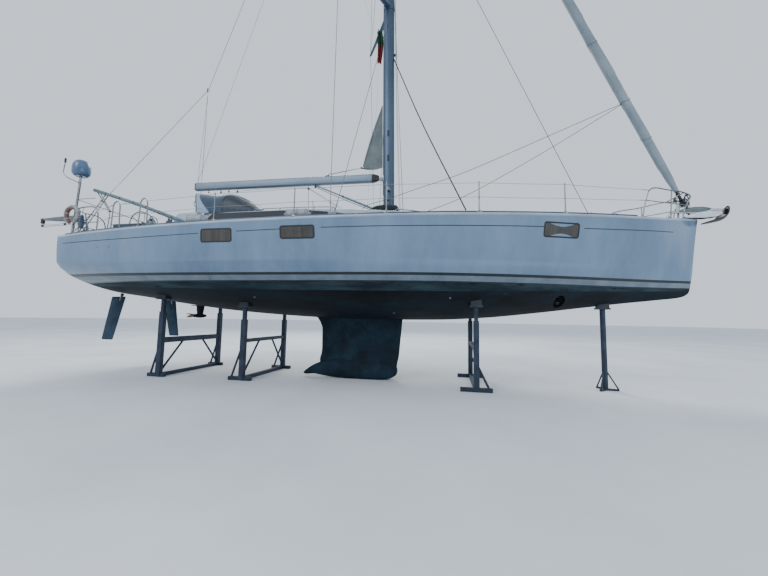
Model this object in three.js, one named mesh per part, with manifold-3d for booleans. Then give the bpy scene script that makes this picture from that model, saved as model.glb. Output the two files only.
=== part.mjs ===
// Cruising yacht ashore on steel support frames, keel bulb on the ground.
// Millimetres. +X bow, +Y port, +Z up. The origin is on the ground, at the middle of the length over all.
import * as THREE from 'three';
import { mergeVertices } from 'three/addons/utils/BufferGeometryUtils.js';
import Module from 'manifold-3d';

const wasm = await Module();
wasm.setup();

// Driving dimensions
const SEAT_GAP = 0.3; // gap between two pieces that rest on each other
const RUN_GAP = 0.8; // radial gap of a pin or stock in its bore
const CLEAR = 6; // clearance round a moving panel
const BEYOND = 3000; // half-width of a cutter wider than the boat
const OVERHEAD = 5000; // top of a cutter open to the sky
const CORNERS = [[-1, -1], [1, -1], [1, 1], [-1, 1]];
const SIDES = [{ label: 'starboard', sign: -1 }, { label: 'port', sign: 1 }];

// Hull sections from the transom to the stem. Columns: x, deck half-breadth, sheer height,
// chine half-breadth, chine height, lowest height, fullness of the bottom curve
const HULL_STATIONS = [
  [-7150, 2290, 3430, 2260, 2780, 2150, 1.7],
  [-6500, 2320, 3480, 2290, 2775, 2070, 1.7],
  [-5500, 2350, 3540, 2310, 2770, 1930, 1.7],
  [-4000, 2375, 3600, 2310, 2770, 1750, 1.65],
  [-2500, 2380, 3635, 2270, 2770, 1635, 1.6],
  [-1000, 2380, 3650, 2210, 2770, 1565, 1.6],
  [500, 2355, 3655, 2120, 2770, 1540, 1.6],
  [1800, 2260, 3665, 1960, 2770, 1555, 1.6],
  [3000, 2070, 3680, 1710, 2770, 1620, 1.55],
  [4200, 1770, 3710, 1370, 2775, 1750, 1.5],
  [5300, 1380, 3755, 990, 2785, 1895, 1.4],
  [6200, 960, 3810, 640, 2800, 2010, 1.3],
  [6900, 570, 3870, 350, 2820, 2090, 1.25],
  [7350, 300, 3920, 165, 2850, 2150, 1.2],
  [7540, 170, 3945, 85, 2900, 2250, 1.2],
  [7620, 110, 3955, 60, 3000, 2560, 1.2],
  [7710, 70, 3965, 45, 3450, 3200, 1.2],
  [7800, 35, 3980, 30, 3940, 3900, 1.2],
];
const BOTTOM_STEPS = 5;
const DECK_CAMBER = 80; // rise of the deck's middle at full beam
const FULL_HALF_BEAM = 2380;
const TOPSIDE_BULGE = 14;
const DECK_EDGE_DEPTH = 50; // depth of the deck moulding below the sheer

// Coachroof sections. Columns: x, half-width at the deck, half-width of the top, top height
const ROOF_STATIONS = [
  [-4000, 1560, 1260, 4190],
  [-1500, 1560, 1230, 4200],
  [600, 1420, 1050, 4150],
  [1900, 1180, 800, 4030],
  [2900, 900, 520, 3870],
  [3500, 700, 350, 3745],
];
const ROOF_CROWN = 60;
const ROOF_SKIN = 50;
const SALOON = { aft: -3850, fore: 1700, half: 1300, floor: 2200, shoulder: 3580 };
const COMPANIONWAY = { half: 330, sill: 3250, roofEnd: -3420 };
const WELL = { aft: -6750, step: -5500, fore: -4050, half: 620, helmHalf: 1720, floor: 3000 };
const ENGINE = { aft: -4850, fore: -3950, half: 280, high: 620 };
const ENGINE_SPACE = { aft: -4950, half: 420, top: 2880 };
const COAMING = { aft: -5500, fore: -3990, inner: 1340, outer: 1660, low: 3560 };
// Top edge of the coamings. Columns: x, height
const COAMING_TOP = [[-5500, 3700], [-5150, 3770], [-4640, 3890], [-4510, 4110], [-3990, 4130]];
// Hatches that hinge at their forward edge. Columns: name, aft x, forward x, half-width, locker depth
const HATCHES = [['foredeck_hatch', 3950, 4500, 290, 320], ['anchor_locker_lid', 6250, 6850, 230, 620]];
const HATCH_RIM = 55;
const HATCH_LID = 26;
const SLIDE = { inner: 370, outer: 410, aft: -3990, fore: -2900, low: 4150, above: 34, plate: 28,
  lidAft: -4040 };
// The long side window of the coachroof
const ROOF_WINDOW = { aft: -3800, fore: 200, low: 3800, high: 4050 };
// Windows in the topsides. Columns: name, aft end, forward end, lower edge, upper edge
const HULL_WINDOWS = [
  ['aft', -3175, -2450, 3165, 3445],
  ['middle', -1320, -575, 3205, 3460],
  ['forward', 4060, 4780, 3270, 3540],
];
const HULL_PANE = 30; // depth of the pockets that hold them
const ROOF_PANE = 25;

const HELM = { x: -5760, y: 1080, z: 3900, wheelX: -5960, radius: 430, shaft: 18 };
// Sections of a helm pedestal. Columns: height above the sole, length, width
const PEDESTAL = [[0, 300, 240], [620, 260, 210], [1080, 200, 170]];
const TABLE = { aft: -5250, fore: -4500, half: 150, legX: [-5170, -4580], high: 720, thick: 80 };
// Profile of a sheet winch. Columns: radius, height
const WINCH = [[0, -120], [78, -120], [78, 0], [52, 30], [60, 110], [78, 125], [78, 160], [30, 172],
  [0, 172]];
const WINCH_AT = [-4800, 1470, 3848];
// Rolled fenders lying on the side deck. Columns: name, x, half-length
const DECK_ROLLS = [['aft', -3390, 250], ['forward', -1010, 270]];
const ROLL_RADIUS = 105;
const CUSHION = { aft: -5800, fore: -4980, inner: 1850, outer: 2130, low: 3500, top: 3680 };
const PLATFORM = { half: 1144, thick: 66, bottom: 2705, top: 3425, pin: 12 };
const TRANSOM_X = -7150;

// Keel fin. Columns: height, leading edge x, trailing edge x, thickness
const FIN_SECTIONS = [[1800, 1020, -1420, 300], [1560, 1000, -1330, 280], [1300, 980, -1180, 240],
  [250, 880, -1180, 200]];
// Keel bulb. Columns: x, half-width, centre height, half-height
const BULB_SECTIONS = [[-1670, 20, 90, 25], [-1350, 110, 200, 130], [-900, 190, 250, 235],
  [-300, 255, 260, 275], [300, 265, 260, 275], [650, 225, 255, 235], [820, 130, 245, 145],
  [880, 40, 240, 50]];

const RUDDER = { x: -6690, topY: 880, topZ: 2100, bottomY: 1150, bottomZ: 890, ahead: 140, behind: 310,
  thick: 62, stock: 30, bore: 260 };
const DRIVE = { x: -4930, topZ: 1960, caseZ: 1560, caseRadius: 62, caseAhead: 230, caseBehind: 190 };
// Hub of the folded propeller. Columns: radius, place along the shaft
const PROPELLER_HUB = [[0, 0], [44, 0], [40, 60], [24, 110], [0, 118]];
// One folded blade. Columns: distance behind the hinge, width, thickness, distance from the shaft
const PROPELLER_BLADE = [[0, 46, 16, 34], [110, 62, 12, 39], [190, 52, 8, 44], [225, 14, 4, 49]];
const THRUSTER = { x: 4640, z: 2010, radius: 125 };

const MAST = { x: 590, footZ: 4230, topZ: 22100, rake: 0.79, long: 300, wide: 190 };
const GOOSENECK = { x: 375, z: 5350 }; // point on the swing axis of the boom, parallel to the mast
const VANG = { foot: 4440, topX: -1560, topZ: 5300, radius: 32 };
const BOOM = { aft: -5330, fore: 310, deep: 230, wide: 165, aftZ: 5430, foreZ: 5385 };
// Section of the boom, as shares of its width and depth
const BOOM_SECTION = [[-0.3, 0.5], [0.3, 0.5], [0.5, 0.3], [0.5, -0.3], [0.3, -0.5], [-0.3, -0.5],
  [-0.5, -0.3], [-0.5, 0.3]];
const OUTHAUL_CAR = { x: -1180, half: 60, wide: 30, high: 110 };
const SAIL_EDGE = 12; // thickness of the sail's doubled corner
// Corners of the mainsail's clew. Columns: x, height
const SAIL_CORNERS = [[398, 5680], [-180, 5690], [350, 7470], [370, 7470]];
// Spreaders. Columns: height on the mast, tip x, tip half-span, tip height
const SPREADERS = [[10350, -420, 1720, 10420], [16300, -330, 1300, 16380]];
const CHAINPLATE = { x: -260, y: 2270, z: 3660 };
const WIRE = 7;
const BACKSTAY = { x: -5140, z: 8520, footX: -6960, footY: 2180 };
const INNER_STAY = { footX: 5720, topZ: 16150 };
const FORESTAY = { x: 7660, z: 4090, top: 21300, plate: 4098, sail: 4640 };
// Furling drum and its swivel. Columns: height, radius
const DRUM = [[FORESTAY.plate + SEAT_GAP, 22], [4290, 22], [4300, 92], [4440, 92], [4450, 45],
  [FORESTAY.sail - SEAT_GAP, 45]];
// The rolled headsail. Columns: height, radius
const GENOA_ROLL = [[FORESTAY.sail, 55], [5000, 85], [6500, 105], [8000, 115], [12000, 105], [17000, 75],
  [20400, 35]];
const CLEW_IN_ROLL = 7350;
// Its clew, which stands out from the roll. Columns: x, height, radius
const GENOA_CLEW = [[6330, 7040, 75], [6400, 6900, 45]];

// Support frames. Columns: name, x, half-span of the posts, height and depth of the cross beam, foot ahead,
// foot behind, height of the foot's brace, which end of the foot it stands on
const FRAMES = [
  ['aft', -5100, 1150, 920, 140, 180, 305, 910, -1],
  ['quarter', -2820, 1080, 960, 90, 250, 350, 910, -1],
  ['forward', 2770, 1000, 950, 90, 340, 350, 620, 1],
];
const POST = 84;
const SLEEVE = { wide: 120, belowTop: 400 };
const FRAME_BEAM = 90;
const BRACE_RADIUS = 27;
// Head of each post: a steel plate with a block on it that the hull cuts to shape
const HEAD = { halfLong: 140, halfWide: 110, plateLow: 90, plateHigh: 55, blockHalfLong: 118, blockHigh: 120 };
const BOW_PROP = { x: 5740, radius: 60, turn: -12, baseRadius: 270, foot: 44, braceZ: 500, braceRadius: 16 };

// Stanchion stations along the deck edge, by x
const STANCHION_X = [-2910, -1030, 930, 2760, 4480];
const STANCHION_HEIGHT = 640;
const GATE_X = [-5500, -4740];
const RAIL_INSET = 50;
const RAIL_RADIUS = 13;
const TOE_RAIL = { aft: -6950, fore: 6100, wide: 40, high: 34 };
const PUSHPIT = { corner: 2140, z: 4130, davitY: 1800, davitZ: 4010, davitEnd: -8380 };
// Path of the pushpit's top rail and its end legs on one side. Columns: x, distance from the middle, height
const STERN_RAIL = [[-6150, 2190, 3400], [-6150, 2190, 4000], [-6260, 2180, 4130],
  [-6780, PUSHPIT.corner, 4140], [-6960, 2000, 4140], [-7010, 1800, 4130], [-7010, 1450, 4130],
  [-7010, 1280, 4000], [-7010, 1270, 3400]];
const DAVIT_ARM = [[-6890, 3380], [-6930, 3820], [-7050, 3955], [-7700, 3990]]; // x and height along the arm
// Top rail of the pulpit on one side. Columns: x, distance from the middle, height
const PULPIT_RAIL = [[6420, 880, 4420], [6900, 640, 4470], [7380, 330, 4500], [7560, 230, 4440],
  [7470, 190, 4200], [7420, 170, 3840]];
// One gate hoop. Columns: distance from its middle, height above the deck
const GATE_HOOP = [[-120, -60], [-100, 300], [-80, 590], [0, 660], [80, 590], [100, 300], [120, -60]];
const POLE = { x: -6900, y: -2080, top: 5000 };
// Bent arm of the aerial beside the radome, from the pole's top. Columns: along, across, height
const AERIAL_ARM = [[-25, -20, -180], [-250, -50, -70], [-300, -60, 50], [-290, -60, 330]];
// Profile of the radome. Columns: radius, height
const DOME = [[0, 0], [150, 0], [184, 50], [190, 150], [184, 260], [158, 350], [105, 415], [50, 438],
  [0, 442]];
const BUOY = { x: -6905, y: -2190, z: 3760, radius: 52 };
const BIMINI = { pivotX: -4230, pivotZ: 3830, half: 1680, middleX: -5600, middleZ: 4355, endX: -7050,
  endZ: 4815, radius: 40 };
// Struts that carry it. Columns: x, distance from the middle and height of each end
const BIMINI_STRUTS = [
  [[-6900, 1640, 4775], [-6360, 1720, 4140]],
  [[-6360, 1720, 4140], [-6330, 1800, 3450]],
  [[-6620, 1645, 4690], [-7050, 1980, 3400]],
];
const STRUT_RADIUS = 12;
// Sprayhood hoops. Columns: x, half-width, foot height, crown height
const HOOD = [[-4490, 1420, 4130, 4910], [-3900, 1350, 4070, 4830], [-3500, 1290, 4060, 4850],
  [-3000, 1200, 4130, 4600], [-2560, 1110, 4220, 4300]];
const HOOD_SKIN = 25;
const ROLLER = { x: 8180, y: -85, z: 4040, radius: 32 };
// Shank of the anchor on its roller. Columns: x, lower edge, upper edge
const ANCHOR_SHANK = [[7240, 4100, 4150], [7620, 4085, 4165],
  [ROLLER.x, ROLLER.z + ROLLER.radius + SEAT_GAP, 4185], [8360, 4085, 4150]];
// Its fluke. Columns: x, height, half-width
const ANCHOR_FLUKE = [[8380, 4215, 70], [8350, 4110, 140], [8300, 3990, 185], [8235, 3915, 190],
  [8080, 3870, 150], [7930, 3840, 90], [7830, 3825, 25]];

function paint(color, roughness, metalness) {
  return new THREE.MeshStandardMaterial({ color, roughness, metalness });
}
const MATERIALS = {
  gelcoat: paint(0xe9ebe8, 0.3, 0),
  deck: paint(0xdddcd4, 0.6, 0),
  glass: paint(0x37332f, 0.1, 0),
  antifouling: paint(0x1d2b3c, 0.85, 0),
  keel: paint(0x2b4453, 0.8, 0),
  aluminium: paint(0xb9bdc0, 0.4, 0.8),
  steel: paint(0xc9ccce, 0.2, 1),
  frame: paint(0x4d6a86, 0.6, 0.4),
  canvas: paint(0x6d8196, 0.9, 0),
  sail: paint(0x8f9690, 0.9, 0),
  fender: paint(0xcdbfa4, 0.7, 0),
  rubber: paint(0x22262a, 0.7, 0),
  teak: paint(0x9a7d5c, 0.8, 0),
  galvanised: paint(0x9aa0a4, 0.6, 0.8),
};

// Geometry helpers

/** Closed geometry to a solid that can be joined and cut. */
function solid(geometry) {
  const bare = geometry.clone();
  bare.deleteAttribute('normal');
  bare.deleteAttribute('uv');
  const merged = mergeVertices(bare, 1e-4);
  const vertProperties = new Float32Array(merged.attributes.position.array);
  const triVerts = new Uint32Array(merged.index.array);
  return new wasm.Manifold(new wasm.Mesh({ numProp: 3, vertProperties, triVerts }));
}

/** Solid back to a geometry. */
function geometryOf(body) {
  const mesh = body.getMesh();
  const geometry = new THREE.BufferGeometry();
  geometry.setAttribute('position', new THREE.BufferAttribute(new Float32Array(mesh.vertProperties), 3));
  geometry.setIndex(new THREE.BufferAttribute(new Uint32Array(mesh.triVerts), 1));
  return geometry;
}

const join = (bodies) => bodies.reduce((sum, body) => sum.add(body));
const moved = (geometry, x, y, z) => geometry.clone().translate(x, y, z);
const vec = (x, y, z) => new THREE.Vector3(x, y, z);
const mix = (a, b, t) => a + (b - a) * t;

/** Skin through closed rings of equal point counts, with both ends capped. */
function loft(rings) {
  const count = rings[0].length;
  const positions = rings.flat().flatMap((p) => [p.x, p.y, p.z]);
  const index = [];
  for (let r = 0; r + 1 < rings.length; r += 1) {
    for (let i = 0; i < count; i += 1) {
      const a = r * count + i;
      const b = r * count + ((i + 1) % count);
      index.push(a, b, a + count, b, b + count, a + count);
    }
  }
  for (const [ring, flip] of [[0, true], [rings.length - 1, false]]) {
    const centre = new THREE.Vector3();
    rings[ring].forEach((p) => centre.add(p));
    centre.divideScalar(count);
    const hub = positions.length / 3;
    positions.push(centre.x, centre.y, centre.z);
    for (let i = 0; i < count; i += 1) {
      const a = ring * count + i;
      const b = ring * count + ((i + 1) % count);
      index.push(...(flip ? [b, a, hub] : [a, b, hub]));
    }
  }
  const geometry = new THREE.BufferGeometry();
  geometry.setAttribute('position', new THREE.Float32BufferAttribute(positions, 3));
  geometry.setIndex(index);
  return facingOut(geometry);
}

/** Turn the faces over where they point in. */
function facingOut(geometry) {
  const p = geometry.attributes.position;
  const index = geometry.index.array;
  let volume = 0;
  for (let i = 0; i < index.length; i += 3) {
    const [a, b, c] = [0, 1, 2].map((k) => new THREE.Vector3().fromBufferAttribute(p, index[i + k]));
    volume += a.dot(b.cross(c));
  }
  if (volume < 0) {
    for (let i = 0; i < index.length; i += 3) {
      [index[i], index[i + 1]] = [index[i + 1], index[i]];
    }
  }
  return geometry;
}

/** Box from its two far corners. */
function block(x0, x1, y0, y1, z0, z1) {
  const geometry = new THREE.BoxGeometry(Math.abs(x1 - x0), Math.abs(y1 - y0), Math.abs(z1 - z0));
  return geometry.translate((x0 + x1) / 2, (y0 + y1) / 2, (z0 + z1) / 2);
}

/** Straight round bar, or cone, between two points. */
function bar(from, to, radius, sides = 10, endRadius = radius) {
  const along = to.clone().sub(from);
  const geometry = new THREE.CylinderGeometry(endRadius, radius, along.length(), sides);
  geometry.rotateX(Math.PI / 2);
  const turn = new THREE.Quaternion().setFromUnitVectors(vec(0, 0, 1), along.clone().normalize());
  geometry.applyQuaternion(turn);
  const middle = from.clone().add(to).multiplyScalar(0.5);
  return geometry.translate(middle.x, middle.y, middle.z);
}

/** Straight square bar between two points, with two faces level across. */
function squareBar(from, to, side) {
  const along = to.clone().sub(from);
  const geometry = new THREE.BoxGeometry(side, side, along.length());
  along.normalize();
  const across = Math.abs(along.z) > 0.99 ? vec(1, 0, 0) : vec(0, 0, 1).cross(along).normalize();
  const basis = new THREE.Matrix4().makeBasis(across, along.clone().cross(across), along);
  const middle = from.clone().add(to).multiplyScalar(0.5);
  return geometry.applyMatrix4(basis).translate(middle.x, middle.y, middle.z);
}

/** Body turned about the y axis from a profile of radius and height. */
function turned(profile, sides) {
  return new THREE.LatheGeometry(profile.map(([r, h]) => new THREE.Vector2(r, h)), sides);
}

/** Bent round tube through points, in a node of its own. */
function tube(points, radius, steps = 24, sides = 8) {
  const section = new THREE.Shape().absarc(0, 0, radius, 0, Math.PI * 2);
  const extrudePath = new THREE.CatmullRomCurve3(points, false, 'centripetal');
  const options = { steps, extrudePath, curveSegments: sides / 2, bevelEnabled: false };
  return new THREE.ExtrudeGeometry(section, options);
}

const group = new THREE.Group();

/** Add one named piece, from a geometry or a solid. */
function piece(name, shape, material) {
  const geometry = shape.isBufferGeometry ? shape : geometryOf(shape);
  const mesh = new THREE.Mesh(geometry, MATERIALS[material]);
  mesh.name = name;
  group.add(mesh);
}

// Hull and deck

/** Hull section columns at any x, between its two stations. */
function hullAt(x) {
  const last = HULL_STATIONS.length - 2;
  const found = HULL_STATIONS.findIndex((row) => row[0] > x) - 1;
  const k = Math.max(0, Math.min(last, found < 0 ? last : found));
  const [a, b] = [HULL_STATIONS[k], HULL_STATIONS[k + 1]];
  const t = (x - a[0]) / (b[0] - a[0]);
  return a.map((value, column) => mix(value, b[column], t));
}

/** Height of the bare deck at a place. */
function deckZ(x, y) {
  const [, half, sheer] = hullAt(x);
  const camber = DECK_CAMBER * (half / FULL_HALF_BEAM);
  const out = Math.min(1, Math.abs(y) / half);
  return sheer + camber * (out < 0.5 ? 1 - out / 2 : 1.5 * (1 - out));
}

/** Height of the hull's underside at a place. */
function bottomZ(x, y) {
  const [, , , chineHalf, chineHeight, low, fullness] = hullAt(x);
  const out = Math.min(1, Math.abs(y) / chineHalf);
  return chineHeight - (chineHeight - low) * (1 - out ** fullness) ** (1 / fullness);
}

function hullRing([x, deckHalf, sheer, chineHalf, chineHeight, low, fullness]) {
  const share = deckHalf / FULL_HALF_BEAM;
  const camber = DECK_CAMBER * share;
  const half = [
    [deckHalf * 0.5, sheer + camber * 0.75],
    [deckHalf, sheer],
    [mix(deckHalf, chineHalf, 0.5) + TOPSIDE_BULGE * share, mix(sheer, chineHeight, 0.5)],
    [chineHalf, chineHeight],
  ];
  for (let i = 1; i < BOTTOM_STEPS; i += 1) {
    const angle = (i / BOTTOM_STEPS) * (Math.PI / 2);
    const y = chineHalf * Math.cos(angle) ** (2 / fullness);
    half.push([y, chineHeight - (chineHeight - low) * Math.sin(angle) ** (2 / fullness)]);
  }
  const left = half.map(([y, z]) => vec(x, -y, z));
  const right = half.map(([y, z]) => vec(x, y, z)).reverse();
  return [vec(x, 0, sheer + camber), ...left, vec(x, 0, low), ...right];
}

/** Everything above the line where the deck moulding meets the hull, lowered by drop. */
function aboveJoint(drop) {
  const rows = HULL_STATIONS.map(([x, , sheer]) => [x, sheer - DECK_EDGE_DEPTH - drop]);
  rows[0][0] -= 100;
  rows[rows.length - 1][0] += 100;
  return loft(rows.map(([x, z]) => [vec(x, -BEYOND, z), vec(x, BEYOND, z), vec(x, BEYOND, OVERHEAD),
    vec(x, -BEYOND, OVERHEAD)]));
}

function roofRing([x, baseHalf, topHalf, top]) {
  const base = hullAt(x)[2] - 20;
  return [vec(x, -baseHalf, base), vec(x, -topHalf, top), vec(x, 0, top + ROOF_CROWN), vec(x, topHalf, top),
    vec(x, baseHalf, base)];
}

/** Coachroof section columns at any x. */
function roofAt(x) {
  const k = Math.max(1, ROOF_STATIONS.findIndex((row) => row[0] >= x));
  const [a, b] = [ROOF_STATIONS[k - 1], ROOF_STATIONS[k]];
  return a.map((value, column) => mix(value, b[column], (x - a[0]) / (b[0] - a[0])));
}

function saloonRing(x) {
  const [, , topHalf, top] = roofAt(x);
  const [inner, ceiling] = [topHalf - 60, top - ROOF_SKIN];
  const wall = Math.min(SALOON.half, inner + 90);
  return [vec(x, -wall, SALOON.floor), vec(x, -wall, SALOON.shoulder), vec(x, -inner, ceiling),
    vec(x, 0, ceiling + ROOF_CROWN), vec(x, inner, ceiling), vec(x, wall, SALOON.shoulder),
    vec(x, wall, SALOON.floor)];
}

const fullBody = loft(HULL_STATIONS.map(hullRing));
const roofBody = solid(loft(ROOF_STATIONS.map(roofRing)));
const saloon = solid(loft([SALOON.aft, -1500, 600, SALOON.fore].map(saloonRing))).add(solid(block(
  ENGINE_SPACE.aft, SALOON.aft + 10, -ENGINE_SPACE.half, ENGINE_SPACE.half, SALOON.floor, ENGINE_SPACE.top)));
const well = join([
  solid(block(WELL.step, WELL.fore, -WELL.half, WELL.half, WELL.floor, OVERHEAD)),
  solid(block(WELL.aft, WELL.step + 1, -WELL.helmHalf, WELL.helmHalf, WELL.floor, OVERHEAD)),
]);
const entry = COMPANIONWAY.half;
const companionway = join([
  solid(block(WELL.fore - 60, SALOON.aft + 60, -entry, entry, COMPANIONWAY.sill, OVERHEAD)),
  solid(block(WELL.fore, COMPANIONWAY.roofEnd, -entry, entry, 4050, OVERHEAD)),
]);

/** Box that passes through one side of the boat. */
const sideBox = (sign, x0, x1, z0, z1, inner, outer) => block(x0, x1, sign * inner, sign * outer, z0, z1);

/** Cockpit coaming on one side. */
function coaming(sign) {
  return loft(COAMING_TOP.map(([x, top]) => [
    vec(x, sign * COAMING.inner, COAMING.low), vec(x, sign * (COAMING.inner + 30), top),
    vec(x, sign * (COAMING.outer - 90), top), vec(x, sign * COAMING.outer, COAMING.low),
  ]));
}

function hatchTop(aft, fore) {
  return Math.max(deckZ(aft, 0), deckZ(fore, 0)) + 22;
}

const stockAxis = (sign) => {
  const top = vec(RUDDER.x, sign * RUDDER.topY, RUDDER.topZ);
  const bottom = vec(RUDDER.x, sign * RUDDER.bottomY, RUDDER.bottomZ);
  return { top, bottom, up: top.clone().sub(bottom).normalize() };
};

function buildHullAndDeck() {
  const body = solid(fullBody);
  const pinX = TRANSOM_X + PLATFORM.thick / 2;
  const pinZ = PLATFORM.bottom + PLATFORM.thick / 2;
  const reach = Math.hypot(PLATFORM.thick, PLATFORM.thick) / 2 + CLEAR;
  const half = PLATFORM.half + CLEAR;
  const socket = PLATFORM.half + 60;
  const recess = join([
    solid(block(TRANSOM_X - 200, pinX + reach, -half, half, pinZ - reach, OVERHEAD)),
    solid(bar(vec(pinX, -socket, pinZ), vec(pinX, socket, pinZ), PLATFORM.pin + RUN_GAP, 16)),
  ]);
  let hull = body.subtract(solid(aboveJoint(SEAT_GAP)));
  let deck = body.intersect(solid(aboveJoint(0))).add(roofBody);
  for (const { sign } of SIDES) {
    deck = deck.add(solid(coaming(sign)));
  }
  for (const [, aft, fore, opening] of HATCHES) {
    const rim = opening + HATCH_RIM;
    const low = deckZ(aft, 0) - 12;
    deck = deck.add(solid(block(aft - HATCH_RIM, fore + HATCH_RIM, -rim, rim, low, hatchTop(aft, fore))));
  }
  const railTop = roofAt(COMPANIONWAY.roofEnd)[3] + ROOF_CROWN + SLIDE.above;
  for (const { sign } of SIDES) {
    const [inner, outer] = [sign * SLIDE.inner, sign * SLIDE.outer];
    deck = deck.add(solid(block(SLIDE.aft, SLIDE.fore, inner, outer, SLIDE.low, railTop)));
  }
  const cuts = [saloon, well, companionway, recess];
  for (const [, aft, fore, opening, depth] of HATCHES) {
    const top = hatchTop(aft, fore);
    cuts.push(solid(block(aft, fore, -opening, opening, top - depth, top + 100)));
    const [z, rim] = [top + HATCH_LID / 2, opening + HATCH_RIM + 1];
    cuts.push(solid(block(fore - 60, fore + HATCH_RIM + 1, -rim, rim, top + 0.1, z)));
  }
  for (const { sign } of SIDES) {
    const { top, up } = stockAxis(sign);
    const into = top.clone().addScaledVector(up, RUDDER.bore + 20);
    cuts.push(solid(bar(top.clone().addScaledVector(up, -200), into, RUDDER.stock + RUN_GAP, 20)));
    const { aft, fore, low, high } = ROOF_WINDOW;
    cuts.push(solid(sideBox(sign, aft, fore, low, high, 1000, 1700)));
    for (const [, aftEnd, foreEnd, sill, head] of HULL_WINDOWS) {
      cuts.push(shellAt(aftEnd, foreEnd, sill, head, sign));
    }
  }
  const ends = [-BEYOND, BEYOND].map((y) => vec(THRUSTER.x, y, THRUSTER.z));
  cuts.push(solid(bar(...ends, THRUSTER.radius, 24)));
  for (const cut of cuts) {
    hull = hull.subtract(cut);
    deck = deck.subtract(cut);
  }
  piece('hull', hull, 'gelcoat');
  piece('deck_moulding', deck, 'deck');
  return { railTop, pinX, pinZ };
}

/** The outer skin of the topsides inside a window's outline, HULL_PANE deep. */
function shellAt(aft, fore, low, high, sign) {
  const inner = Math.min(hullAt(aft)[3], hullAt(fore)[3]) - 220;
  const box = solid(sideBox(sign, aft, fore, low, high, inner, 2600));
  const inside = solid(moved(fullBody, 0, -sign * HULL_PANE, 0));
  return box.intersect(solid(fullBody)).subtract(inside);
}

const fittings = buildHullAndDeck();

/** The hull, deck, roof and coamings together, moved by a little, to cut what sits on or under them. */
function boatCutter(lift) {
  const parts = [fullBody, loft(ROOF_STATIONS.map(roofRing)), ...SIDES.map(({ sign }) => coaming(sign))];
  return join(parts.map((part) => solid(moved(part, 0, 0, lift))));
}
const above = boatCutter(SEAT_GAP);
const below = boatCutter(-SEAT_GAP);

function buildWindows() {
  const roof = loft(ROOF_STATIONS.map(roofRing));
  const { aft, fore, low, high } = ROOF_WINDOW;
  const g = SEAT_GAP;
  for (const { label, sign } of SIDES) {
    const box = solid(sideBox(sign, aft + g, fore - g, low + g, high - g, 1000, 1700));
    const pane = box.intersect(roofBody).subtract(solid(moved(roof, 0, -sign * ROOF_PANE, 0)));
    piece(`coachroof_window_${label}`, pane, 'glass');
  }
}

function buildPlatform() {
  const { half, thick, bottom, top, pin } = PLATFORM;
  const z = bottom + thick / 2;
  const panel = solid(block(TRANSOM_X, TRANSOM_X + thick, -half, half, bottom, top));
  const hinge = solid(bar(vec(fittings.pinX, -half - 40, z), vec(fittings.pinX, half + 40, z), pin, 16));
  piece('bathing_platform', panel.add(hinge), 'gelcoat');
}

function buildHatches() {
  for (const [name, aft, fore, half] of HATCHES) {
    const low = hatchTop(aft, fore) + 0.5;
    const hinge = fore + HATCH_RIM - 20;
    const lid = solid(block(aft - HATCH_RIM + 8, hinge, -half - 40, half + 40, low, low + HATCH_LID));
    const z = low + HATCH_LID / 2;
    const barrel = bar(vec(hinge, -half - 40, z), vec(hinge, half + 40, z), HATCH_LID / 2, 16);
    piece(name, lid.add(solid(barrel)), name === 'foredeck_hatch' ? 'glass' : 'gelcoat');
  }
  const low = fittings.railTop + 0.5;
  const { lidAft, outer, plate: thick } = SLIDE;
  const plate = solid(block(lidAft, COMPANIONWAY.roofEnd + 40, -outer, outer, low, low + thick));
  const grip = solid(block(lidAft + 10, lidAft + 50, -120, 120, low + 20, low + 52));
  piece('companionway_hatch', plate.add(grip), 'glass');
}

// Under water

function foilRing(x0, x1, y, z, thick, tilt) {
  const chord = x1 - x0;
  const outline = [[0, 0], [0.06, 0.5], [0.25, 0.95], [0.45, 1], [0.75, 0.62], [1, 0.08]];
  const half = outline.map(([t, w]) => [x1 - t * chord, (w * thick) / 2]);
  const ring = [...half.map(([x, w]) => [x, w]), ...half.slice(1).reverse().map(([x, w]) => [x, -w])];
  return ring.map(([x, w]) => vec(x, y + w * Math.cos(tilt), z + w * Math.sin(tilt)));
}

function bulbRing([x, half, middle, high]) {
  const ring = [];
  for (let i = 0; i < 16; i += 1) {
    const angle = (i / 16) * Math.PI * 2;
    ring.push(vec(x, half * Math.cos(angle), Math.max(0, middle + high * Math.sin(angle))));
  }
  return ring;
}

function buildKeel() {
  const sections = FIN_SECTIONS.map(([z, lead, trail, thick]) => foilRing(trail, lead, 0, z, thick, 0));
  const fin = solid(loft(sections));
  const bulb = solid(loft(BULB_SECTIONS.map(bulbRing)));
  piece('keel', fin.add(bulb).subtract(below), 'keel');
}

function buildRudders() {
  for (const { label, sign } of SIDES) {
    const { top, bottom, up } = stockAxis(sign);
    const tilt = -sign * Math.atan2(RUDDER.bottomY - RUDDER.topY, RUDDER.topZ - RUDDER.bottomZ);
    const bladeTop = top.clone().addScaledVector(up, -55);
    const rings = [[bottom, 0.78, 0.7], [bladeTop, 1, 1]].map(([at, scale, thick]) => foilRing(
      at.x - RUDDER.behind * scale, at.x + RUDDER.ahead * scale, at.y, at.z, RUDDER.thick * thick, tilt));
    const blade = solid(loft(rings));
    const stockLow = bladeTop.clone().addScaledVector(up, -200);
    const stock = bar(stockLow, top.clone().addScaledVector(up, RUDDER.bore), RUDDER.stock, 20);
    piece(`rudder_${label}`, blade.add(solid(stock)), 'keel');
  }
}

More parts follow.
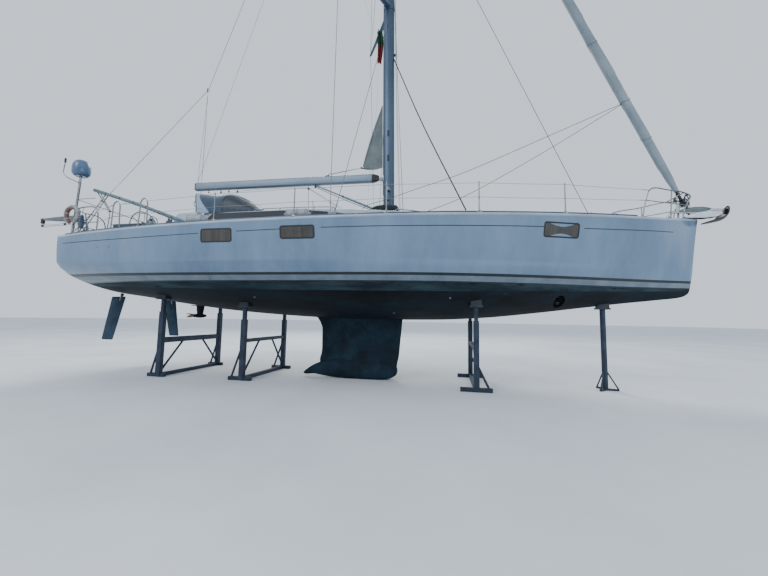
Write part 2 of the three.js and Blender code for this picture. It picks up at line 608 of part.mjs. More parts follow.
function buildDrive() {
  const { x, topZ, caseZ, caseRadius, caseAhead, caseBehind } = DRIVE;
  const leg = solid(loft([[topZ, 300, 110], [caseZ, 190, 80]].map(([z, chord, thick]) => foilRing(
    x - chord / 2, x + chord / 2, 0, z, thick, 0))));
  const profile = [[0, -caseBehind], [caseRadius * 0.7, -caseBehind], [caseRadius, 0],
    [caseRadius * 0.8, caseAhead * 0.6], [0, caseAhead]];
  const gearcase = turned(profile, 20).rotateZ(-Math.PI / 2).translate(x, 0, caseZ);
  piece('sail_drive', leg.add(solid(gearcase)).subtract(below), 'antifouling');
  const hubFront = x - caseBehind - 0.6;
  const parts = [solid(turned(PROPELLER_HUB, 18).rotateZ(Math.PI / 2).translate(hubFront, 0, caseZ))];
  for (let i = 0; i < 3; i += 1) {
    const blade = loft(PROPELLER_BLADE.map(([back, width, thick, out]) => CORNERS.map(([a, b]) => vec(
      hubFront - 40 - back, (a * width) / 2, out + (b * thick) / 2))));
    parts.push(solid(blade.rotateX((i * Math.PI * 2) / 3 + 0.35).translate(0, 0, caseZ)));
  }
  piece('folding_propeller', join(parts), 'galvanised');
}

function buildInside() {
  const floor = SALOON.floor + SEAT_GAP;
  const { aft, fore, half, high } = ENGINE;
  piece('engine', block(aft, fore, -half, half, floor, floor + high), 'frame');
  const post = solid(bar(vec(MAST.x, 0, floor), vec(MAST.x, 0, MAST.footZ), 45, 16));
  piece('compression_post', post.intersect(saloon.translate([0, 0, -SEAT_GAP])), 'aluminium');
}

// Frames that carry the boat

/** Plate and block that carry the hull at a point of its bottom. */
function postHead(x, y) {
  const z = bottomZ(x, y);
  const { halfLong, halfWide, plateLow, plateHigh, blockHalfLong, blockHigh } = HEAD;
  const halfBlock = halfWide * blockHalfLong / halfLong;
  return [block(x - halfLong, x + halfLong, y - halfWide, y + halfWide, z - plateLow, z - plateHigh),
    block(x - blockHalfLong, x + blockHalfLong, y - halfBlock, y + halfBlock, z - plateHigh - 1, z + blockHigh)];
}

function buildFrames() {
  for (const [name, x, half, crossZ, crossDeep, ahead, behind, braceZ, braceEnd] of FRAMES) {
    const parts = [];
    const beamHalf = FRAME_BEAM / 2;
    const sleeveHalf = SLEEVE.wide / 2;
    parts.push(block(x - beamHalf, x + beamHalf, -half, half, 0, FRAME_BEAM));
    parts.push(block(x - beamHalf, x + beamHalf, -half, half, crossZ - crossDeep / 2, crossZ + crossDeep / 2));
    for (const { sign } of SIDES) {
      const y = sign * half;
      const top = bottomZ(x, half);
      const footEnd = x + (braceEnd > 0 ? ahead - 60 : 60 - behind);
      parts.push(squareBar(vec(x, y, 10), vec(x, y, top - 60), POST));
      parts.push(block(x - sleeveHalf, x + sleeveHalf, y - sleeveHalf, y + sleeveHalf, 10, top - SLEEVE.belowTop));
      parts.push(...postHead(x, y));
      parts.push(block(x - behind, x + ahead, y - beamHalf, y + beamHalf, 0, FRAME_BEAM));
      parts.push(bar(vec(footEnd, y, beamHalf), vec(x, y, braceZ), BRACE_RADIUS));
      parts.push(bar(vec(x, y * 0.97, 120), vec(x, y * 0.3, crossZ), BRACE_RADIUS));
    }
    piece(`support_frame_${name}`, join(parts.map(solid)).subtract(below), 'frame');
  }
  const { x, radius, turn, baseRadius, foot, braceZ, braceRadius } = BOW_PROP;
  const parts = [bar(vec(x, 0, 12), vec(x, 0, bottomZ(x, 0) - 60), radius, 16), ...postHead(x, 0)];
  for (let i = 0; i < 3; i += 1) {
    const angle = THREE.MathUtils.degToRad(turn + i * 120);
    const tip = vec(x + baseRadius * Math.cos(angle), baseRadius * Math.sin(angle), foot / 2);
    parts.push(squareBar(vec(x, 0, foot / 2), tip, foot));
    parts.push(bar(tip, vec(x, 0, braceZ), braceRadius));
  }
  piece('bow_prop', join(parts.map(solid)).subtract(below), 'frame');
}

// Rig

const rakeRun = Math.tan((MAST.rake * Math.PI) / 180);
const mastX = (z) => MAST.x - rakeRun * (z - MAST.footZ);
const swingX = (z) => GOOSENECK.x - rakeRun * (z - GOOSENECK.z);

function ellipse(x, z, long, wide) {
  const ring = [];
  for (let i = 0; i < 24; i += 1) {
    const angle = (i / 24) * Math.PI * 2;
    ring.push(vec(x + (long / 2) * Math.cos(angle), (wide / 2) * Math.sin(angle), z));
  }
  return ring;
}

/** The mast's tube between two heights, grown by a little where it cuts or wraps round something. */
const mastTube = (grow, low = MAST.footZ - 60, high = MAST.topZ) => solid(loft([low, high].map((z) => ellipse(
  mastX(z), z, MAST.long + 2 * grow, MAST.wide + 2 * grow))));
const mastCutter = mastTube(SEAT_GAP);

const LUG = { half: 30, thick: 12, pin: 13, eye: 30 };

/** Two lugs and an upright pin on the mast, and the eye and bore of what turns on it. */
function pivot(z, gap) {
  const axis = (h) => vec(swingX(z + h), 0, z + h);
  const ends = gap + LUG.thick;
  const lugs = [-ends, gap].map((h) => solid(block(swingX(z) - LUG.half - 4, mastX(z) - MAST.long / 2 + 30,
    -LUG.half, LUG.half, z + h, z + h + LUG.thick)));
  return {
    fixed: join([...lugs, solid(bar(axis(-ends), axis(ends), LUG.pin, 16))]),
    eye: solid(bar(axis(2 - gap), axis(gap - 2), LUG.eye, 20)),
    bore: solid(bar(axis(-2 * gap), axis(2 * gap), LUG.pin + RUN_GAP, 16)),
  };
}
const gooseneck = pivot(GOOSENECK.z, 40);
const vangFoot = pivot(VANG.foot, 56);

/** The shroud wires of one side as solids of a given radius. */
function shroudWires(sign, radius) {
  const masthead = vec(mastX(21600), 0, 21600);
  const foot = vec(CHAINPLATE.x, sign * CHAINPLATE.y, CHAINPLATE.z + 40);
  const tips = SPREADERS.map(([, x, y, z]) => vec(x, sign * (y + 1.5 * WIRE), z));
  const roots = SPREADERS.map(([z]) => vec(mastX(z - 220), 0, z - 220));
  const runs = [[foot, tips[0]], [foot.clone().add(vec(90, 0, 0)), roots[0]], [tips[0], tips[1]],
    [tips[0], roots[1]], [tips[1], masthead]];
  const reach = vec(0, 0, 15 + radius);
  const knots = tips.map((tip) => bar(tip.clone().sub(reach), tip.clone().add(reach), radius * 1.5, 8));
  return join([...runs.map(([a, b]) => bar(a, b, radius, 6)), ...knots].map(solid));
}

function buildMast() {
  const crane = block(mastX(MAST.topZ) - 430, mastX(MAST.topZ) + 230, -35, 35, MAST.topZ - 1, MAST.topZ + 90);
  const step = block(MAST.x - 210, MAST.x + 210, -150, 150, MAST.footZ - 90, MAST.footZ + 30);
  const mast = join([mastTube(0), solid(crane), solid(step), gooseneck.fixed, vangFoot.fixed]);
  piece('mast', mast.subtract(above), 'aluminium');
  for (const [k, [rootZ, tipX, tipY, tipZ]] of SPREADERS.entries()) {
    const arms = SIDES.map(({ sign }) => {
      const ends = [[mastX(rootZ), 60, rootZ, 150, 46], [tipX, tipY, tipZ, 80, 30]];
      const rings = ends.map(([x, y, z, long, thick]) => [
        vec(x - long / 2, sign * y, z), vec(x, sign * y, z + thick / 2),
        vec(x + long / 2, sign * y, z), vec(x, sign * y, z - thick / 2)]);
      return solid(loft(rings)).subtract(shroudWires(sign, WIRE + SEAT_GAP));
    });
    const bracket = mastTube(10, rootZ - 60, rootZ + 60);
    piece(`spreaders_${k + 1}`, join([bracket, ...arms]).subtract(mastCutter), 'aluminium');
  }
}

function buildStays() {
  for (const { label, sign } of SIDES) {
    const { x, y, z } = CHAINPLATE;
    const foot = solid(block(x - 40, x + 130, sign * y - 9, sign * y + 9, z - 60, z + 90));
    const shrouds = foot.add(shroudWires(sign, WIRE));
    piece(`shrouds_${label}`, shrouds.subtract(above).subtract(mastCutter), 'steel');
  }
  const split = vec(BACKSTAY.x, 0, BACKSTAY.z);
  const craneEnd = vec(mastX(MAST.topZ) - 400, 0, MAST.topZ + 2);
  const legs = SIDES.map(({ sign }) => bar(split, vec(BACKSTAY.footX, sign * BACKSTAY.footY, 3400), WIRE, 6));
  const crane = solid(block(-2000, 2000, -400, 400, MAST.topZ - 1 - SEAT_GAP, MAST.topZ + 400));
  piece('backstay', join([bar(split, craneEnd, WIRE, 6), new THREE.SphereGeometry(34, 12, 8).translate(
    split.x, split.y, split.z), ...legs].map(solid)).subtract(above).subtract(crane), 'steel');
  const { footX, topZ } = INNER_STAY;
  piece('inner_forestay', solid(bar(vec(footX, 0, 3700), vec(mastX(topZ), 0, topZ), WIRE, 6)).subtract(above)
    .subtract(mastCutter), 'steel');
}

function buildHeadsail() {
  const tack = vec(FORESTAY.x, 0, FORESTAY.z);
  const head = vec(mastX(FORESTAY.top), 0, FORESTAY.top);
  const stay = (z) => tack.clone().lerp(head, (z - tack.z) / (head.z - tack.z));
  const ring = (z, radius, sides) => {
    const points = [];
    const centre = stay(z);
    for (let i = 0; i < sides; i += 1) {
      const angle = (i / sides) * Math.PI * 2;
      points.push(vec(centre.x + radius * Math.cos(angle), radius * Math.sin(angle), z));
    }
    return points;
  };
  piece('furling_drum', loft(DRUM.map(([z, radius]) => ring(z, radius, 20))), 'rubber');
  const roll = loft(GENOA_ROLL.map(([z, radius]) => ring(z, radius, 12)));
  const inRoll = stay(CLEW_IN_ROLL);
  const clew = loft([[inRoll.x, inRoll.z, 40], ...GENOA_CLEW].map(([x, z, r]) => [vec(x + r * 0.7, 0, z),
    vec(x, r * 0.6, z), vec(x - r * 0.7, 0, z), vec(x, -r * 0.6, z)]));
  const top = bar(stay(20300), stay(FORESTAY.top), 12, 8);
  piece('furled_genoa', join([roll, top, clew].map(solid)).subtract(mastCutter), 'sail');
}

function buildBoom() {
  const { aft, fore, deep, wide, aftZ, foreZ } = BOOM;
  const ring = (x, z) => BOOM_SECTION.map(([a, b]) => vec(x, a * wide, z + b * deep));
  const spar = solid(loft([ring(aft, aftZ), ring(fore, foreZ)]));
  const tongue = solid(block(fore - 40, swingX(GOOSENECK.z), -24, 24, GOOSENECK.z - 30, GOOSENECK.z + 30));
  const vangTop = vec(VANG.topX, 0, VANG.topZ);
  const vangEye = vec(swingX(VANG.foot) - 20, 0, VANG.foot);
  const sleeveTop = vangTop.clone().lerp(vangEye, 0.55);
  const rod = solid(bar(vangTop, vangEye, VANG.radius * 0.7, 12));
  const strut = join([rod, solid(bar(sleeveTop, vangEye, VANG.radius, 12)), vangFoot.eye]);
  const sole = loft([ring(aft, aftZ - SEAT_GAP), ring(fore, foreZ - SEAT_GAP)]);
  piece('boom_vang', strut.subtract(solid(sole)).subtract(vangFoot.bore), 'aluminium');
  const car = OUTHAUL_CAR;
  const boomTop = mix(aftZ, foreZ, (car.x - aft) / (fore - aft)) + deep / 2 + SEAT_GAP;
  const carBody = solid(block(car.x - car.half, car.x + car.half, -car.wide, car.wide, boomTop - 20,
    boomTop + car.high));
  piece('boom', join([spar, tongue, gooseneck.eye, carBody]).subtract(gooseneck.bore), 'aluminium');
  const clew = loft([-SAIL_EDGE / 2, SAIL_EDGE / 2].map((y) => SAIL_CORNERS.map(([x, z]) => vec(x, y, z))));
  const outhaul = bar(vec(-150, 0, 5700), vec(car.x + car.half + 1.5, 0, boomTop + 70), 9, 8);
  piece('mainsail_clew', join([solid(clew), solid(outhaul)]), 'sail');
}

// On deck

function onDeck(bodies) {
  return join(bodies.map(solid)).subtract(above);
}

/** Top rail of the pushpit on one side, with both its legs. */
function sternRail(sign, radius) {
  return tube(STERN_RAIL.map(([x, y, z]) => vec(x, sign * y, z)), radius, 40, 8);
}

const sternPost = (sign, radius) => bar(vec(-6780, sign * (PUSHPIT.corner - 40), 3400),
  vec(-6780, sign * PUSHPIT.corner, PUSHPIT.z + 10), radius, 8);

function buildRails() {
  for (const { label, sign } of SIDES) {
    const posts = STANCHION_X.map((x) => {
      const y = sign * (hullAt(x)[1] - RAIL_INSET);
      const z = deckZ(x, y);
      return bar(vec(x, y, z - 60), vec(x, y, z + STANCHION_HEIGHT), RAIL_RADIUS, 8);
    });
    const hoops = GATE_X.map((x) => {
      const y = sign * (hullAt(x)[1] - RAIL_INSET);
      const z = deckZ(x, y);
      return tube(GATE_HOOP.map(([dx, dz]) => vec(x + dx, y, z + dz)), RAIL_RADIUS, 18, 8);
    });
    const inside = HULL_STATIONS.map((row) => row[0]).filter((x) => x > TOE_RAIL.aft && x < TOE_RAIL.fore);
    const toeRail = loft([TOE_RAIL.aft, ...inside, TOE_RAIL.fore].map((x) => {
      const outer = hullAt(x)[1] - RAIL_INSET + TOE_RAIL.wide / 2;
      const z = deckZ(x, outer);
      return [[outer - TOE_RAIL.wide, -40], [outer, -40], [outer, TOE_RAIL.high],
        [outer - TOE_RAIL.wide, TOE_RAIL.high]].map(([y, h]) => vec(x, sign * y, z + h));
    }));
    piece(`guardrail_${label}`, onDeck([toeRail, ...posts, ...hoops]), 'steel');
    const { z, davitY, davitZ, davitEnd } = PUSHPIT;
    const y = sign * davitY;
    const post = sternPost(sign, RAIL_RADIUS);
    const path = [...DAVIT_ARM, [davitEnd + 40, davitZ]].map(([armX, armZ]) => vec(armX, y, armZ));
    const arm = tube(path, 28, 28, 10);
    const clamp = bar(vec(-6935, y, 3840), vec(-7010, y, z), 16, 8);
    const brace = bar(vec(-7080, y, 3400), vec(-7420, y, 3965), 14, 8);
    const tip = block(davitEnd, davitEnd + 80, y - 30, y + 30, davitZ - 110, davitZ + 30);
    piece(`pushpit_${label}`, onDeck([sternRail(sign, 14), post, arm, clamp, tip, brace]), 'steel');
  }
  const leg = (x, y) => [vec(x, y, deckZ(x, y) - 60), vec(x + 60, y, deckZ(x, y) + 320)];
  const parts = SIDES.flatMap(({ sign }) => [
    tube([...leg(6250, sign * 880), ...PULPIT_RAIL.map(([x, y, z]) => vec(x, sign * y, z))], 14, 40, 8),
    bar(vec(6330, sign * 880, 4180), vec(7450, sign * 240, 4240), 11, 8),
    bar(vec(6960, sign * 560, 3850), vec(6980, sign * 600, 4465), 12, 8),
  ]);
  piece('pulpit', onDeck([...parts, bar(vec(7380, -330, 4500), vec(7380, 330, 4500), 13, 8)]), 'steel');
}

function buildStern() {
  const { x, y, top } = POLE;
  const pole = bar(vec(x - 110, y, 3400), vec(x + 4, y, top + 60), 22, 12);
  const arm = tube(AERIAL_ARM.map(([dx, dy, dz]) => vec(x + dx, y + dy, top + dz)), 11, 20, 8);
  const over = solid(block(x - 60, x + 60, y - 60, y + 60, top, top + 200));
  piece('radome_pole', onDeck([pole, arm]).subtract(over), 'steel');
  piece('radome', turned(DOME, 28).rotateX(Math.PI / 2).translate(x, y, top + SEAT_GAP), 'gelcoat');
  const ring = [[-55, 0], [-155, 140], [-145, 320], [-5, 400], [145, 320], [155, 140], [55, 0]];
  const buoy = tube(ring.map(([dx, dz]) => vec(BUOY.x + dx, BUOY.y, BUOY.z + dz)), BUOY.radius, 24, 10);
  const rails = solid(sternRail(-1, 14 + SEAT_GAP)).add(solid(sternPost(-1, 13 + SEAT_GAP)));
  piece('horseshoe_buoy', solid(buoy).subtract(rails), 'fender');
}

function buildBimini() {
  const { pivotX, pivotZ, half, middleX, middleZ, endX, endZ, radius } = BIMINI;
  const struts = SIDES.map(({ sign }) => BIMINI_STRUTS.map((ends) => {
    const [from, to] = ends.map(([x, y, z]) => vec(x, sign * y, z));
    return bar(from, to, STRUT_RADIUS, 8);
  }));
  SIDES.forEach(({ label }, k) => piece(`bimini_struts_${label}`, onDeck(struts[k]), 'steel'));
  const side = (sign) => [vec(pivotX + 60, sign * (half - 90), pivotZ - 20),
    vec(pivotX, sign * half, pivotZ + 20), vec(middleX, sign * half, middleZ),
    vec(endX + 120, sign * half, endZ - 30), vec(endX, sign * (half - 200), endZ + 20)];
  const hoop = tube([...side(-1), vec(endX - 20, 0, endZ + 60), ...side(1).reverse()], radius, 60, 10);
  const cutter = join(struts.flat().map(solid));
  piece('bimini_boot', onDeck([hoop]).subtract(cutter), 'canvas');
}

function hoodRing([x, half, foot, crown], skin) {
  const ring = [];
  for (let i = 0; i <= 12; i += 1) {
    const angle = (i / 12) * Math.PI;
    const across = Math.sign(Math.cos(angle)) * Math.abs(Math.cos(angle)) ** 0.55;
    ring.push(vec(x, (half - skin) * across, foot + (crown - foot - skin) * Math.sin(angle) ** 0.6));
  }
  const low = foot - (skin > 0 ? 300 : 60);
  ring.push(vec(x, -(half - skin), low), vec(x, half - skin, low));
  return ring;
}

function buildHood() {
  const outer = HOOD.map((row) => hoodRing(row, 0));
  const shift = [-200, 0, 0, 0, -HOOD_SKIN];
  const inner = HOOD.map(([x, ...rest], k) => hoodRing([x + shift[k], ...rest], HOOD_SKIN));
  const rails = SIDES.map(({ sign }) => {
    const [near, far] = [sign * (SLIDE.inner - 10), sign * (SLIDE.outer + 10)];
    return solid(block(SLIDE.aft - 100, SLIDE.fore + 10, near, far, SLIDE.low - 50, fittings.railTop + 10));
  });
  const shell = solid(loft(outer)).subtract(solid(loft(inner))).subtract(above).subtract(join(rails));
  piece('sprayhood', shell, 'canvas');
}

function buildCockpit() {
  const sole = WELL.floor + SEAT_GAP;
  const { aft, fore, half, legX, high, thick } = TABLE;
  const top = sole + high;
  const legs = legX.map((x) => block(x - 30, x + 30, -60, 60, sole, top - thick + 20));
  const leaf = block(aft, fore, -half, half, top - thick, top);
  piece('cockpit_table', join([leaf, ...legs].map(solid)), 'teak');
  for (const { label, sign } of SIDES) {
    const y = sign * HELM.y;
    const pod = loft(PEDESTAL.map(([h, long, wide]) => CORNERS.map(([a, b]) => vec(
      HELM.x + (a * long) / 2, y + (b * wide) / 2, sole + h))));
    const boreEnds = [HELM.wheelX - 200, HELM.x + 40].map((x) => vec(x, y, HELM.z));
    const bore = bar(...boreEnds, HELM.shaft + RUN_GAP, 16);
    piece(`helm_pedestal_${label}`, solid(pod).subtract(solid(bore)), 'gelcoat');
    const rim = new THREE.TorusGeometry(HELM.radius, 16, 10, 40).rotateY(Math.PI / 2);
    const spokes = [0, 1, 2].map((i) => {
      const angle = (i * 2 * Math.PI) / 3;
      return bar(vec(0, 0, 0), vec(0, HELM.radius * Math.sin(angle), HELM.radius * Math.cos(angle)), 9, 8);
    });
    const shaft = bar(vec(-30, 0, 0), vec(HELM.x - HELM.wheelX + 30, 0, 0), HELM.shaft, 16);
    const hub = bar(vec(-35, 0, 0), vec(25, 0, 0), 48, 16);
    const wheel = join([rim, ...spokes, shaft, hub].map((g) => solid(g.translate(HELM.wheelX, y, HELM.z))));
    piece(`steering_wheel_${label}`, wheel, 'steel');
    const [winchX, winchY, winchZ] = WINCH_AT;
    const winch = turned(WINCH, 20).rotateX(Math.PI / 2).translate(winchX, sign * winchY, winchZ);
    piece(`sheet_winch_${label}`, onDeck([winch]), 'aluminium');
  }
  for (const [name, x, long] of DECK_ROLLS) {
    const y = -(hullAt(x)[1] - 2 * ROLL_RADIUS);
    const profile = [[0, -long], [ROLL_RADIUS * 0.67, -long + 20], [ROLL_RADIUS, -long + 90],
      [ROLL_RADIUS, long - 90], [ROLL_RADIUS * 0.67, long - 20], [0, long]];
    const roll = turned(profile, 18).rotateZ(-Math.PI / 2).translate(x, y, deckZ(x, y) + ROLL_RADIUS);
    piece(`deck_roll_${name}`, onDeck([roll]), 'fender');
  }
  const cushion = block(CUSHION.aft, CUSHION.fore, -CUSHION.outer, -CUSHION.inner, CUSHION.low, CUSHION.top);
  piece('side_cushion', onDeck([cushion]), 'canvas');
}

function buildBow() {
  const { x, y, z, radius } = ROLLER;
  const cheeks = [-1, 1].map((side) => block(7480, x + 50, y + side * 75, y + side * 63, z - 80, z + 55));
  const floor = block(7480, 7900, y - 70, 12, z - 50, z - 36);
  const wheel = bar(vec(x, y - 70, z), vec(x, y + 70, z), radius, 16);
  const stemPlate = block(FORESTAY.x - 30, FORESTAY.x + 30, -8, 8, z - 40, FORESTAY.plate);
  piece('bow_roller', onDeck([...cheeks, floor, wheel, stemPlate]), 'steel');
  const parts = [
    loft(ANCHOR_SHANK.map(([at, low, high]) => [vec(at, y - 16, low), vec(at, y + 16, low),
      vec(at, y + 16, high), vec(at, y - 16, high)])),
    loft(ANCHOR_FLUKE.map(([at, height, half]) => [vec(at, y - half, height - 14), vec(at, y, height - 34),
      vec(at, y + half, height - 14), vec(at, y, height + 14)])),
  ];
  piece('anchor', join(parts.map(solid)), 'galvanised');
}

buildWindows();
buildPlatform();
buildHatches();
buildKeel();
buildRudders();
buildDrive();
buildInside();
buildFrames();
buildMast();
buildStays();
buildHeadsail();
buildBoom();
buildRails();
buildStern();
buildBimini();
buildHood();
buildCockpit();
buildBow();

export default group;
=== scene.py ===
import math
import bmesh
import bpy
import numpy as np
from mathutils import Matrix, Vector


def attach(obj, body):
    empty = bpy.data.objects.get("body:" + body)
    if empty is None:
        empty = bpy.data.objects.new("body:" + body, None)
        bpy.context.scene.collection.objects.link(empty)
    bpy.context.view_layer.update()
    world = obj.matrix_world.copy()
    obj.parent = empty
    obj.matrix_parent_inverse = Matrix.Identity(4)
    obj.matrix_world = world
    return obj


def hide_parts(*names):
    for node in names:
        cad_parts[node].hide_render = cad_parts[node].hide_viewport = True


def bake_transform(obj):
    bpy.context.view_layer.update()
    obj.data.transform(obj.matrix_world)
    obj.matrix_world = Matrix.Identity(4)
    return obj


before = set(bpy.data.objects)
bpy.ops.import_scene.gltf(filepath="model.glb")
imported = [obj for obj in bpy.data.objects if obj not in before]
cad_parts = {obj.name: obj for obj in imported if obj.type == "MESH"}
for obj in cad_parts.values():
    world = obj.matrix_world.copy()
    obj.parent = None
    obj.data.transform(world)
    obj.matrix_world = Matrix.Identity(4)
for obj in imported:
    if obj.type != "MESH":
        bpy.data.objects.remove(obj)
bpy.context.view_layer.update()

SIDES = (("starboard", -1), ("port", 1))


def put(name, data):
    ob = bpy.data.objects.new(name, data)
    bpy.context.scene.collection.objects.link(ob)
    return ob


# Camera at the viewpoint of the photo
def make_camera():
    yaw, pitch, roll = (math.radians(a) for a in (10.35, 5.15, 0.97))
    ahead = Vector((-math.sin(yaw) * math.cos(pitch), math.cos(yaw) * math.cos(pitch), math.sin(pitch)))
    right = Vector((math.cos(yaw), math.sin(yaw), 0))
    up = right.cross(ahead)
    right, up = right * math.cos(roll) + up * math.sin(roll), up * math.cos(roll) - right * math.sin(roll)
    data = bpy.data.cameras.new("camera")
    data.sensor_fit = "HORIZONTAL"
    data.sensor_width, data.lens = 36, 16.2
    data.clip_end = 500
    cam = put("camera", data)
    turn = Matrix((right, up, -ahead)).transposed().to_4x4()
    cam.matrix_world = Matrix.Translation((2.13, -8.96, 1.55)) @ turn
    bpy.context.scene.camera = cam


# Materials
def rgb(code):
    parts = [int(code[i:i + 2], 16) / 255 for i in (0, 2, 4)]
    return tuple(c / 12.92 if c < 0.04045 else ((c + 0.055) / 1.055) ** 2.4 for c in parts) + (1,)


# Sockets of a mixing node for colours
FACTOR, FIRST, SECOND, MIXED = 0, 6, 7, 2


def material(name, tones, rough=0.5, metal=0.0, scale=2.0, stretch=(1, 1, 1), grain=80.0, bump=0.0008,
             vary=0.12, coat=0.0, sheen=0.0, weave=0.0, planks=None, clear=0.0, spots=None):
    """Colour from a cloud of tones, roughness and bump from a finer grain, weave or plank pattern."""
    m = bpy.data.materials.new(name)
    m.use_nodes = True
    nodes, links = m.node_tree.nodes, m.node_tree.links
    shader = nodes["Principled BSDF"]

    def node(kind, **values):
        n = nodes.new("ShaderNode" + kind)
        for key, value in values.items():
            if key in n.inputs:
                n.inputs[key].default_value = value
            else:
                setattr(n, key, value)
        return n

    place = node("TexCoord").outputs["Object"]
    mapped = node("Mapping", Scale=stretch)
    links.new(place, mapped.inputs["Vector"])
    cloud = node("TexNoise", Scale=scale, Detail=8, Roughness=0.62)
    links.new(mapped.outputs["Vector"], cloud.inputs["Vector"])
    ramp = node("ValToRGB")
    stops = ramp.color_ramp.elements
    while len(stops) < len(tones):
        stops.new(0.5)
    for k, code in enumerate(tones):
        stops[k].position = 0.34 + 0.32 * k / max(1, len(tones) - 1)
        stops[k].color = rgb(code)
    links.new(cloud.outputs["Fac"], ramp.inputs["Fac"])
    colour = ramp.outputs["Color"]
    fine = node("TexNoise", Scale=grain, Detail=4)
    links.new(place, fine.inputs["Vector"])
    height = fine.outputs["Fac"]
    if spots:
        code, size, share = spots
        patch = node("TexNoise", Scale=size, Detail=10, Roughness=0.7)
        links.new(mapped.outputs["Vector"], patch.inputs["Vector"])
        edge = node("MapRange")
        edge.inputs["From Min"].default_value = 1 - share
        edge.inputs["From Max"].default_value = 1.04 - share
        links.new(patch.outputs["Fac"], edge.inputs["Value"])
        blend = node("Mix", data_type="RGBA")
        blend.inputs[SECOND].default_value = rgb(code)
        links.new(edge.outputs["Result"], blend.inputs[FACTOR])
        links.new(colour, blend.inputs[FIRST])
        colour = blend.outputs[MIXED]
    if weave:
        bands = []
        for axis in "XYZ":
            wave = node("TexWave", Scale=weave, bands_direction=axis)
            links.new(place, wave.inputs["Vector"])
            bands.append(wave.outputs["Fac"])
        for other in bands[1:]:
            both = node("Math", operation="ADD")
            links.new(bands[0], both.inputs[0])
            links.new(other, both.inputs[1])
            bands[0] = both.outputs["Value"]
        height = bands[0]
    if planks:
        size, swap = planks
        turned = node("Mapping", Rotation=(0, 0, math.radians(90) if swap else 0))
        links.new(place, turned.inputs["Vector"])
        brick = node("TexBrick", Scale=1 / size, **{"Mortar Size": 0.035, "Brick Width": 26, "Row Height": 1,
                     "Mortar Smooth": 0.1, "Bias": 0})
        brick.inputs["Mortar"].default_value = rgb("1b1a18")
        links.new(turned.outputs["Vector"], brick.inputs["Vector"])
        streaks = node("Mapping", Scale=(60, 3, 20) if swap else (3, 60, 20))
        links.new(place, streaks.inputs["Vector"])
        links.new(streaks.outputs["Vector"], cloud.inputs["Vector"])
        for socket, gain in (("Color1", 1.0), ("Color2", 0.82)):
            tint = node("Mix", data_type="RGBA", blend_type="MULTIPLY")
            tint.inputs[FACTOR].default_value = 1
            tint.inputs[SECOND].default_value = (gain, gain, gain, 1)
            links.new(ramp.outputs["Color"], tint.inputs[FIRST])
            links.new(tint.outputs[MIXED], brick.inputs[socket])
        colour, height = brick.outputs["Color"], brick.outputs["Fac"]
    links.new(colour, shader.inputs["Base Color"])
    spread = node("MapRange", **{"To Min": max(0.03, rough - vary), "To Max": min(1, rough + vary)})
    links.new(fine.outputs["Fac"], spread.inputs["Value"])
    links.new(spread.outputs["Result"], shader.inputs["Roughness"])
    relief = node("Bump", Strength=0.6, Distance=-bump if planks else bump)
    links.new(height, relief.inputs["Height"])
    links.new(relief.outputs["Normal"], shader.inputs["Normal"])
    shader.inputs["Metallic"].default_value = metal
    shader.inputs["Specular IOR Level"].default_value = 0.25 if rough > 0.7 else 0.5
    shader.inputs["Transmission Weight"].default_value = clear
    shader.inputs["Coat Weight"].default_value = coat
    shader.inputs["Coat Roughness"].default_value = 0.12
    shader.inputs["Sheen Weight"].default_value = sheen
    return m


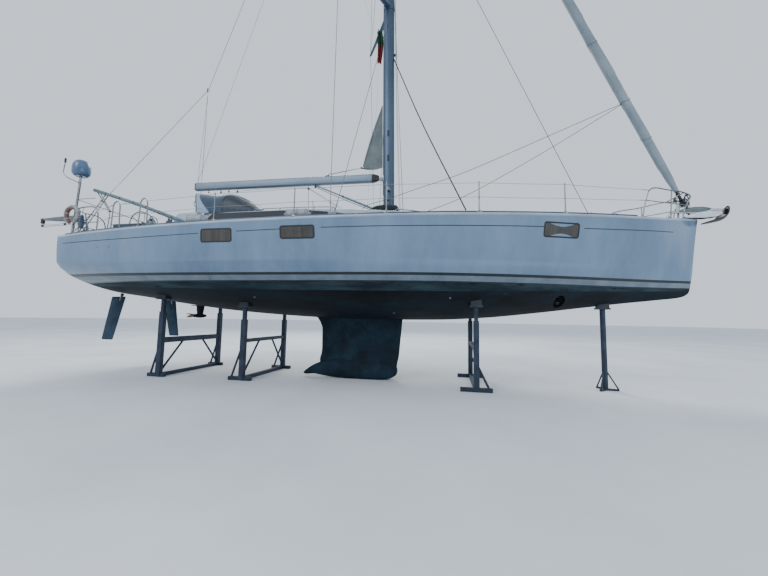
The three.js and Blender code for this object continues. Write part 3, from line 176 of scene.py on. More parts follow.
# Columns: name, tones, and what differs from the usual
PAINTS = [
    # White gelcoat given darker blue-grey tones than the equally white deck: painted shade on the topsides
    ("gelcoat", ["587089", "647c95", "70879f"], dict(rough=0.24, coat=0.5, scale=0.9, stretch=(1, 1, 0.25),
                                                     bump=0.0002, vary=0.08)),
    ("stripe_black", ["15181c", "1d2126"], dict(rough=0.35, scale=3)),
    ("stripe_grey", ["5c6a77", "677582", "72808c"], dict(rough=0.4, scale=3)),
    ("cove_line", ["23282e", "2c3238"], dict(rough=0.35)),
    ("antifouling", ["05080b", "0a1219", "0e1c25", "151f21"],
     dict(rough=0.8, scale=1.5, stretch=(0.5, 1, 1.6), grain=45, bump=0.003, spots=("25363f", 3.0, 0.36))),
    ("rudder_paint", ["1a2a39", "243646", "2f4354"], dict(rough=0.75, scale=2.2, grain=50, bump=0.001,
                                                          spots=("3a4a4e", 5.0, 0.33))),
    # Lighter antifouling for the rows just below the boot stripe: painted light near the waterline, with
    # darker patches in it
    ("antifouling_painted_light", ["141f26", "22323a", "30444a"],
     dict(rough=0.8, scale=2.4, stretch=(0.35, 1, 2.2), grain=45, bump=0.003, spots=("0a1218", 4.0, 0.42))),
    ("keel", ["08131b", "0d1f2b", "152d3a"], dict(rough=0.8, scale=2.2, grain=50, bump=0.002,
                                                  spots=("2a3836", 5.0, 0.33))),
    ("deck", ["8b98a5", "98a4b0", "a5b0ba"], dict(rough=0.42, scale=1.2, bump=0.0003, coat=0.15)),
    ("nonslip", ["a9afb3", "b5babd"], dict(rough=0.8, scale=1.4, grain=420, bump=0.0012)),
    ("teak", ["6f5a41", "8f7557", "a88c6b"], dict(rough=0.7, scale=1.0, planks=(0.055, False), bump=0.0015)),
    ("wood", ["5a3b22", "7a5230", "8e6640"], dict(rough=0.35, scale=3, stretch=(1, 8, 8), coat=0.3)),
    ("glass", ["040a14", "08121f"], dict(rough=0.35, scale=1.5, coat=0.05, bump=0.00005, vary=0.03)),
    ("tinted", ["2a2724", "38332e", "453f39"], dict(rough=0.2, scale=1.6, stretch=(9, 1, 0.6), coat=0.3,
                                                    bump=0.0001, vary=0.04)),
    ("aluminium", ["344457", "3f4f62", "4b5b6d"], dict(rough=0.42, metal=0.55, scale=1.2, stretch=(1, 1, 0.3),
                                                       grain=160, bump=0.0001)),
    ("boom_grey", ["5c6c7c", "687888", "758493"], dict(rough=0.42, metal=0.3, scale=2, stretch=(0.3, 1, 1))),
    ("steel", ["6f757b", "83888d"], dict(rough=0.2, metal=1.0, scale=6, grain=220, bump=0.00005, vary=0.07)),
    ("frame", ["101b2a", "18273a", "22344a"], dict(rough=0.6, metal=0.1, scale=5, grain=90, bump=0.0006,
                                                   spots=("4a3326", 9.0, 0.38))),
    # A white radome given the blue-grey it shows in shade: painted shade
    ("dome", ["35536f", "40607e", "4c6c8a"], dict(rough=0.35, scale=4, coat=0.3, bump=0.0002)),
    ("teak_across", ["6f5a41", "8f7557", "a88c6b"], dict(rough=0.7, scale=1.0, planks=(0.055, True),
                                                         bump=0.0015)),
    ("canvas_pale", ["7d93ab", "8a9fb6", "97abc0"], dict(rough=0.85, sheen=0.3, scale=2, weave=340,
                                                         bump=0.0004)),
    ("canvas_dark", ["2c3846", "374555"], dict(rough=0.9, sheen=0.2, scale=8, weave=420, bump=0.0003)),
    ("canvas", ["2d3b4a", "374757", "435466"], dict(rough=0.88, sheen=0.3, scale=2, weave=340, bump=0.0004)),
    ("boot", ["53666f", "5f727b", "6c7f88"], dict(rough=0.9, sheen=0.3, scale=5, weave=340, bump=0.0004)),
    ("dark_canvas", ["141d1c", "1d2827", "273230"], dict(rough=0.9, sheen=0.2, scale=4, weave=300,
                                                         bump=0.0004)),
    ("vinyl", ["121e2b", "1a2937"], dict(rough=0.5, scale=1.2, bump=0.0004, clear=0.03)),
    ("sail", ["66747d", "748189", "828e95"], dict(rough=0.7, scale=1.3, grain=60, bump=0.0012)),
    ("mainsail", ["565f62", "646d6f", "72797a"], dict(rough=0.8, scale=2, grain=60, bump=0.001)),
    ("fender", ["7d858c", "8b9299", "999fa5"], dict(rough=0.6, scale=5, bump=0.0006)),
    ("buoy_red", ["5e4238", "6d4d42"], dict(rough=0.6, scale=6)),
    ("buoy_pale", ["85868a", "949598"], dict(rough=0.7, scale=6, weave=260, bump=0.0004)),
    ("rubber", ["191c1f", "23272a"], dict(rough=0.6, scale=8, bump=0.0004)),
    ("black", ["101214", "1a1c1f"], dict(rough=0.45, scale=8)),
    ("rope_white", ["74787b", "85888a", "5f6366"], dict(rough=0.85, scale=60, grain=500, bump=0.001)),
    ("rope_dark", ["22282c", "343b40", "4a4f52"], dict(rough=0.85, scale=60, grain=500, bump=0.001)),
    ("galvanised", ["858b90", "9aa0a4", "abb0b3"], dict(rough=0.5, metal=0.7, scale=14, grain=60,
                                                        bump=0.0006)),
    ("bronze", ["6b5a3a", "85704a", "5c6b58"], dict(rough=0.4, metal=0.8, scale=14)),
    ("pale_green", ["a9c9b4", "bcd8c4"], dict(rough=0.5, scale=6)),
    ("cushion", ["1c2b36", "263846", "314553"], dict(rough=0.9, sheen=0.4, scale=5, weave=300, bump=0.0005)),
    ("flag_green", ["173d2b", "1f4a35"], dict(rough=0.85, weave=500, bump=0.0002)),
    ("flag_red", ["5e1a1c", "75262a"], dict(rough=0.85, weave=500, bump=0.0002)),
    ("floor", ["c9cfd4", "d2d7db", "dadee2"], dict(rough=0.85, scale=0.25, grain=30, bump=0.0008)),
]
MAT = {name: material(name, tones, **more) for name, tones, more in PAINTS}


# Shape helpers
def arr(points):
    return np.array([tuple(p) for p in points], float)


def unit(v):
    v = np.array(v, float)
    return v / max(1e-9, np.linalg.norm(v))


def turns(n, start=0.0):
    """Angles once round."""
    return np.linspace(start, start + math.tau, n, endpoint=False)


def quarter(k, n):
    """Angles of corner k of a rounded rectangle."""
    return np.linspace(0, math.pi / 2, n) + k * math.pi / 2


CORNERS = ((1, 1), (-1, 1), (-1, -1), (1, -1))


def collar(inner, outer, half):
    """Profile of a ring that is lathed."""
    return [(inner, -half), (outer, -half), (outer, half), (inner, half)]


def sheave(rim, waist, half):
    """Profile of a grooved wheel, or of a cheek where the waist is wider."""
    return [(0, -half), (rim, -half), (waist, 0), (rim, half), (0, half)]


def heading(path, k):
    """Way from the point before to the point after."""
    return path[min(k + 1, len(path) - 1)] - path[max(k - 1, 0)]


def smooth_path(points, per=8):
    """Centripetal curve through the points."""
    p = arr(points)
    if len(p) < 3:
        return p
    p = np.vstack([2 * p[0] - p[1], p, 2 * p[-1] - p[-2]])
    out = []
    for k in range(1, len(p) - 2):
        a, b, c, d = p[k - 1:k + 3]
        t = [0.0]
        for u, v in ((a, b), (b, c), (c, d)):
            t.append(t[-1] + max(1e-6, np.linalg.norm(v - u)) ** 0.5)
        for s in np.linspace(t[1], t[2], per, endpoint=False):
            a1 = (t[1] - s) / (t[1] - t[0]) * a + (s - t[0]) / (t[1] - t[0]) * b
            a2 = (t[2] - s) / (t[2] - t[1]) * b + (s - t[1]) / (t[2] - t[1]) * c
            a3 = (t[3] - s) / (t[3] - t[2]) * c + (s - t[2]) / (t[3] - t[2]) * d
            b1 = (t[2] - s) / (t[2] - t[0]) * a1 + (s - t[0]) / (t[2] - t[0]) * a2
            b2 = (t[3] - s) / (t[3] - t[1]) * a2 + (s - t[1]) / (t[3] - t[1]) * a3
            out.append((t[2] - s) / (t[2] - t[1]) * b1 + (s - t[1]) / (t[2] - t[1]) * b2)
    out.append(p[-2])
    return np.array(out)


class Shape:
    """Collects parts of one piece. Each part has the number of its material."""

    def __init__(self):
        self.v, self.f, self.m = [], [], []

    def add(self, verts, faces, mat=0):
        n = len(self.v)
        self.v += [tuple(p) for p in verts]
        self.f += [tuple(n + i for i in face) for face in faces]
        self.m += list(mat) if hasattr(mat, "__len__") else [mat] * len(faces)
        return self

    def loft(self, rings, mat=0, close=True, caps=True):
        rings = [arr(r) for r in rings]
        k = len(rings[0])
        faces, mats = [], []
        cols = k if close else k - 1
        for r in range(len(rings) - 1):
            for i in range(cols):
                j = (i + 1) % k
                faces.append((r * k + i, r * k + j, (r + 1) * k + j, (r + 1) * k + i))
                mats.append(mat(r, i) if callable(mat) else mat[i] if hasattr(mat, "__len__") else mat)
        if caps and close:
            one = mat(0, 0) if callable(mat) else mat[0] if hasattr(mat, "__len__") else mat
            faces += [tuple(range(k))[::-1], tuple((len(rings) - 1) * k + i for i in range(k))]
            mats += [one, one]
        return self.add(np.vstack(rings), faces, mats)

    def tube(self, points, radius, mat=0, sides=8, per=0, closed=False, flat=1.0, caps=True):
        p = smooth_path(points, per) if per else arr(points)
        n = len(p)
        r = np.broadcast_to(np.array(radius, float), (n,)) if not hasattr(radius, "__len__") else np.interp(
            np.linspace(0, 1, n), np.linspace(0, 1, len(radius)), radius)
        if closed:
            along = [unit(p[(i + 1) % n] - p[i - 1]) for i in range(n)]
        else:
            along = [unit(heading(p, i)) for i in range(n)]
        side = unit(np.cross(along[0], (0, 0, 1) if abs(along[0][2]) < 0.9 else (1, 0, 0)))
        rings = []
        for i in range(n):
            side = unit(side - along[i] * np.dot(side, along[i]))
            other = np.cross(along[i], side)
            rings.append([p[i] + r[i] * (math.cos(a) * side + flat * math.sin(a) * other)
                          for a in turns(sides)])
        if closed:
            rings.append(rings[0])
        return self.loft(rings, mat, caps=caps and not closed)

    def lathe(self, profile, at, axis=(0, 0, 1), mat=0, sides=20):
        z = unit(axis)
        x = unit(np.cross(z, (0, 0, 1) if abs(z[2]) < 0.9 else (1, 0, 0)))
        y = np.cross(z, x)
        at = np.array(at, float)
        rings = [[at + z * h + max(r, 0.0004) * (math.cos(a) * x + math.sin(a) * y)
                  for a in turns(sides)] for r, h in profile]
        return self.loft(rings, mat)

    def box(self, lo, hi, r=0.01, mat=0, turn=None, steps=3, corner=None):
        """Block with rounded edges; corner is the radius in plan, turn a matrix for its placing."""
        lo, hi = np.minimum(lo, hi).astype(float), np.maximum(lo, hi).astype(float)
        r = min(r, 0.499 * float((hi - lo).min()))
        c = max(corner or r, r)
        c = min(c, 0.499 * float((hi - lo)[:2].min()))
        rings = []
        angles = np.linspace(0, math.pi / 2, steps + 1)
        levels = [(r * (1 - math.sin(a)), lo[2] + r * (1 - math.cos(a))) for a in angles]
        levels += [(r * (1 - math.sin(a)), hi[2] - r * (1 - math.cos(a))) for a in angles[::-1]]
        for inset, z in levels:
            ring = []
            for k, (sx, sy) in enumerate(CORNERS):
                corner_at = [hi[0] if sx > 0 else lo[0], hi[1] if sy > 0 else lo[1]]
                centre = np.array(corner_at) - c * np.array([sx, sy])
                for a in quarter(k, steps + 1):
                    ring.append((*(centre + max(c - inset, 1e-4) * np.array([math.cos(a), math.sin(a)])), z))
            rings.append(ring)
        if turn is not None:
            rings = [[turn @ Vector(p) for p in ring] for ring in rings]
        return self.loft(rings, mat)

    def out(self, name, body="boat", mats=("gelcoat",), slot=None, replaces=(), angle=38, weld=1e-5):
        me = bpy.data.meshes.new(name)
        me.from_pydata(self.v, [], self.f)
        for m in mats:
            me.materials.append(MAT[m])
        me.polygons.foreach_set("material_index", self.m)
        bm = bmesh.new()
        bm.from_mesh(me)
        bmesh.ops.remove_doubles(bm, verts=bm.verts, dist=weld)
        bmesh.ops.recalc_face_normals(bm, faces=bm.faces)
        bm.to_mesh(me)
        bm.free()
        finish_mesh(me, angle)
        ob = put(name, me)
        if body:
            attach(ob, body)
            if replaces:
                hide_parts(*replaces)
        return ob


def finish_mesh(me, angle):
    me.polygons.foreach_set("use_smooth", [True] * len(me.polygons))
    me.set_sharp_from_angle(angle=math.radians(angle))
    me.update()


def apply_modifiers(ob):
    deps = bpy.context.evaluated_depsgraph_get()
    me = bpy.data.meshes.new_from_object(ob.evaluated_get(deps))
    old, ob.data = ob.data, me
    ob.modifiers.clear()
    bpy.data.meshes.remove(old)
    return ob


def subdivide(ob, levels):
    smooth = ob.modifiers.new("smooth", "SUBSURF")
    smooth.levels = smooth.render_levels = levels
    apply_modifiers(ob)


def boolean(ob, other, how="DIFFERENCE"):
    mod = ob.modifiers.new("cut", "BOOLEAN")
    mod.operation, mod.object, mod.solver = how, other, "EXACT"
    mod.material_mode = "TRANSFER"
    bpy.context.view_layer.update()
    apply_modifiers(ob)
    bpy.data.objects.remove(other)
    return ob


# Floor and light
def make_stage():
    floor = Shape()
    xs = np.linspace(-140, 140, 29)
    floor.loft([[(x, y, -0.002) for y in np.linspace(-60, 220, 29)] for x in xs], close=False)
    ob = floor.out("floor", body=None, mats=("floor",))
    world = bpy.data.worlds.new("studio")
    bpy.context.scene.world = world
    world.use_nodes = True
    ground = world.node_tree.nodes["Background"]
    ground.inputs["Color"].default_value = (0.80, 0.89, 1.0, 1)
    ground.inputs["Strength"].default_value = 1.08
    # Columns: name, place, aimed at, size, power, colour
    for name, at, aim, size, power, tint in (
            ("key", (-13, -22, 20), (0, 0, 4), 14, 3300, (0.97, 0.98, 1)),
            ("fill", (16, -16, 7), (2, 0, 3), 12, 1100, (0.88, 0.94, 1)),
            ("back", (-6, 20, 22), (0, 0, 5), 12, 5000, (1, 0.98, 0.95))):
        data = bpy.data.lights.new(name, "AREA")
        data.shape, data.size, data.energy, data.color = "DISK", size, power, tint
        lamp = put(name, data)
        lamp.location = at
        lamp.rotation_euler = (Vector(aim) - Vector(at)).to_track_quat("-Z", "Y").to_euler()


# Hull form. Columns: x, deck half-breadth, sheer, chine half-breadth, chine height, lowest height, fullness
STATIONS = np.array([
    [-7150, 2290, 3430, 2260, 2780, 2150, 1700], [-6500, 2320, 3480, 2290, 2775, 2070, 1700],
    [-5500, 2350, 3540, 2310, 2770, 1930, 1700], [-4000, 2375, 3600, 2310, 2770, 1750, 1650],
    [-2500, 2380, 3635, 2270, 2770, 1635, 1600], [-1000, 2380, 3650, 2210, 2770, 1565, 1600],
    [500, 2355, 3655, 2120, 2770, 1540, 1600], [1800, 2260, 3665, 1960, 2770, 1555, 1600],
    [3000, 2070, 3680, 1710, 2770, 1620, 1550], [4200, 1770, 3710, 1370, 2775, 1750, 1500],
    [5300, 1380, 3755, 990, 2785, 1895, 1400], [6200, 960, 3810, 640, 2800, 2010, 1300],
    [6900, 570, 3870, 350, 2820, 2090, 1250], [7350, 300, 3920, 165, 2850, 2150, 1200],
    [7540, 170, 3945, 85, 2900, 2250, 1200], [7620, 110, 3955, 60, 3000, 2560, 1200],
    [7710, 70, 3965, 45, 3450, 3200, 1200], [7800, 35, 3980, 30, 3940, 3900, 1200]]) / 1000
STERN, STEM = -7.15, 7.8
JOINT = 0.05                    # depth of the deck moulding's edge below the sheer
BANDS = (2.525, 2.470, 2.365, 2.345)    # black, pale grey, thin black line, antifouling below


def curve(xs, ys):
    """Smooth curve through a table without overshoot."""
    xs, ys = np.array(xs, float), np.array(ys, float)
    h, d = np.diff(xs), np.diff(ys) / np.diff(xs)
    slope = np.r_[d[0], np.zeros(len(xs) - 2), d[-1]]
    for i in range(1, len(xs) - 1):
        if d[i - 1] * d[i] > 0:
            a, b = 2 * h[i] + h[i - 1], h[i] + 2 * h[i - 1]
            slope[i] = (a + b) / (a / d[i - 1] + b / d[i])

    def at(x):
        i = int(np.clip(np.searchsorted(xs, x) - 1, 0, len(h) - 1))
        t = (x - xs[i]) / h[i]
        return float((2 * t**3 - 3 * t * t + 1) * ys[i] + (t**3 - 2 * t * t + t) * h[i] * slope[i]
                     + (3 * t * t - 2 * t**3) * ys[i + 1] + (t**3 - t * t) * h[i] * slope[i + 1])
    return at


HALF, SHEER, CHINE, CHINE_Z, LOW, FULL = (curve(STATIONS[:, 0], STATIONS[:, k]) for k in range(1, 7))
COVE = curve([-6.97, -5.27, -3.27, -2.38, -1.41, -0.49, 2.0, 3.99, 4.86, 7.07],
             [3.232, 3.292, 3.358, 3.381, 3.399, 3.412, 3.421, 3.450, 3.464, 3.580])
SOFT = 0.25     # share of the bottom's depth that runs straight below the chine, aft


def skin(x, z):
    """Half-breadth of the hull's surface at a height."""
    ch, cz, low, full = CHINE(x), CHINE_Z(x), LOW(x), FULL(x)
    if z >= cz:
        t = (z - cz) / (SHEER(x) - cz)
        return ch + (HALF(x) - ch) * t + 0.014 * HALF(x) / 2.38 * 4 * t * (1 - t)
    t = min(1.0, (cz - z) / (cz - low))
    y = ch * max(0.0, 1 - t**full) ** (1 / full)
    if t < SOFT:
        knee = ch * (1 - SOFT**full) ** (1 / full)
        knuckle = 1 - min(1, max(0, (x + 1.5) / 3.5))
        y += knuckle * (ch + (knee - ch) * t / SOFT - y)
    return y


def deck_z(x, y):
    half = HALF(x)
    return SHEER(x) + 0.08 * half / 2.38 * (1 - min(1, abs(y) / half) ** 2)


def box_cutter(x0, x1, y0, y1, z0, z1, mat="deck", r=0.0, corner=None):
    s = Shape()
    if r or corner:
        s.box((x0, y0, z0), (x1, y1, z1), max(r, 0.004), corner=corner)
    else:
        s.loft([[(x0, y0, z), (x1, y0, z), (x1, y1, z), (x0, y1, z)] for z in (z0, z1)])
    return s.out("cutter", body=None, mats=(mat,))


# Coachroof. Columns: x, half-width at the deck, half-width of the top, top height
ROOF = np.array([[-4000, 1560, 1260, 4190], [-1500, 1560, 1230, 4200], [600, 1420, 1050, 4150],
                 [1900, 1180, 800, 4030], [2900, 900, 520, 3870], [3500, 700, 350, 3745]]) / 1000
ROOF_BASE, ROOF_TOP, ROOF_Z = (curve(ROOF[:, 0], ROOF[:, k]) for k in (1, 2, 3))
CROWN = 0.06


def roof_ring(x, shrink=0.0):
    base, top, high = ROOF_BASE(x) - shrink, ROOF_TOP(x) - shrink, ROOF_Z(x) - shrink
    low = SHEER(x) - 0.02
    slope = unit((top - base, high - low))
    edge = 0.045 * min(1, (high - low) / 0.5)
    half = [(base + 0.012, low), (base, low + 0.03)]
    a = np.array([top, high]) - slope * edge
    b = np.array([top - edge, high + CROWN * (1 - ((top - edge) / top) ** 2)])
    corner = np.array([top, high])
    half.append(tuple(a + (np.array(half[1]) - a) * 0.5))
    for t in np.linspace(0, 1, 6):
        half.append(tuple((1 - t) ** 2 * a + 2 * t * (1 - t) * corner + t * t * b))
    for k in (0.75, 0.5, 0.25):
        y = (top - edge) * k
        half.append((y, high + CROWN * (1 - (y / top) ** 2)))
    ring = [(x, -y, z) for y, z in half] + [(x, 0, high + CROWN)] + [(x, y, z) for y, z in half[::-1]]
    return ring


def roof_side(x, z, lift=0.0):
    """Place on the coachroof's sloping side."""
    base, top, high, low = ROOF_BASE(x), ROOF_TOP(x), ROOF_Z(x), SHEER(x) - 0.02
    t = (z - low - 0.03) / (high - low)
    return base + (top - base) * t + lift


def roof_top(x, y):
    return ROOF_Z(x) + CROWN * (1 - min(1, abs(y) / ROOF_TOP(x)) ** 2)


COAMING = curve([-5.5, -5.15, -4.64, -4.51, -3.99], [3.70, 3.77, 3.89, 4.11, 4.13])
WELL_FLOOR = 3.0        # cockpit sole
# Columns: node, aft edge, fore edge, half width, depth
HATCHES = (("foredeck_hatch", 3.95, 4.5, 0.29, 0.32), ("anchor_locker_lid", 6.25, 6.85, 0.23, 0.62))


def hatch_top(aft, fore):
    return max(deck_cad(aft), deck_cad(fore)) + 0.022


def deck_cad(x):
    row = [np.interp(x, STATIONS[:, 0], STATIONS[:, k]) for k in (1, 2)]
    return row[1] + 0.08 * row[0] / 2.38


def hull_cutters():
    """Fresh cutters for the openings, in the order that they are used."""
    yield box_cutter(-7.6, -7.0643, -1.15, 1.15, 2.6853, 3.9, "deck")
    yield box_cutter(-5.5, -4.05, -0.62, 0.62, WELL_FLOOR, 5, "deck")
    yield box_cutter(-6.75, -5.499, -1.72, 1.72, WELL_FLOOR, 5, "deck")
    yield box_cutter(-4.06, -3.79, -0.33, 0.33, 3.25, 5, "deck")
    yield box_cutter(-4.05, -3.42, -0.33, 0.33, 4.05, 5, "deck")
    s = Shape()
    rings = []
    for x in (-3.85, -1.5, 0.6, 1.7):
        inner, ceiling = ROOF_TOP(x) - 0.06, ROOF_Z(x) - 0.05
        wall = min(1.3, inner + 0.09)
        rings.append([(x, -wall, 2.2), (x, -wall, 3.58), (x, -inner, ceiling), (x, 0, ceiling + CROWN),
                      (x, inner, ceiling), (x, wall, 3.58), (x, wall, 2.2)])
    s.loft(rings, 1)
    yield s.out("cutter", body=None, mats=("wood", "deck"))
    yield box_cutter(-4.95, -3.84, -0.42, 0.42, 2.2, 2.88, "deck")
    for _, aft, fore, half, depth in HATCHES:
        top = hatch_top(aft, fore)
        yield box_cutter(aft, fore, -half, half, top - depth, top + 0.1, "deck", corner=0.05)


def hull_ring(x, inset=0.0):
    """Rows on the starboard side from the deck joint to the keel line, with their materials."""
    cz, low, full = CHINE_Z(x), LOW(x), FULL(x)
    top = SHEER(x) - JOINT
    cove = COVE(x) if x < 7.07 else 3.58 + (x - 7.07) * 0.14
    cove = min(cove, top - 0.05)
    zs = [top, cove + 0.009, cove - 0.009, cove - 0.1, 0.5 * (cove + cz), cz + 0.04, cz]
    zs += [cz - 0.03, cz - 0.12, *BANDS]
    zs = [max(z, low) for z in zs]
    rows = [(skin(x, z), z) for z in zs]
    start = math.pi / 2
    if zs[-1] > low:
        start = math.asin(min(1.0, max(0.0, (cz - zs[-1]) / (cz - low)) ** (full / 2)))
    for angle in np.linspace(start, math.pi / 2, 15)[1:]:
        z = cz - (cz - low) * math.sin(angle) ** (2 / full)
        rows.append((skin(x, z) if z > low + 1e-6 else 0.0, z))
    if inset:
        rows = [(max(0, y - inset), z if z > cz else z + inset * (cz - z) / (cz - low)) for y, z in rows]
    return rows


def cove_shows(x):
    """The cove line stops short of both ends and at the windows."""
    return -6.97 < x < 7.07 and not any(a < x < b for a, b in ((-3.27, -2.38), (-1.41, -0.49), (3.99, 4.86)))


HULL_MATS = ("gelcoat", "cove_line", "stripe_black", "stripe_grey", "antifouling", "deck", "wood",
             "antifouling_painted_light")
# The two rows below the boot stripe take the lighter antifouling, which is painted light near the waterline
HULL_ROWS = [0, 1, 0, 0, 0, 0, 0, 0, 0, 2, 3, 2] + [7, 7] + [4] * 12


def build_hull():
    xs = list(np.linspace(STERN, 7.0, 142)) + list(np.linspace(7.0, STEM, 34)[1:])
    s = Shape()
    rings = []
    edge = [(STERN, 0.022), (STERN + 0.006, 0.010), (STERN + 0.022, 0.0)]
    for x, inset in edge + [(x, 0.0) for x in xs if x > STERN + 0.05]:
        rows = hull_ring(x, inset)
        ring = [(x, -y, z) for y, z in rows] + [(x, y, z) for y, z in rows[-2::-1]]
        rings.append(ring)
    n = len(rings[0])
    mats = HULL_ROWS + HULL_ROWS[::-1] + [5]
    s.loft(rings, lambda r, i: 0 if mats[i] == 1 and not cove_shows(rings[r][0][0]) else mats[i], caps=False)
    s.add(rings[0], [tuple(range(n))[::-1]], 0)
    s.add(rings[-1], [tuple(range(n))], 0)
    ob = s.out("hull_shell", body=None, mats=HULL_MATS, angle=30, weld=2e-4)
    bm = bmesh.new()
    bm.from_mesh(ob.data)
    bmesh.ops.dissolve_degenerate(bm, dist=1e-4, edges=bm.edges)
    bmesh.ops.recalc_face_normals(bm, faces=bm.faces)
    bm.to_mesh(ob.data)
    bm.free()
    for cutter in hull_cutters():
        boolean(ob, cutter)
    tunnel = Shape().lathe([(0.125, -2.2), (0.125, 2.2)], (4.64, 0, 2.01), (0, 1, 0), 0, 40).out(
        "cutter", body=None, mats=("black",))
    boolean(ob, tunnel)
    finish_mesh(ob.data, 30)
    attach(ob, "boat")
    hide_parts("hull")
    return ob


def build_deck():
    xs = [STERN, STERN + 0.012] + [x for x in np.linspace(STERN, STEM, 150) if x > STERN + 0.03]
    rings = []
    for x in xs:
        half, sheer = HALF(x), SHEER(x)
        inset = 0.012 if x == STERN else 0.0
        low = skin(x, sheer - JOINT) - inset
        half -= inset
        edge = [(low, sheer - JOINT), (half + 0.002, sheer - 0.03), (half, sheer - 0.012),
                (half - 0.004, sheer - 0.004), (half - 0.012, sheer)]
        inner = [(half - 0.012) * k for k in (0.93, 0.86, 0.75, 0.62, 0.5, 0.36, 0.24, 0.12)]
        rows = edge + [(y, deck_z(x, y)) for y in inner]
        ring = [(x, -y, z) for y, z in rows] + [(x, 0, deck_z(x, 0))] + [(x, y, z) for y, z in rows[::-1]]
        rings.append(ring)
    s = Shape().loft(rings, 0)
    ob = s.out("deck", body=None, mats=("deck", "gelcoat"), angle=30, weld=1e-4)
    roof = Shape().loft([roof_ring(x) for x in np.linspace(-4.0, 3.5, 70)])
    roof = roof.out("cutter", body=None, mats=("deck",))
    boolean(ob, roof, "UNION")
    for _, sign in SIDES:
        c = Shape()
        rings = []
        for x in np.linspace(-5.52, -3.96, 60):
            t = min(1, (x + 5.52) / 0.25)
            high = COAMING(max(x, -5.5))
            if x < -5.27:       # rises from the deck in a quarter wave
                high = 3.58 + (high - 3.58) * math.sin(t * math.pi / 2)
            r = min(0.06, 0.4 * (high - 3.56))
            ring = [(x, sign * 1.338, 3.56), (x, sign * 1.366, high - r)]
            for a in np.linspace(0, math.pi / 2, 5):
                ring.append((x, sign * (1.37 + r * (1 - math.cos(a))), high - r + r * math.sin(a)))
            for a in np.linspace(math.pi / 2, 0, 5):
                ring.append((x, sign * (1.57 - r * (1 - math.cos(a))), high - r + r * math.sin(a)))
            ring += [(x, sign * 1.575, high - r), (x, sign * 1.658, 3.56)]
            rings.append(ring)
        c.loft(rings)
        boolean(ob, c.out("cutter", body=None, mats=("deck",)), "UNION")
    for _, aft, fore, half, _ in HATCHES:
        rim = box_cutter(aft - 0.055, fore + 0.055, -half - 0.055, half + 0.055, deck_cad(aft) - 0.02,
                         hatch_top(aft, fore), "deck", r=0.006, corner=0.07)
        boolean(ob, rim, "UNION")
    for cutter in hull_cutters():
        boolean(ob, cutter)
    for _, aft, fore, half, _ in HATCHES:
        top = hatch_top(aft, fore)
        boolean(ob, box_cutter(fore - 0.06, fore + 0.056, -half - 0.056, half + 0.056, top + 0.0001,
                               top + 0.013))
    finish_mesh(ob.data, 32)
    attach(ob, "boat")
    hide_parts("deck_moulding")
    return ob


# Under water
FOIL = curve([0, 0.12, 0.245, 0.5, 0.67, 0.866, 1], [0, 0.27, 0.5, 0.95, 1, 0.6, 0.045])


def foil_ring(x0, x1, at, thick, tilt=0.0, n=18):
    ts = [0.5 - 0.5 * math.cos(math.pi * k / n) for k in range(n + 1)]
    half = [(x1 - t * (x1 - x0), 0.5 * thick * FOIL(math.sqrt(t))) for t in ts]
    ring = half + [(x, -w) for x, w in half[-1:0:-1]]
    return [(x, at[0] + w * math.cos(tilt), at[1] + w * math.sin(tilt)) for x, w in ring]


def build_keel():
    # Columns: height, leading edge, trailing edge, thickness
    fin = [(1.66, 1.03, -1.46, 0.34), (1.60, 1.01, -1.37, 0.30), (1.56, 1.0, -1.32, 0.28),
           (1.45, 0.99, -1.24, 0.26), (1.3, 0.98, -1.18, 0.24), (1.0, 0.95, -1.175, 0.228),
           (0.75, 0.93, -1.17, 0.218), (0.66, 0.92, -1.175, 0.235), (0.58, 0.91, -1.19, 0.28),
           (0.52, 0.90, -1.21, 0.35), (0.45, 0.88, -1.22, 0.40), (0.28, 0.86, -1.2, 0.40)]
    s = Shape().loft([foil_ring(tr, le, (0, z), th) for z, le, tr, th in fin])
    # Columns: x, half-width, centre height, half-height
    table = np.array([(-1.67, 0.012, 0.09, 0.018), (-1.62, 0.04, 0.105, 0.05), (-1.35, 0.11, 0.20, 0.13),
                      (-0.9, 0.19, 0.25, 0.235), (-0.3, 0.255, 0.26, 0.275), (0.3, 0.265, 0.26, 0.275),
                      (0.65, 0.225, 0.255, 0.235), (0.82, 0.13, 0.245, 0.145), (0.87, 0.06, 0.24, 0.075),
                      (0.885, 0.012, 0.24, 0.015)])
    wide, mid, high = (curve(table[:, 0], table[:, k]) for k in (1, 2, 3))
    rings = []
    for x in np.r_[np.linspace(-1.67, 0.6, 44), np.linspace(0.63, 0.885, 16)]:
        ring = []
        for a in turns(36):
            c, d = math.cos(a), math.sin(a)
            ring.append((x, wide(x) * np.sign(c) * abs(c) ** 0.9,
                         max(0.0005, mid(x) + high(x) * np.sign(d) * abs(d) ** 0.9)))
        rings.append(ring)
    s.loft(rings)
    s.out("fin_keel", mats=("keel",), slot="keel", replaces=("keel",), angle=60)


# The ends of the stock are y and z; the blade reaches ahead of it and behind it
RUDDER = dict(x=-6.69, top=(0.88, 2.1), bottom=(1.15, 0.89), ahead=0.14, behind=0.31, thick=0.062)


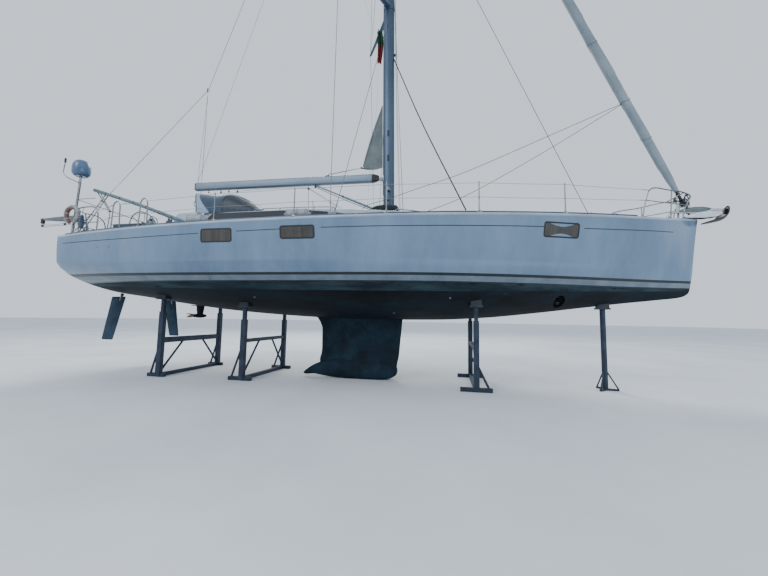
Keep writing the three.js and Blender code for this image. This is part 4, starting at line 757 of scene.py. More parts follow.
def build_rudders():
    for label, sign in SIDES:
        top, low = (np.array([RUDDER["x"], sign * y, z]) for y, z in (RUDDER["top"], RUDDER["bottom"]))
        up = unit(top - low)
        tilt = -sign * math.atan2(RUDDER["bottom"][0] - RUDDER["top"][0],
                                  RUDDER["top"][1] - RUDDER["bottom"][1])
        head = top - up * 0.055
        s = Shape()
        rings = []
        for t in (0, 0.004, 0.015, 0.035, 0.08, 0.2, 0.4, 0.6, 0.8, 0.95, 0.985, 1.0):
            at = low + (head - low) * t
            wide = 0.78 + 0.22 * t
            thick = (0.7 + 0.3 * t) * RUDDER["thick"]
            cut = math.sqrt(max(0.0, 1 - (1 - min(1, t / 0.035)) ** 2)) if t < 0.035 else 1
            cut = cut if t < 0.985 else (0.9 if t < 1 else 0.55)
            cut = max(cut, 0.12)
            trim = 0.02 * (1 - cut)
            rings.append(foil_ring(at[0] - RUDDER["behind"] * wide + trim,
                                   at[0] + RUDDER["ahead"] * wide - trim, at[1:], thick * cut, tilt))
        s.loft(rings)
        s.tube([head - up * 0.12, top - up * 0.001], 0.030, 1, 20)
        s.tube([top - up * 0.03, top + up * 0.03], 0.040, 1, 20)
        s.out(f"rudder_blade_{label}", f"rudder_{label}_body", ("rudder_paint", "steel"), "keel",
              (f"rudder_{label}",), 50)


def build_drive():
    x, z = -4.93, 1.56
    s = Shape()
    # Columns: height, length, thickness
    leg = ((2.02, 0.34, 0.13), (1.9, 0.29, 0.105), (1.75, 0.24, 0.09), (1.62, 0.2, 0.082), (1.56, 0.19, 0.08))
    s.loft([foil_ring(x - c / 2, x + c / 2, (0, h), t) for h, c, t in leg])
    s.lathe([(0, -0.19), (0.04, -0.19), (0.047, -0.184), (0.058, -0.08), (0.062, 0), (0.058, 0.08),
             (0.044, 0.15), (0.024, 0.2), (0, 0.23)], (x, 0, z), (1, 0, 0), 0, 28)
    s.box((x - 0.24, -0.15, 1.845), (x + 0.24, 0.15, 1.862), 0.006, 1, corner=0.1)
    for k in range(4):
        s.box((x - 0.035 + 0.001, -0.047, 1.66 + k * 0.028), (x + 0.035, 0.047, 1.668 + k * 0.028), 0.003, 1)
    s.out("saildrive_leg", mats=("antifouling", "rubber"), slot="antifouling", replaces=("sail_drive",))
    p = Shape()
    front = x - 0.19 - 0.0006
    p.lathe([(0, 0), (0.04, 0), (0.044, 0.006), (0.043, 0.04), (0.036, 0.075), (0.026, 0.108), (0, 0.118)],
            (front, 0, z), (-1, 0, 0), 0, 28)
    p.lathe([(0, 0.1), (0.02, 0.1), (0.016, 0.13), (0.006, 0.145), (0, 0.147)], (front, 0, z), (-1, 0, 0), 1,
            20)
    for k in range(3):
        turn = Matrix.Rotation(k * math.tau / 3 + 0.35, 3, "X")
        rings = []
        for t in np.linspace(0, 1, 12):
            back = 0.03 + 0.235 * t
            wide = 0.031 * (1 - abs(2 * t - 0.85) ** 2.6 * 0.75) if t < 0.97 else 0.006
            thick = 0.008 * (1 - t) + 0.0018
            out, twist = 0.034 + 0.02 * t, 0.5 * t
            ring = []
            for a in turns(14):
                u, w = wide * math.cos(a), thick * math.sin(a) + 0.25 * wide * math.cos(a) ** 2
                ring.append(Vector((front - back, 0, z)) + turn @ Vector(
                    (0, u * math.cos(twist) - w * math.sin(twist), out + u * math.sin(twist) * 0.4 + w)))
            rings.append(ring)
        p.loft(rings)
        p.tube([Vector((front - 0.045, 0, z)) + turn @ Vector((0, sy * 0.026, 0.03)) for sy in (-1, 1)],
               0.009, 0, 12)
    p.out("folded_propeller", "propeller", ("bronze", "galvanised"), "galvanised", ("folding_propeller",), 45)


def build_skin_fittings():
    s = Shape()
    # Columns: x, height, radius; those above the chine are on both sides
    for x, z, r in ((-5.58, 3.11, 0.022), (-3.135, 2.40, 0.026), (0.885, 1.70, 0.03), (2.20, 2.035, 0.024),
                    (-2.36, 2.02, 0.024), (-5.9, 3.11, 0.018)):
        for sign in ((-1, 1) if z > 3 else (-1,)):
            low = max(LOW(x) + 0.02, z)
            y = skin(x, low)
            a, b = skin(x, low + 0.02), skin(x, low - 0.02)
            out = unit((0, sign * 0.04, (b - a)))
            s.lathe([(0, -0.01), (r, -0.01), (r, 0.004), (r * 0.8, 0.007), (r * 0.55, 0.006),
                     (r * 0.5, -0.012), (0, -0.014)], (x, sign * y, low), out, 0, 20)
    tunnel_x, tunnel_z, tunnel_r, pitch = 4.64, 2.01, 0.12, 0.045
    for _, sign in SIDES:       # bars across the thruster tunnel, and its hubs
        for k in range(-2, 3):
            z = tunnel_z + k * pitch
            half = math.sqrt(max(0, tunnel_r**2 - (k * pitch) ** 2))
            y = sign * (skin(tunnel_x, z) - 0.05)
            s.tube([(tunnel_x - half, y, z), (tunnel_x + half, y, z)], 0.006, 1, 6)
        s.lathe([(0.0, -0.02), (0.05, -0.02), (0.06, 0.03), (0.02, 0.07), (0, 0.075)],
                (tunnel_x, sign * 0.35, tunnel_z), (0, sign, 0), 1, 20)
    s.out("skin_fittings", mats=("gelcoat", "black"))


# Rig. The mast leans aft by its rake
GOOSENECK_Z, VANG_Z = 5.35, 4.44
MAST_X, RAKE = 0.59, math.tan(math.radians(0.79))


def mast_x(z):
    return MAST_X - RAKE * (z - 4.23)


def swing_x(z):
    return 0.375 - RAKE * (z - 5.35)


MAST_SECTION = [(math.cos(t), math.sin(t)) for t in turns(40)]


def build_mast():
    s = Shape()
    foot = roof_top(MAST_X, 0)
    levels = [foot - 0.02, 4.6, 5.2, 5.6, 8, 10.35, 13, 16.3, 19, 20.5, 21.4, 22.08, 22.10]
    rings = []
    for z in levels:
        thin = 1 - max(0, z - 20.5) * 0.12 - (0.04 if z > 22.09 else 0)
        ring = []
        for a, b in MAST_SECTION:
            x = 0.15 * (abs(a) ** 0.9 * np.sign(a)) * thin
            ring.append((mast_x(z) + x, 0.095 * b * thin, z))
        rings.append(ring)
    s.loft(rings)
    for side in (-1, 1):    # sail track: two lips with a dark slot between them
        s.loft([[(mast_x(z) - 0.149 - dx, side * dy, z)
                 for dx, dy in ((0, 0.012), (0.012, 0.012), (0.012, 0.0045), (0, 0.0045))]
                for z in (4.9, 21.9)])
    s.loft([[(mast_x(z) - 0.1515 - dx, dy, z) for dx, dy in ((0, -0.0045), (0.0, 0.0045), (0.004, 0.0045),
                                                             (0.004, -0.0045))] for z in (4.9, 21.9)], 1)
    s.box((MAST_X - 0.21, -0.15, foot - 0.03), (MAST_X + 0.21, 0.15, foot + 0.03), 0.01, 0, corner=0.05)
    s.tube([(mast_x(foot + h), 0, foot + h) for h in (0.03, 0.09)], (0.165, 0.158), 2, 40, flat=0.66)
    # masthead: crane with sheaves and a short post
    top = mast_x(22.1)
    s.box((top - 0.43, -0.035, 22.099), (top + 0.23, 0.035, 22.15), 0.008, 0)
    for x in (-0.37, -0.3, 0.17):
        s.lathe(sheave(0.04, 0.033, 0.012), (top + x, 0, 22.14), (0, 1, 0), 2, 20)
    s.tube([(top - 0.1, 0, 22.14), (top - 0.1, 0, 22.188)], 0.02, 2, 12)
    # gooseneck and vang lugs, with their pins
    for z, gap in ((GOOSENECK_Z, 0.04), (VANG_Z, 0.056)):
        for h in (-gap - 0.012, gap):
            x = swing_x(z)
            s.box((x - 0.034, -0.03, z + h), (mast_x(z) - 0.13, 0.03, z + h + 0.012), 0.003, 3, corner=0.028)
        s.tube([(swing_x(z + h), 0, z + h) for h in (-gap - 0.02, gap + 0.02)], 0.013, 3, 16)
        s.box((mast_x(z) - 0.158, -0.05, z - gap - 0.06), (mast_x(z) - 0.13, 0.05, z + gap + 0.06), 0.004, 3)
    # halyard exits, cleats, winches, steps of the collar
    for z, side in ((5.9, -1), (6.25, 1), (6.6, -1), (6.95, 1)):
        s.box((mast_x(z) - 0.03, side * 0.088, z - 0.09), (mast_x(z) + 0.03, side * 0.1, z + 0.09), 0.004, 2,
              corner=0.012)
    for side in (-1, 1):
        s.lathe([(0, 0), (0.05, 0), (0.05, 0.02), (0.036, 0.035), (0.04, 0.09), (0.05, 0.1), (0.05, 0.12),
                 (0, 0.125)], (mast_x(5.0) + 0.02, side * 0.09, 5.0), (0, side, 0), 3, 24)
        s.box((mast_x(4.75) - 0.06, side * 0.09, 4.7), (mast_x(4.75) + 0.02, side * 0.125, 4.73), 0.006, 2)
    for z in (8.9, 13.4, 18.6):
        s.box((mast_x(z) + 0.14, -0.03, z), (mast_x(z) + 0.2, 0.03, z + 0.06), 0.012, 2)
    s.out("mast_tube", mats=("aluminium", "black", "rubber", "steel"), slot="aluminium", replaces=("mast",),
          angle=40)
    c = Shape()
    path = [(mast_x(z), 0, z) for z in np.linspace(foot + 0.02, foot + 0.24, 8)]
    rings = []
    for k, (x, _, z) in enumerate(path):
        grow = 0.045 - 0.035 * (k / 7) + 0.006 * math.sin(k * 2.4)
        rings.append([(x + (0.15 + grow) * a, (0.095 + grow) * b + 0.004 * math.sin(5 * math.atan2(b, a) + k),
                       z) for a, b in MAST_SECTION])
    c.loft(rings)
    c.tube([(mast_x(foot + 0.2) + 0.165 * a, 0.11 * b, foot + 0.215) for a, b in MAST_SECTION], 0.006, 1, 6,
           closed=True)
    c.out("mast_collar", mats=("dark_canvas", "rope_dark"), slot="canvas", angle=60)


def rope(name, points, radius, mat="rope_white", body="boat", per=6, ends=None, sides=6):
    """A taut line; when ends are given, it is left without a body instead of riding on one."""
    s = Shape().tube(points, radius, 0, sides, per=per if len(points) > 2 else 0)
    ob = s.out(name, None, (mat,), angle=60)
    if ends:
        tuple(ends[0])
        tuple(ends[1])
        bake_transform(ob)
    else:
        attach(ob, body)
    return ob


def block(s, at, axis=(0, 1, 0), r=0.03, mat=0, pin=1, up=(0, 0, 1)):
    """A pulley block: two cheeks, a sheave and its strop."""
    at, axis, up = np.array(at, float), unit(axis), unit(up)
    for k in (-1, 1):
        s.lathe(sheave(r * 0.8, r, 0.003), at + axis * k * r * 0.38, axis, mat, 16)
    s.lathe(sheave(r * 0.85, r * 0.65, r * 0.3), at, axis, pin, 16)
    s.tube([at + up * r * 0.5 - axis * r * 0.38, at + up * r * 1.5 - axis * r * 0.2, at + up * r * 1.8,
            at + up * r * 1.5 + axis * r * 0.2, at + up * r * 0.5 + axis * r * 0.38], 0.003, pin, 6, per=3)


BOOM_AFT, BOOM_FORE = -5.33, 0.31


def boom_z(x):
    return 5.430 - 0.045 * (x - BOOM_AFT) / (BOOM_FORE - BOOM_AFT)


def rounded(wide, deep, r, n=5):
    """Section with rounded corners, as across and up."""
    out = []
    for k, (sx, sy) in enumerate(CORNERS):
        for a in quarter(k, n):
            out.append((sx * (wide / 2 - r) + r * math.cos(a), sy * (deep / 2 - r) + r * math.sin(a)))
    return out


def build_boom():
    s = Shape()
    body = rounded(0.163, 0.228, 0.042)
    ring = lambda x, k, dz=0.0: [(x, y * k, boom_z(x) + dz + z * k) for y, z in body]
    s.loft([ring(BOOM_AFT + 0.028, 1), ring(BOOM_AFT + 0.03, 1), ring(-2.6, 1), ring(0.118, 1),
            ring(0.12, 1)])
    s.loft([ring(x, k) for x, k in ((BOOM_AFT, 0.93), (BOOM_AFT + 0.004, 1.0), (BOOM_AFT + 0.03, 1.012),
                                    (BOOM_AFT + 0.034, 1.012))], 1)
    s.loft([ring(x, k) for x, k in ((0.115, 1.02), (0.13, 1.02), (0.2, 0.9), (0.28, 0.66), (0.305, 0.56),
                                    (0.31, 0.5))], 1)
    top = lambda x: boom_z(x) + 0.114
    s.loft([[(x, -0.006, top(x) - 0.002), (x, 0.006, top(x) - 0.002), (x, 0.006, top(x) + 0.0022),
             (x, -0.006, top(x) + 0.0022)] for x in (-5.2, 0.05)], 2)
    for y in (-1, 1):
        s.loft([[(x, y * 0.0815, boom_z(x) - 0.042), (x, y * 0.0832, boom_z(x) - 0.040),
                 (x, y * 0.0832, boom_z(x) - 0.034), (x, y * 0.0815, boom_z(x) - 0.032)]
                for x in (-5.25, 0.08)], 0)
        for x in (-5.05, -4.2, -2.9, 0.02):
            s.lathe([(0, 0), (0.009, 0), (0.008, 0.003), (0, 0.003)], (x, y * 0.081, boom_z(x) + 0.02),
                    (0, y, 0), 3, 10)
    # end sheaves, topping lift eye, gooseneck tongue and eye
    for dz in (-0.05, 0.0, 0.05):
        s.lathe(sheave(0.03, 0.024, 0.009),
                (BOOM_AFT + 0.028, 0.03 if dz else -0.03, boom_z(BOOM_AFT) + dz), (0, 1, 0), 2, 16)
    s.tube([(BOOM_AFT + 0.03, 0, top(BOOM_AFT) - 0.01), (BOOM_AFT + 0.02, 0, top(BOOM_AFT) + 0.03),
            (BOOM_AFT + 0.055, 0, top(BOOM_AFT) + 0.04), (BOOM_AFT + 0.07, 0, top(BOOM_AFT) - 0.01)], 0.005,
           3, 8, per=4)
    s.box((0.27, -0.024, 5.322), (swing_x(GOOSENECK_Z), 0.024, 5.378), 0.008, 3)
    s.lathe(collar(0.0145, 0.03, 0.0375), (swing_x(GOOSENECK_Z), 0, GOOSENECK_Z),
            (-RAKE, 0, 1), 3, 28)
    # outhaul car on the top track
    s.box((-1.24, -0.03, top(-1.18) - 0.002), (-1.12, 0.03, top(-1.18) + 0.03), 0.008, 1)
    s.box((-1.2, -0.012, top(-1.18) + 0.025), (-1.125, 0.012, top(-1.18) + 0.1), 0.005, 3, corner=0.011)
    # bails under the boom with their blocks
    for x, r in ((-4.9, 0.022), (-4.49, 0.03), (-4.23, 0.026), (-3.95, 0.032), (-1.73, 0.036)):
        low = boom_z(x) - 0.1145
        s.tube([(x - 0.02, -0.02, low + 0.006), (x - 0.012, -0.01, low - 0.02), (x, 0, low - 0.028),
                (x + 0.012, 0.01, low - 0.02), (x + 0.02, 0.02, low + 0.006)], 0.004, 3, 6, per=3)
        block(s, (x, 0, low - 0.028 - 1.7 * r), (0.3, 1, 0), r, 2, 3)
    # line along the underside
    s.tube([(-3.95, 0.0, boom_z(-3.95) - 0.187), (-2.9, 0, boom_z(-2.9) - 0.152),
            (-1.76, 0, boom_z(-1.7) - 0.172)], 0.005, 4, 6, per=8)
    s.out("boom_spar", "boom_assembly", ("boom_grey", "stripe_black", "black", "steel", "rope_dark"),
          "aluminium", ("boom",), 35)
    v = Shape()
    a, b = np.array([-1.56, 0, 5.300]), np.array([swing_x(VANG_Z) - 0.02, 0, VANG_Z])
    at = lambda t: a + (b - a) * t
    v.tube([at(0.01), at(0.5)], 0.0222, 0, 20)
    v.tube([at(0.44), at(0.97)], 0.0315, 0, 24)
    v.tube([at(0.435), at(0.455)], 0.0345, 1, 24)
    v.tube([at(0.94), at(0.99)], (0.033, 0.024), 1, 20)
    v.tube([at(-0.012), at(0.03)], (0.016, 0.026), 1, 16)
    v.lathe(collar(0.0145, 0.03, 0.0535), (swing_x(VANG_Z), 0, VANG_Z),
            (-RAKE, 0, 1), 2, 28)
    v.box((swing_x(VANG_Z) - 0.07, -0.02, 4.42), (swing_x(VANG_Z) - 0.02, 0.02, 4.47), 0.006, 2)
    down = np.array([0.0, 0, -1])
    for dy in (-0.02, 0.02):
        v.tube([at(0.02) + down * 0.05 + (0, dy, 0), at(0.5) + down * 0.075 + (0, dy, 0),
                at(0.9) + down * 0.06 + (0, dy, 0)], 0.005, 3, 6, per=6)
    block(v, at(0.02) + down * 0.05, (0, 1, 0), 0.034, 1, 2)
    block(v, at(0.9) + down * 0.06, (0, 1, 0), 0.034, 1, 2)
    v.out("vang_strut", "boom_assembly", ("boom_grey", "black", "steel", "rope_dark"), "aluminium",
          ("boom_vang",), 40)


def build_clew():
    s = Shape()
    # lines from the luff to the leech, at rising heights; the cloth bellies a little to port
    rings = []
    for t in np.linspace(0, 1, 24):
        z = 5.68 + 1.79 * t
        luff = 0.398 - 0.028 * t
        leech = -0.18 + 0.535 * t - 0.03 * math.sin(math.pi * t)
        foot = 0.035 * (1 - t) ** 6
        front, back = [], []
        for u in np.linspace(0, 1, 16):
            x = luff + (leech - luff) * u
            y = 0.035 * math.sin(math.pi * u) * (1 - t) + 0.006 * math.sin(9 * u + 5 * t) * (1 - t)
            front.append((x, y + 0.002, z - foot * math.sin(math.pi * u)))
            back.append((x, y - 0.002, z - foot * math.sin(math.pi * u)))
        rings.append(front + back[::-1])
    s.loft(rings)
    sail = s.out("mainsail_corner", "boom_assembly", ("mainsail",), "sail", ("mainsail_clew",), 70)
    t = Shape()
    for k, r in enumerate((0.30, 0.22, 0.15)):  # patches of doubled cloth at the clew
        corner = np.array([-0.176, 0, 5.686])
        arc = [corner + (r * math.cos(a), 0, r * math.sin(a) * 1.5) for a in np.linspace(0.02, 0.98, 12)]
        off = 0.0045 + 0.0012 * k
        front = []
        for x, _, z in arc:
            belly = math.sin(math.pi * min(1, max(0, (0.398 - x) / 0.578)))
            front.append((x, off + 0.035 * belly * (1 - (z - 5.68) / 1.79), z))
        back = [(x, y - 2 * off, z) for x, y, z in front]
        first, last = ([(corner[0] + 0.002, dy, corner[2] + 0.002)] * 12 for dy in (off, -off))
        t.loft([first, front, back, last], 0, close=False)
    t.lathe([(0.008, -0.012), (0.02, -0.012), (0.026, 0), (0.02, 0.012), (0.008, 0.012)], (-0.145, 0, 5.715),
            (0, 1, 0), 1, 20)
    t.tube([(0.35, 0.006, 7.465), (0.1, -0.004, 6.6), (-0.17, 0, 5.7)], 0.006, 0, 6, per=10)
    for dz in (-0.012, 0.012):
        t.tube([(-0.15, 0.004, 5.712), (-1.118, 0.004, boom_z(-1.18) + 0.184 + dz)], 0.0065, 2, 8)
    block(t, (-0.2, 0.0, 5.707), (0, 1, 0.1), 0.026, 3, 1, up=(1, 0, 0))
    t.out("clew_fittings", "boom_assembly", ("mainsail", "steel", "rope_white", "black"), "sail", angle=60)


TACK, HEAD_Z = np.array([7.66, 0, 4.09]), 21.3
HEAD = np.array([mast_x(HEAD_Z), 0, HEAD_Z])


def stay(z):
    return TACK + (HEAD - TACK) * (z - TACK[2]) / (HEAD_Z - TACK[2])


def build_genoa():
    radius = curve([4.64, 4.8, 5.0, 6.5, 8.0, 12.0, 17.0, 20.2, 20.4],
                   [0.05, 0.066, 0.083, 0.103, 0.113, 0.103, 0.073, 0.036, 0.02])
    s = Shape()
    rings = []
    zs = np.r_[np.linspace(4.641, 10, 120), np.linspace(10.1, 20.4, 130)]
    along = unit(HEAD - TACK)
    side = np.array([0.0, 1, 0])
    fore = np.cross(side, along)
    round_stay = lambda z, a, r: stay(z) + (fore * math.cos(a) + side * math.sin(a)) * r
    for z in zs:
        r = radius(z)
        ring = []
        for a in turns(32):
            turn = (a / math.tau - (z - 4.6) * 0.62) % 1
            lap = 0.10 * turn**3 + 0.02 * math.sin(6 * a + 3 * z)
            ring.append(round_stay(z, a, r * (0.93 + lap)))
        rings.append(ring)
    s.loft(rings)
    # the clew stands out of the roll in a folded, flattened fan
    rings = []
    knee, clew = np.array([6.42, 0, 7.12]), np.array([6.375, 0, 6.93])
    for t in np.linspace(0, 1, 14):
        centre = (1 - t) ** 2 * stay(7.42) + 2 * t * (1 - t) * knee + t * t * clew
        wide, thick = 0.16 * (1 - t) ** 0.7 + 0.035, 0.045 * (1 - t) + 0.014
        rings.append([centre
                      + np.array([math.cos(a) * wide * 0.45,
                                  math.sin(a) * thick * (1 + 0.25 * math.sin(4 * a)),
                                  math.cos(a) * wide * 0.6]) for a in turns(20)])
    s.loft(rings)
    s.lathe([(0.012, -0.014), (0.026, -0.014), (0.032, 0), (0.026, 0.014), (0.012, 0.014)], (6.385, 0, 6.95),
            (0.4, 1, 0), 1, 20)
    # sail ties round the roll, and the foil above it
    for z in (7.0, 8.6, 10.2, 6.0):
        r = radius(z) * 1.04 + 0.002
        s.tube([round_stay(z + 0.05 * math.sin(a), a, r) for a in turns(28)], 0.0065, 2, 6, closed=True)
    s.tube([stay(20.3), stay(21.28)], 0.0125, 3, 10)
    s.tube([stay(20.42), stay(20.62)], 0.035, 3, 20)
    s.tube([stay(20.52) + (-0.02, 0, 0), (mast_x(20.9) + 0.13, 0, 20.9)], 0.006, 2, 6)
    s.out("genoa_roll", mats=("sail", "steel", "rope_white", "aluminium"), slot="sail",
          replaces=("furled_genoa",), angle=60)
    d = Shape()
    for z0, z1, r in ((4.0985, 4.292, 0.018), (4.29, 4.302, 0.092), (4.436, 4.448, 0.09),
                      (4.302, 4.436, 0.04), (4.448, 4.64, 0.032), (4.56, 4.6, 0.044)):
        d.tube([stay(z0), stay(z1)], r, 0 if r > 0.03 else 1, 28)
    for k in range(14):     # turns of the furling line on the drum
        z = 4.31 + k * 0.0088
        r = 0.058 + 0.018 * math.sin(k * 0.45)
        d.tube([round_stay(z, a, r) for a in turns(20)], 0.0055, 2, 6, closed=True)
    for a in turns(6, 0.3):
        d.tube([round_stay(4.296, a, 0.088), round_stay(4.442, a, 0.086)], 0.005, 1, 6)
    d.box((7.6, -0.02, 4.10), (7.68, 0.02, 4.19), 0.004, 1)
    d.out("furler", mats=("black", "steel", "rope_dark"), slot="rubber", replaces=("furling_drum",), angle=45)
    # a coil of line hanging on the drum
    c = Shape()
    for k in range(6):
        c.tube([stay(4.46) + (0.10 + 0.012 * math.cos(2 * a + k) + 0.006 * k,
                              0.07 * math.sin(a) + 0.01 * k - 0.03, -0.03 - 0.15 * math.cos(a) - 0.01 * k)
                for a in turns(28)], 0.0055, 0, 6, closed=True)
    for k in range(4):
        c.tube([stay(4.36) + (-0.04 + 0.02 * k - 0.035 * math.cos(a), -0.093 - 0.012 * k,
                              -0.05 - 0.11 * math.sin(a)) for a in turns(24)], 0.005, 0, 6, closed=True)
    c.out("furling_coil", mats=("rope_dark",), slot="rubber", angle=60)


def build_rigging():
    s = Shape()
    for _, sign in SIDES:
        # turnbuckles and covers of the shrouds
        for foot, tip in (((-0.26, 2.27, 3.70), (-0.42, 1.7305, 10.42)),
                          ((-0.17, 2.27, 3.70), (mast_x(10.13), 0, 10.13))):
            a, b = np.array(foot) * (1, sign, 1), np.array(tip) * (1, sign, 1)
            u = unit(b - a)
            s.tube([a + u * 0.03, a + u * 0.09], 0.011, 0, 12)
            s.tube([a + u * 0.08, a + u * 0.28], (0.012, 0.0165, 0.0165, 0.012), 0, 14)
            s.tube([a + u * 0.28, a + u * 0.38], (0.011, 0.0085), 0, 12)
        s.box((-0.32, sign * 2.255, 3.66), (-0.11, sign * 2.285, 3.70), 0.006, 0)
        foot = np.array([-6.96, sign * 2.18, 3.4])
        u = unit(np.array([-5.14, 0, 8.52]) - foot)
        s.tube([foot + u * 0.2, foot + u * 0.48], (0.011, 0.015, 0.015, 0.011), 0, 12)
        s.tube([foot + u * 0.48, foot + u * 0.62], (0.01, 0.008), 0, 10)
    s.box((-5.19, -0.014, 8.46), (-5.09, 0.014, 8.58), 0.006, 0, corner=0.013)
    deck_z_at = deck_z(5.72, 0)
    s.tube([(5.72, 0, deck_z_at), (5.70, 0, deck_z_at + 0.1)], 0.014, 0, 10)
    s.tube([(5.71, 0, deck_z_at + 0.1), (5.58, 0, deck_z_at + 0.4)], (0.012, 0.017, 0.017, 0.011), 0, 12)
    s.box((5.67, -0.05, deck_z_at - 0.004), (5.78, 0.05, deck_z_at + 0.01), 0.004, 0)
    s.out("turnbuckles", mats=("steel",), slot="steel", angle=40)
    rope("topping_lift", [(BOOM_AFT + 0.035, 0, boom_z(BOOM_AFT) + 0.152), (swing_x(22.08), 0, 22.08)], 0.005,
         "rope_white", "boom_assembly")
    rope("boom_strop", [(-5.14, 0, 8.5), (-5.27, 0.0, 6.2), (-5.29, 0, 5.58)], 0.004, "rope_dark",
         ends=((-5.14, 0, 8.5), (-5.28, 0, 5.6)))
    low, high = (-1.59, -0.25, roof_top(-1.59, 0.25) + 0.07), (-1.73, 0, 5.20)
    rope("mainsheet", [low, high], 0.006, "rope_dark", ends=(low, high))
    low2, high2 = (-0.37, -0.35, roof_top(-0.37, 0.35) + 0.06), (-1.70, 0.0, 5.20)
    rope("preventer_a", [low2, high2], 0.005, "rope_dark", ends=(low2, high2))
    low3 = (-0.45, -0.33, roof_top(-0.37, 0.35) + 0.06)
    rope("preventer_b", [low3, (-1.74, 0.02, 5.21)], 0.005, "rope_dark", ends=(low3, (-1.74, 0.02, 5.21)))
    # thick dark line from the mast down to the rail, sheets, halyards
    rope("guy", [(mast_x(8.81) + 0.14, -0.02, 8.81), (1.55, -1.12, 6.2), (2.5, -2.13, 3.72)], 0.014,
         "rope_dark", per=10, sides=8)
    clew = (6.385, -0.01, 6.93)
    rope("sheet_starboard", [clew, (4.4, -0.2, 6.05), (2.48, -0.3, 5.25), (1.447, -0.31, 4.936),
                             (0.83, -0.34, 4.732), (0.438, -0.37, 4.606), (0.05, -0.42, 4.472),
                             (-0.12, -0.46, roof_top(-0.12, 0.46) + 0.03)], 0.007, "rope_dark", per=8)
    rope("sheet_port", [(6.385, 0.02, 6.93), (4.5, 0.1, 5.83), (2.53, -0.25, 4.66),
                        (1.5, -0.5, roof_top(1.5, 0.5) + 0.07)], 0.007, "rope_dark", per=8)
    for k, (side, top, reach) in enumerate(((-0.05, 16.2, 0.03), (0.05, 20.8, 0.03), (0.0, 13.3, 0.06))):
        rope(f"halyard_{k}", [(mast_x(top) + 0.14, side * 0.5, top), (mast_x(9) + 0.16 + reach, side, 9.0),
                              (mast_x(4.6) + 0.22 + reach * 3, side * 2, roof_top(0.9, 0) + 0.16)], 0.0045,
             "rope_white", per=10)
    rope("pole_lift", [(mast_x(10.9) + 0.14, -0.04, 10.9), (1.02, -0.3, roof_top(1.02, 0.3) + 0.03)], 0.005,
         "rope_dark")
    rope("flag_halyard", [(-0.2, -1.45, 10.38), (0.42, -1.2, 8.2), (0.4, -1.75, deck_z(0.4, 1.75) + 0.1)],
         0.002, "rope_white", per=10)


def build_flag():
    rings = []
    zs = np.linspace(8.75, 7.86, 20)
    for k, z in enumerate(zs):
        t = k / 19
        ring = []
        for u in np.linspace(0, 1, 26):
            fold = 0.050 * math.sin(u * 5 * math.pi + 0.8 * t) * (1 - 0.35 * t)
            x = 0.475 + (u - 0.5) * (0.13 + 0.02 * math.sin(4 * t)) + 0.03 * math.sin(3 * t)
            ring.append((x, -1.10 + fold - 0.02 * t, z - 0.04 * u * t))
        rings.append(ring)
    s = Shape()
    front = [[(x, y + 0.0012, z) for x, y, z in r] for r in rings]
    back = [[(x, y - 0.0012, z) for x, y, z in r] for r in rings]
    for k in range(19):
        mat = 0 if k < 9 else 1
        s.loft([front[k] + back[k][::-1], front[k + 1] + back[k + 1][::-1]], mat)
    flag = s.out("signal_flag", mats=("flag_green", "flag_red"), slot="canvas", angle=70)


# Windows
def outline(x0, x1, z0, z1, r, n=6):
    """Rounded outline in the plane of length and height."""
    out = []
    for k, (cx, cz) in enumerate(((x1 - r, z1 - r), (x0 + r, z1 - r), (x0 + r, z0 + r), (x1 - r, z0 + r))):
        for a in quarter(k, n):
            out.append((cx + r * math.cos(a), cz + r * math.sin(a)))
    return np.array(out)


def window(s, x0, x1, z0, z1, r, border, high, place, pane=0, rim=1):
    """A pane in a raised rim; place gives the point for a length, a height and a lift off the surface."""
    put_ring = lambda ring, lift: [place(x, z, lift) for x, z in ring]
    inset = lambda d: outline(x0 + d, x1 - d, z0 + d, z1 - d, max(r - d, 0.004))
    levels = ((0, -0.004), (0, high - 0.0015), (0.0015, high), (border - 0.0015, high),
              (border, high - 0.0015), (border, 0.001))
    s.loft([put_ring(inset(d), lift) for d, lift in levels], rim, caps=False)
    inner = inset(border)
    mid = inner.mean(0)
    rings = [put_ring(mid + (inner - mid) * k, 0.0015) for k in (1.0, 0.8, 0.6, 0.4, 0.2, 0.01)]
    s.loft(rings, pane, caps=False)
    s.add(rings[-1], [tuple(range(len(inner)))], pane)


# Columns: aft, fore, low, high
HULL_WINDOWS = ((-3.175, -2.45, 3.165, 3.445), (-1.32, -0.575, 3.205, 3.46), (4.06, 4.78, 3.27, 3.54))


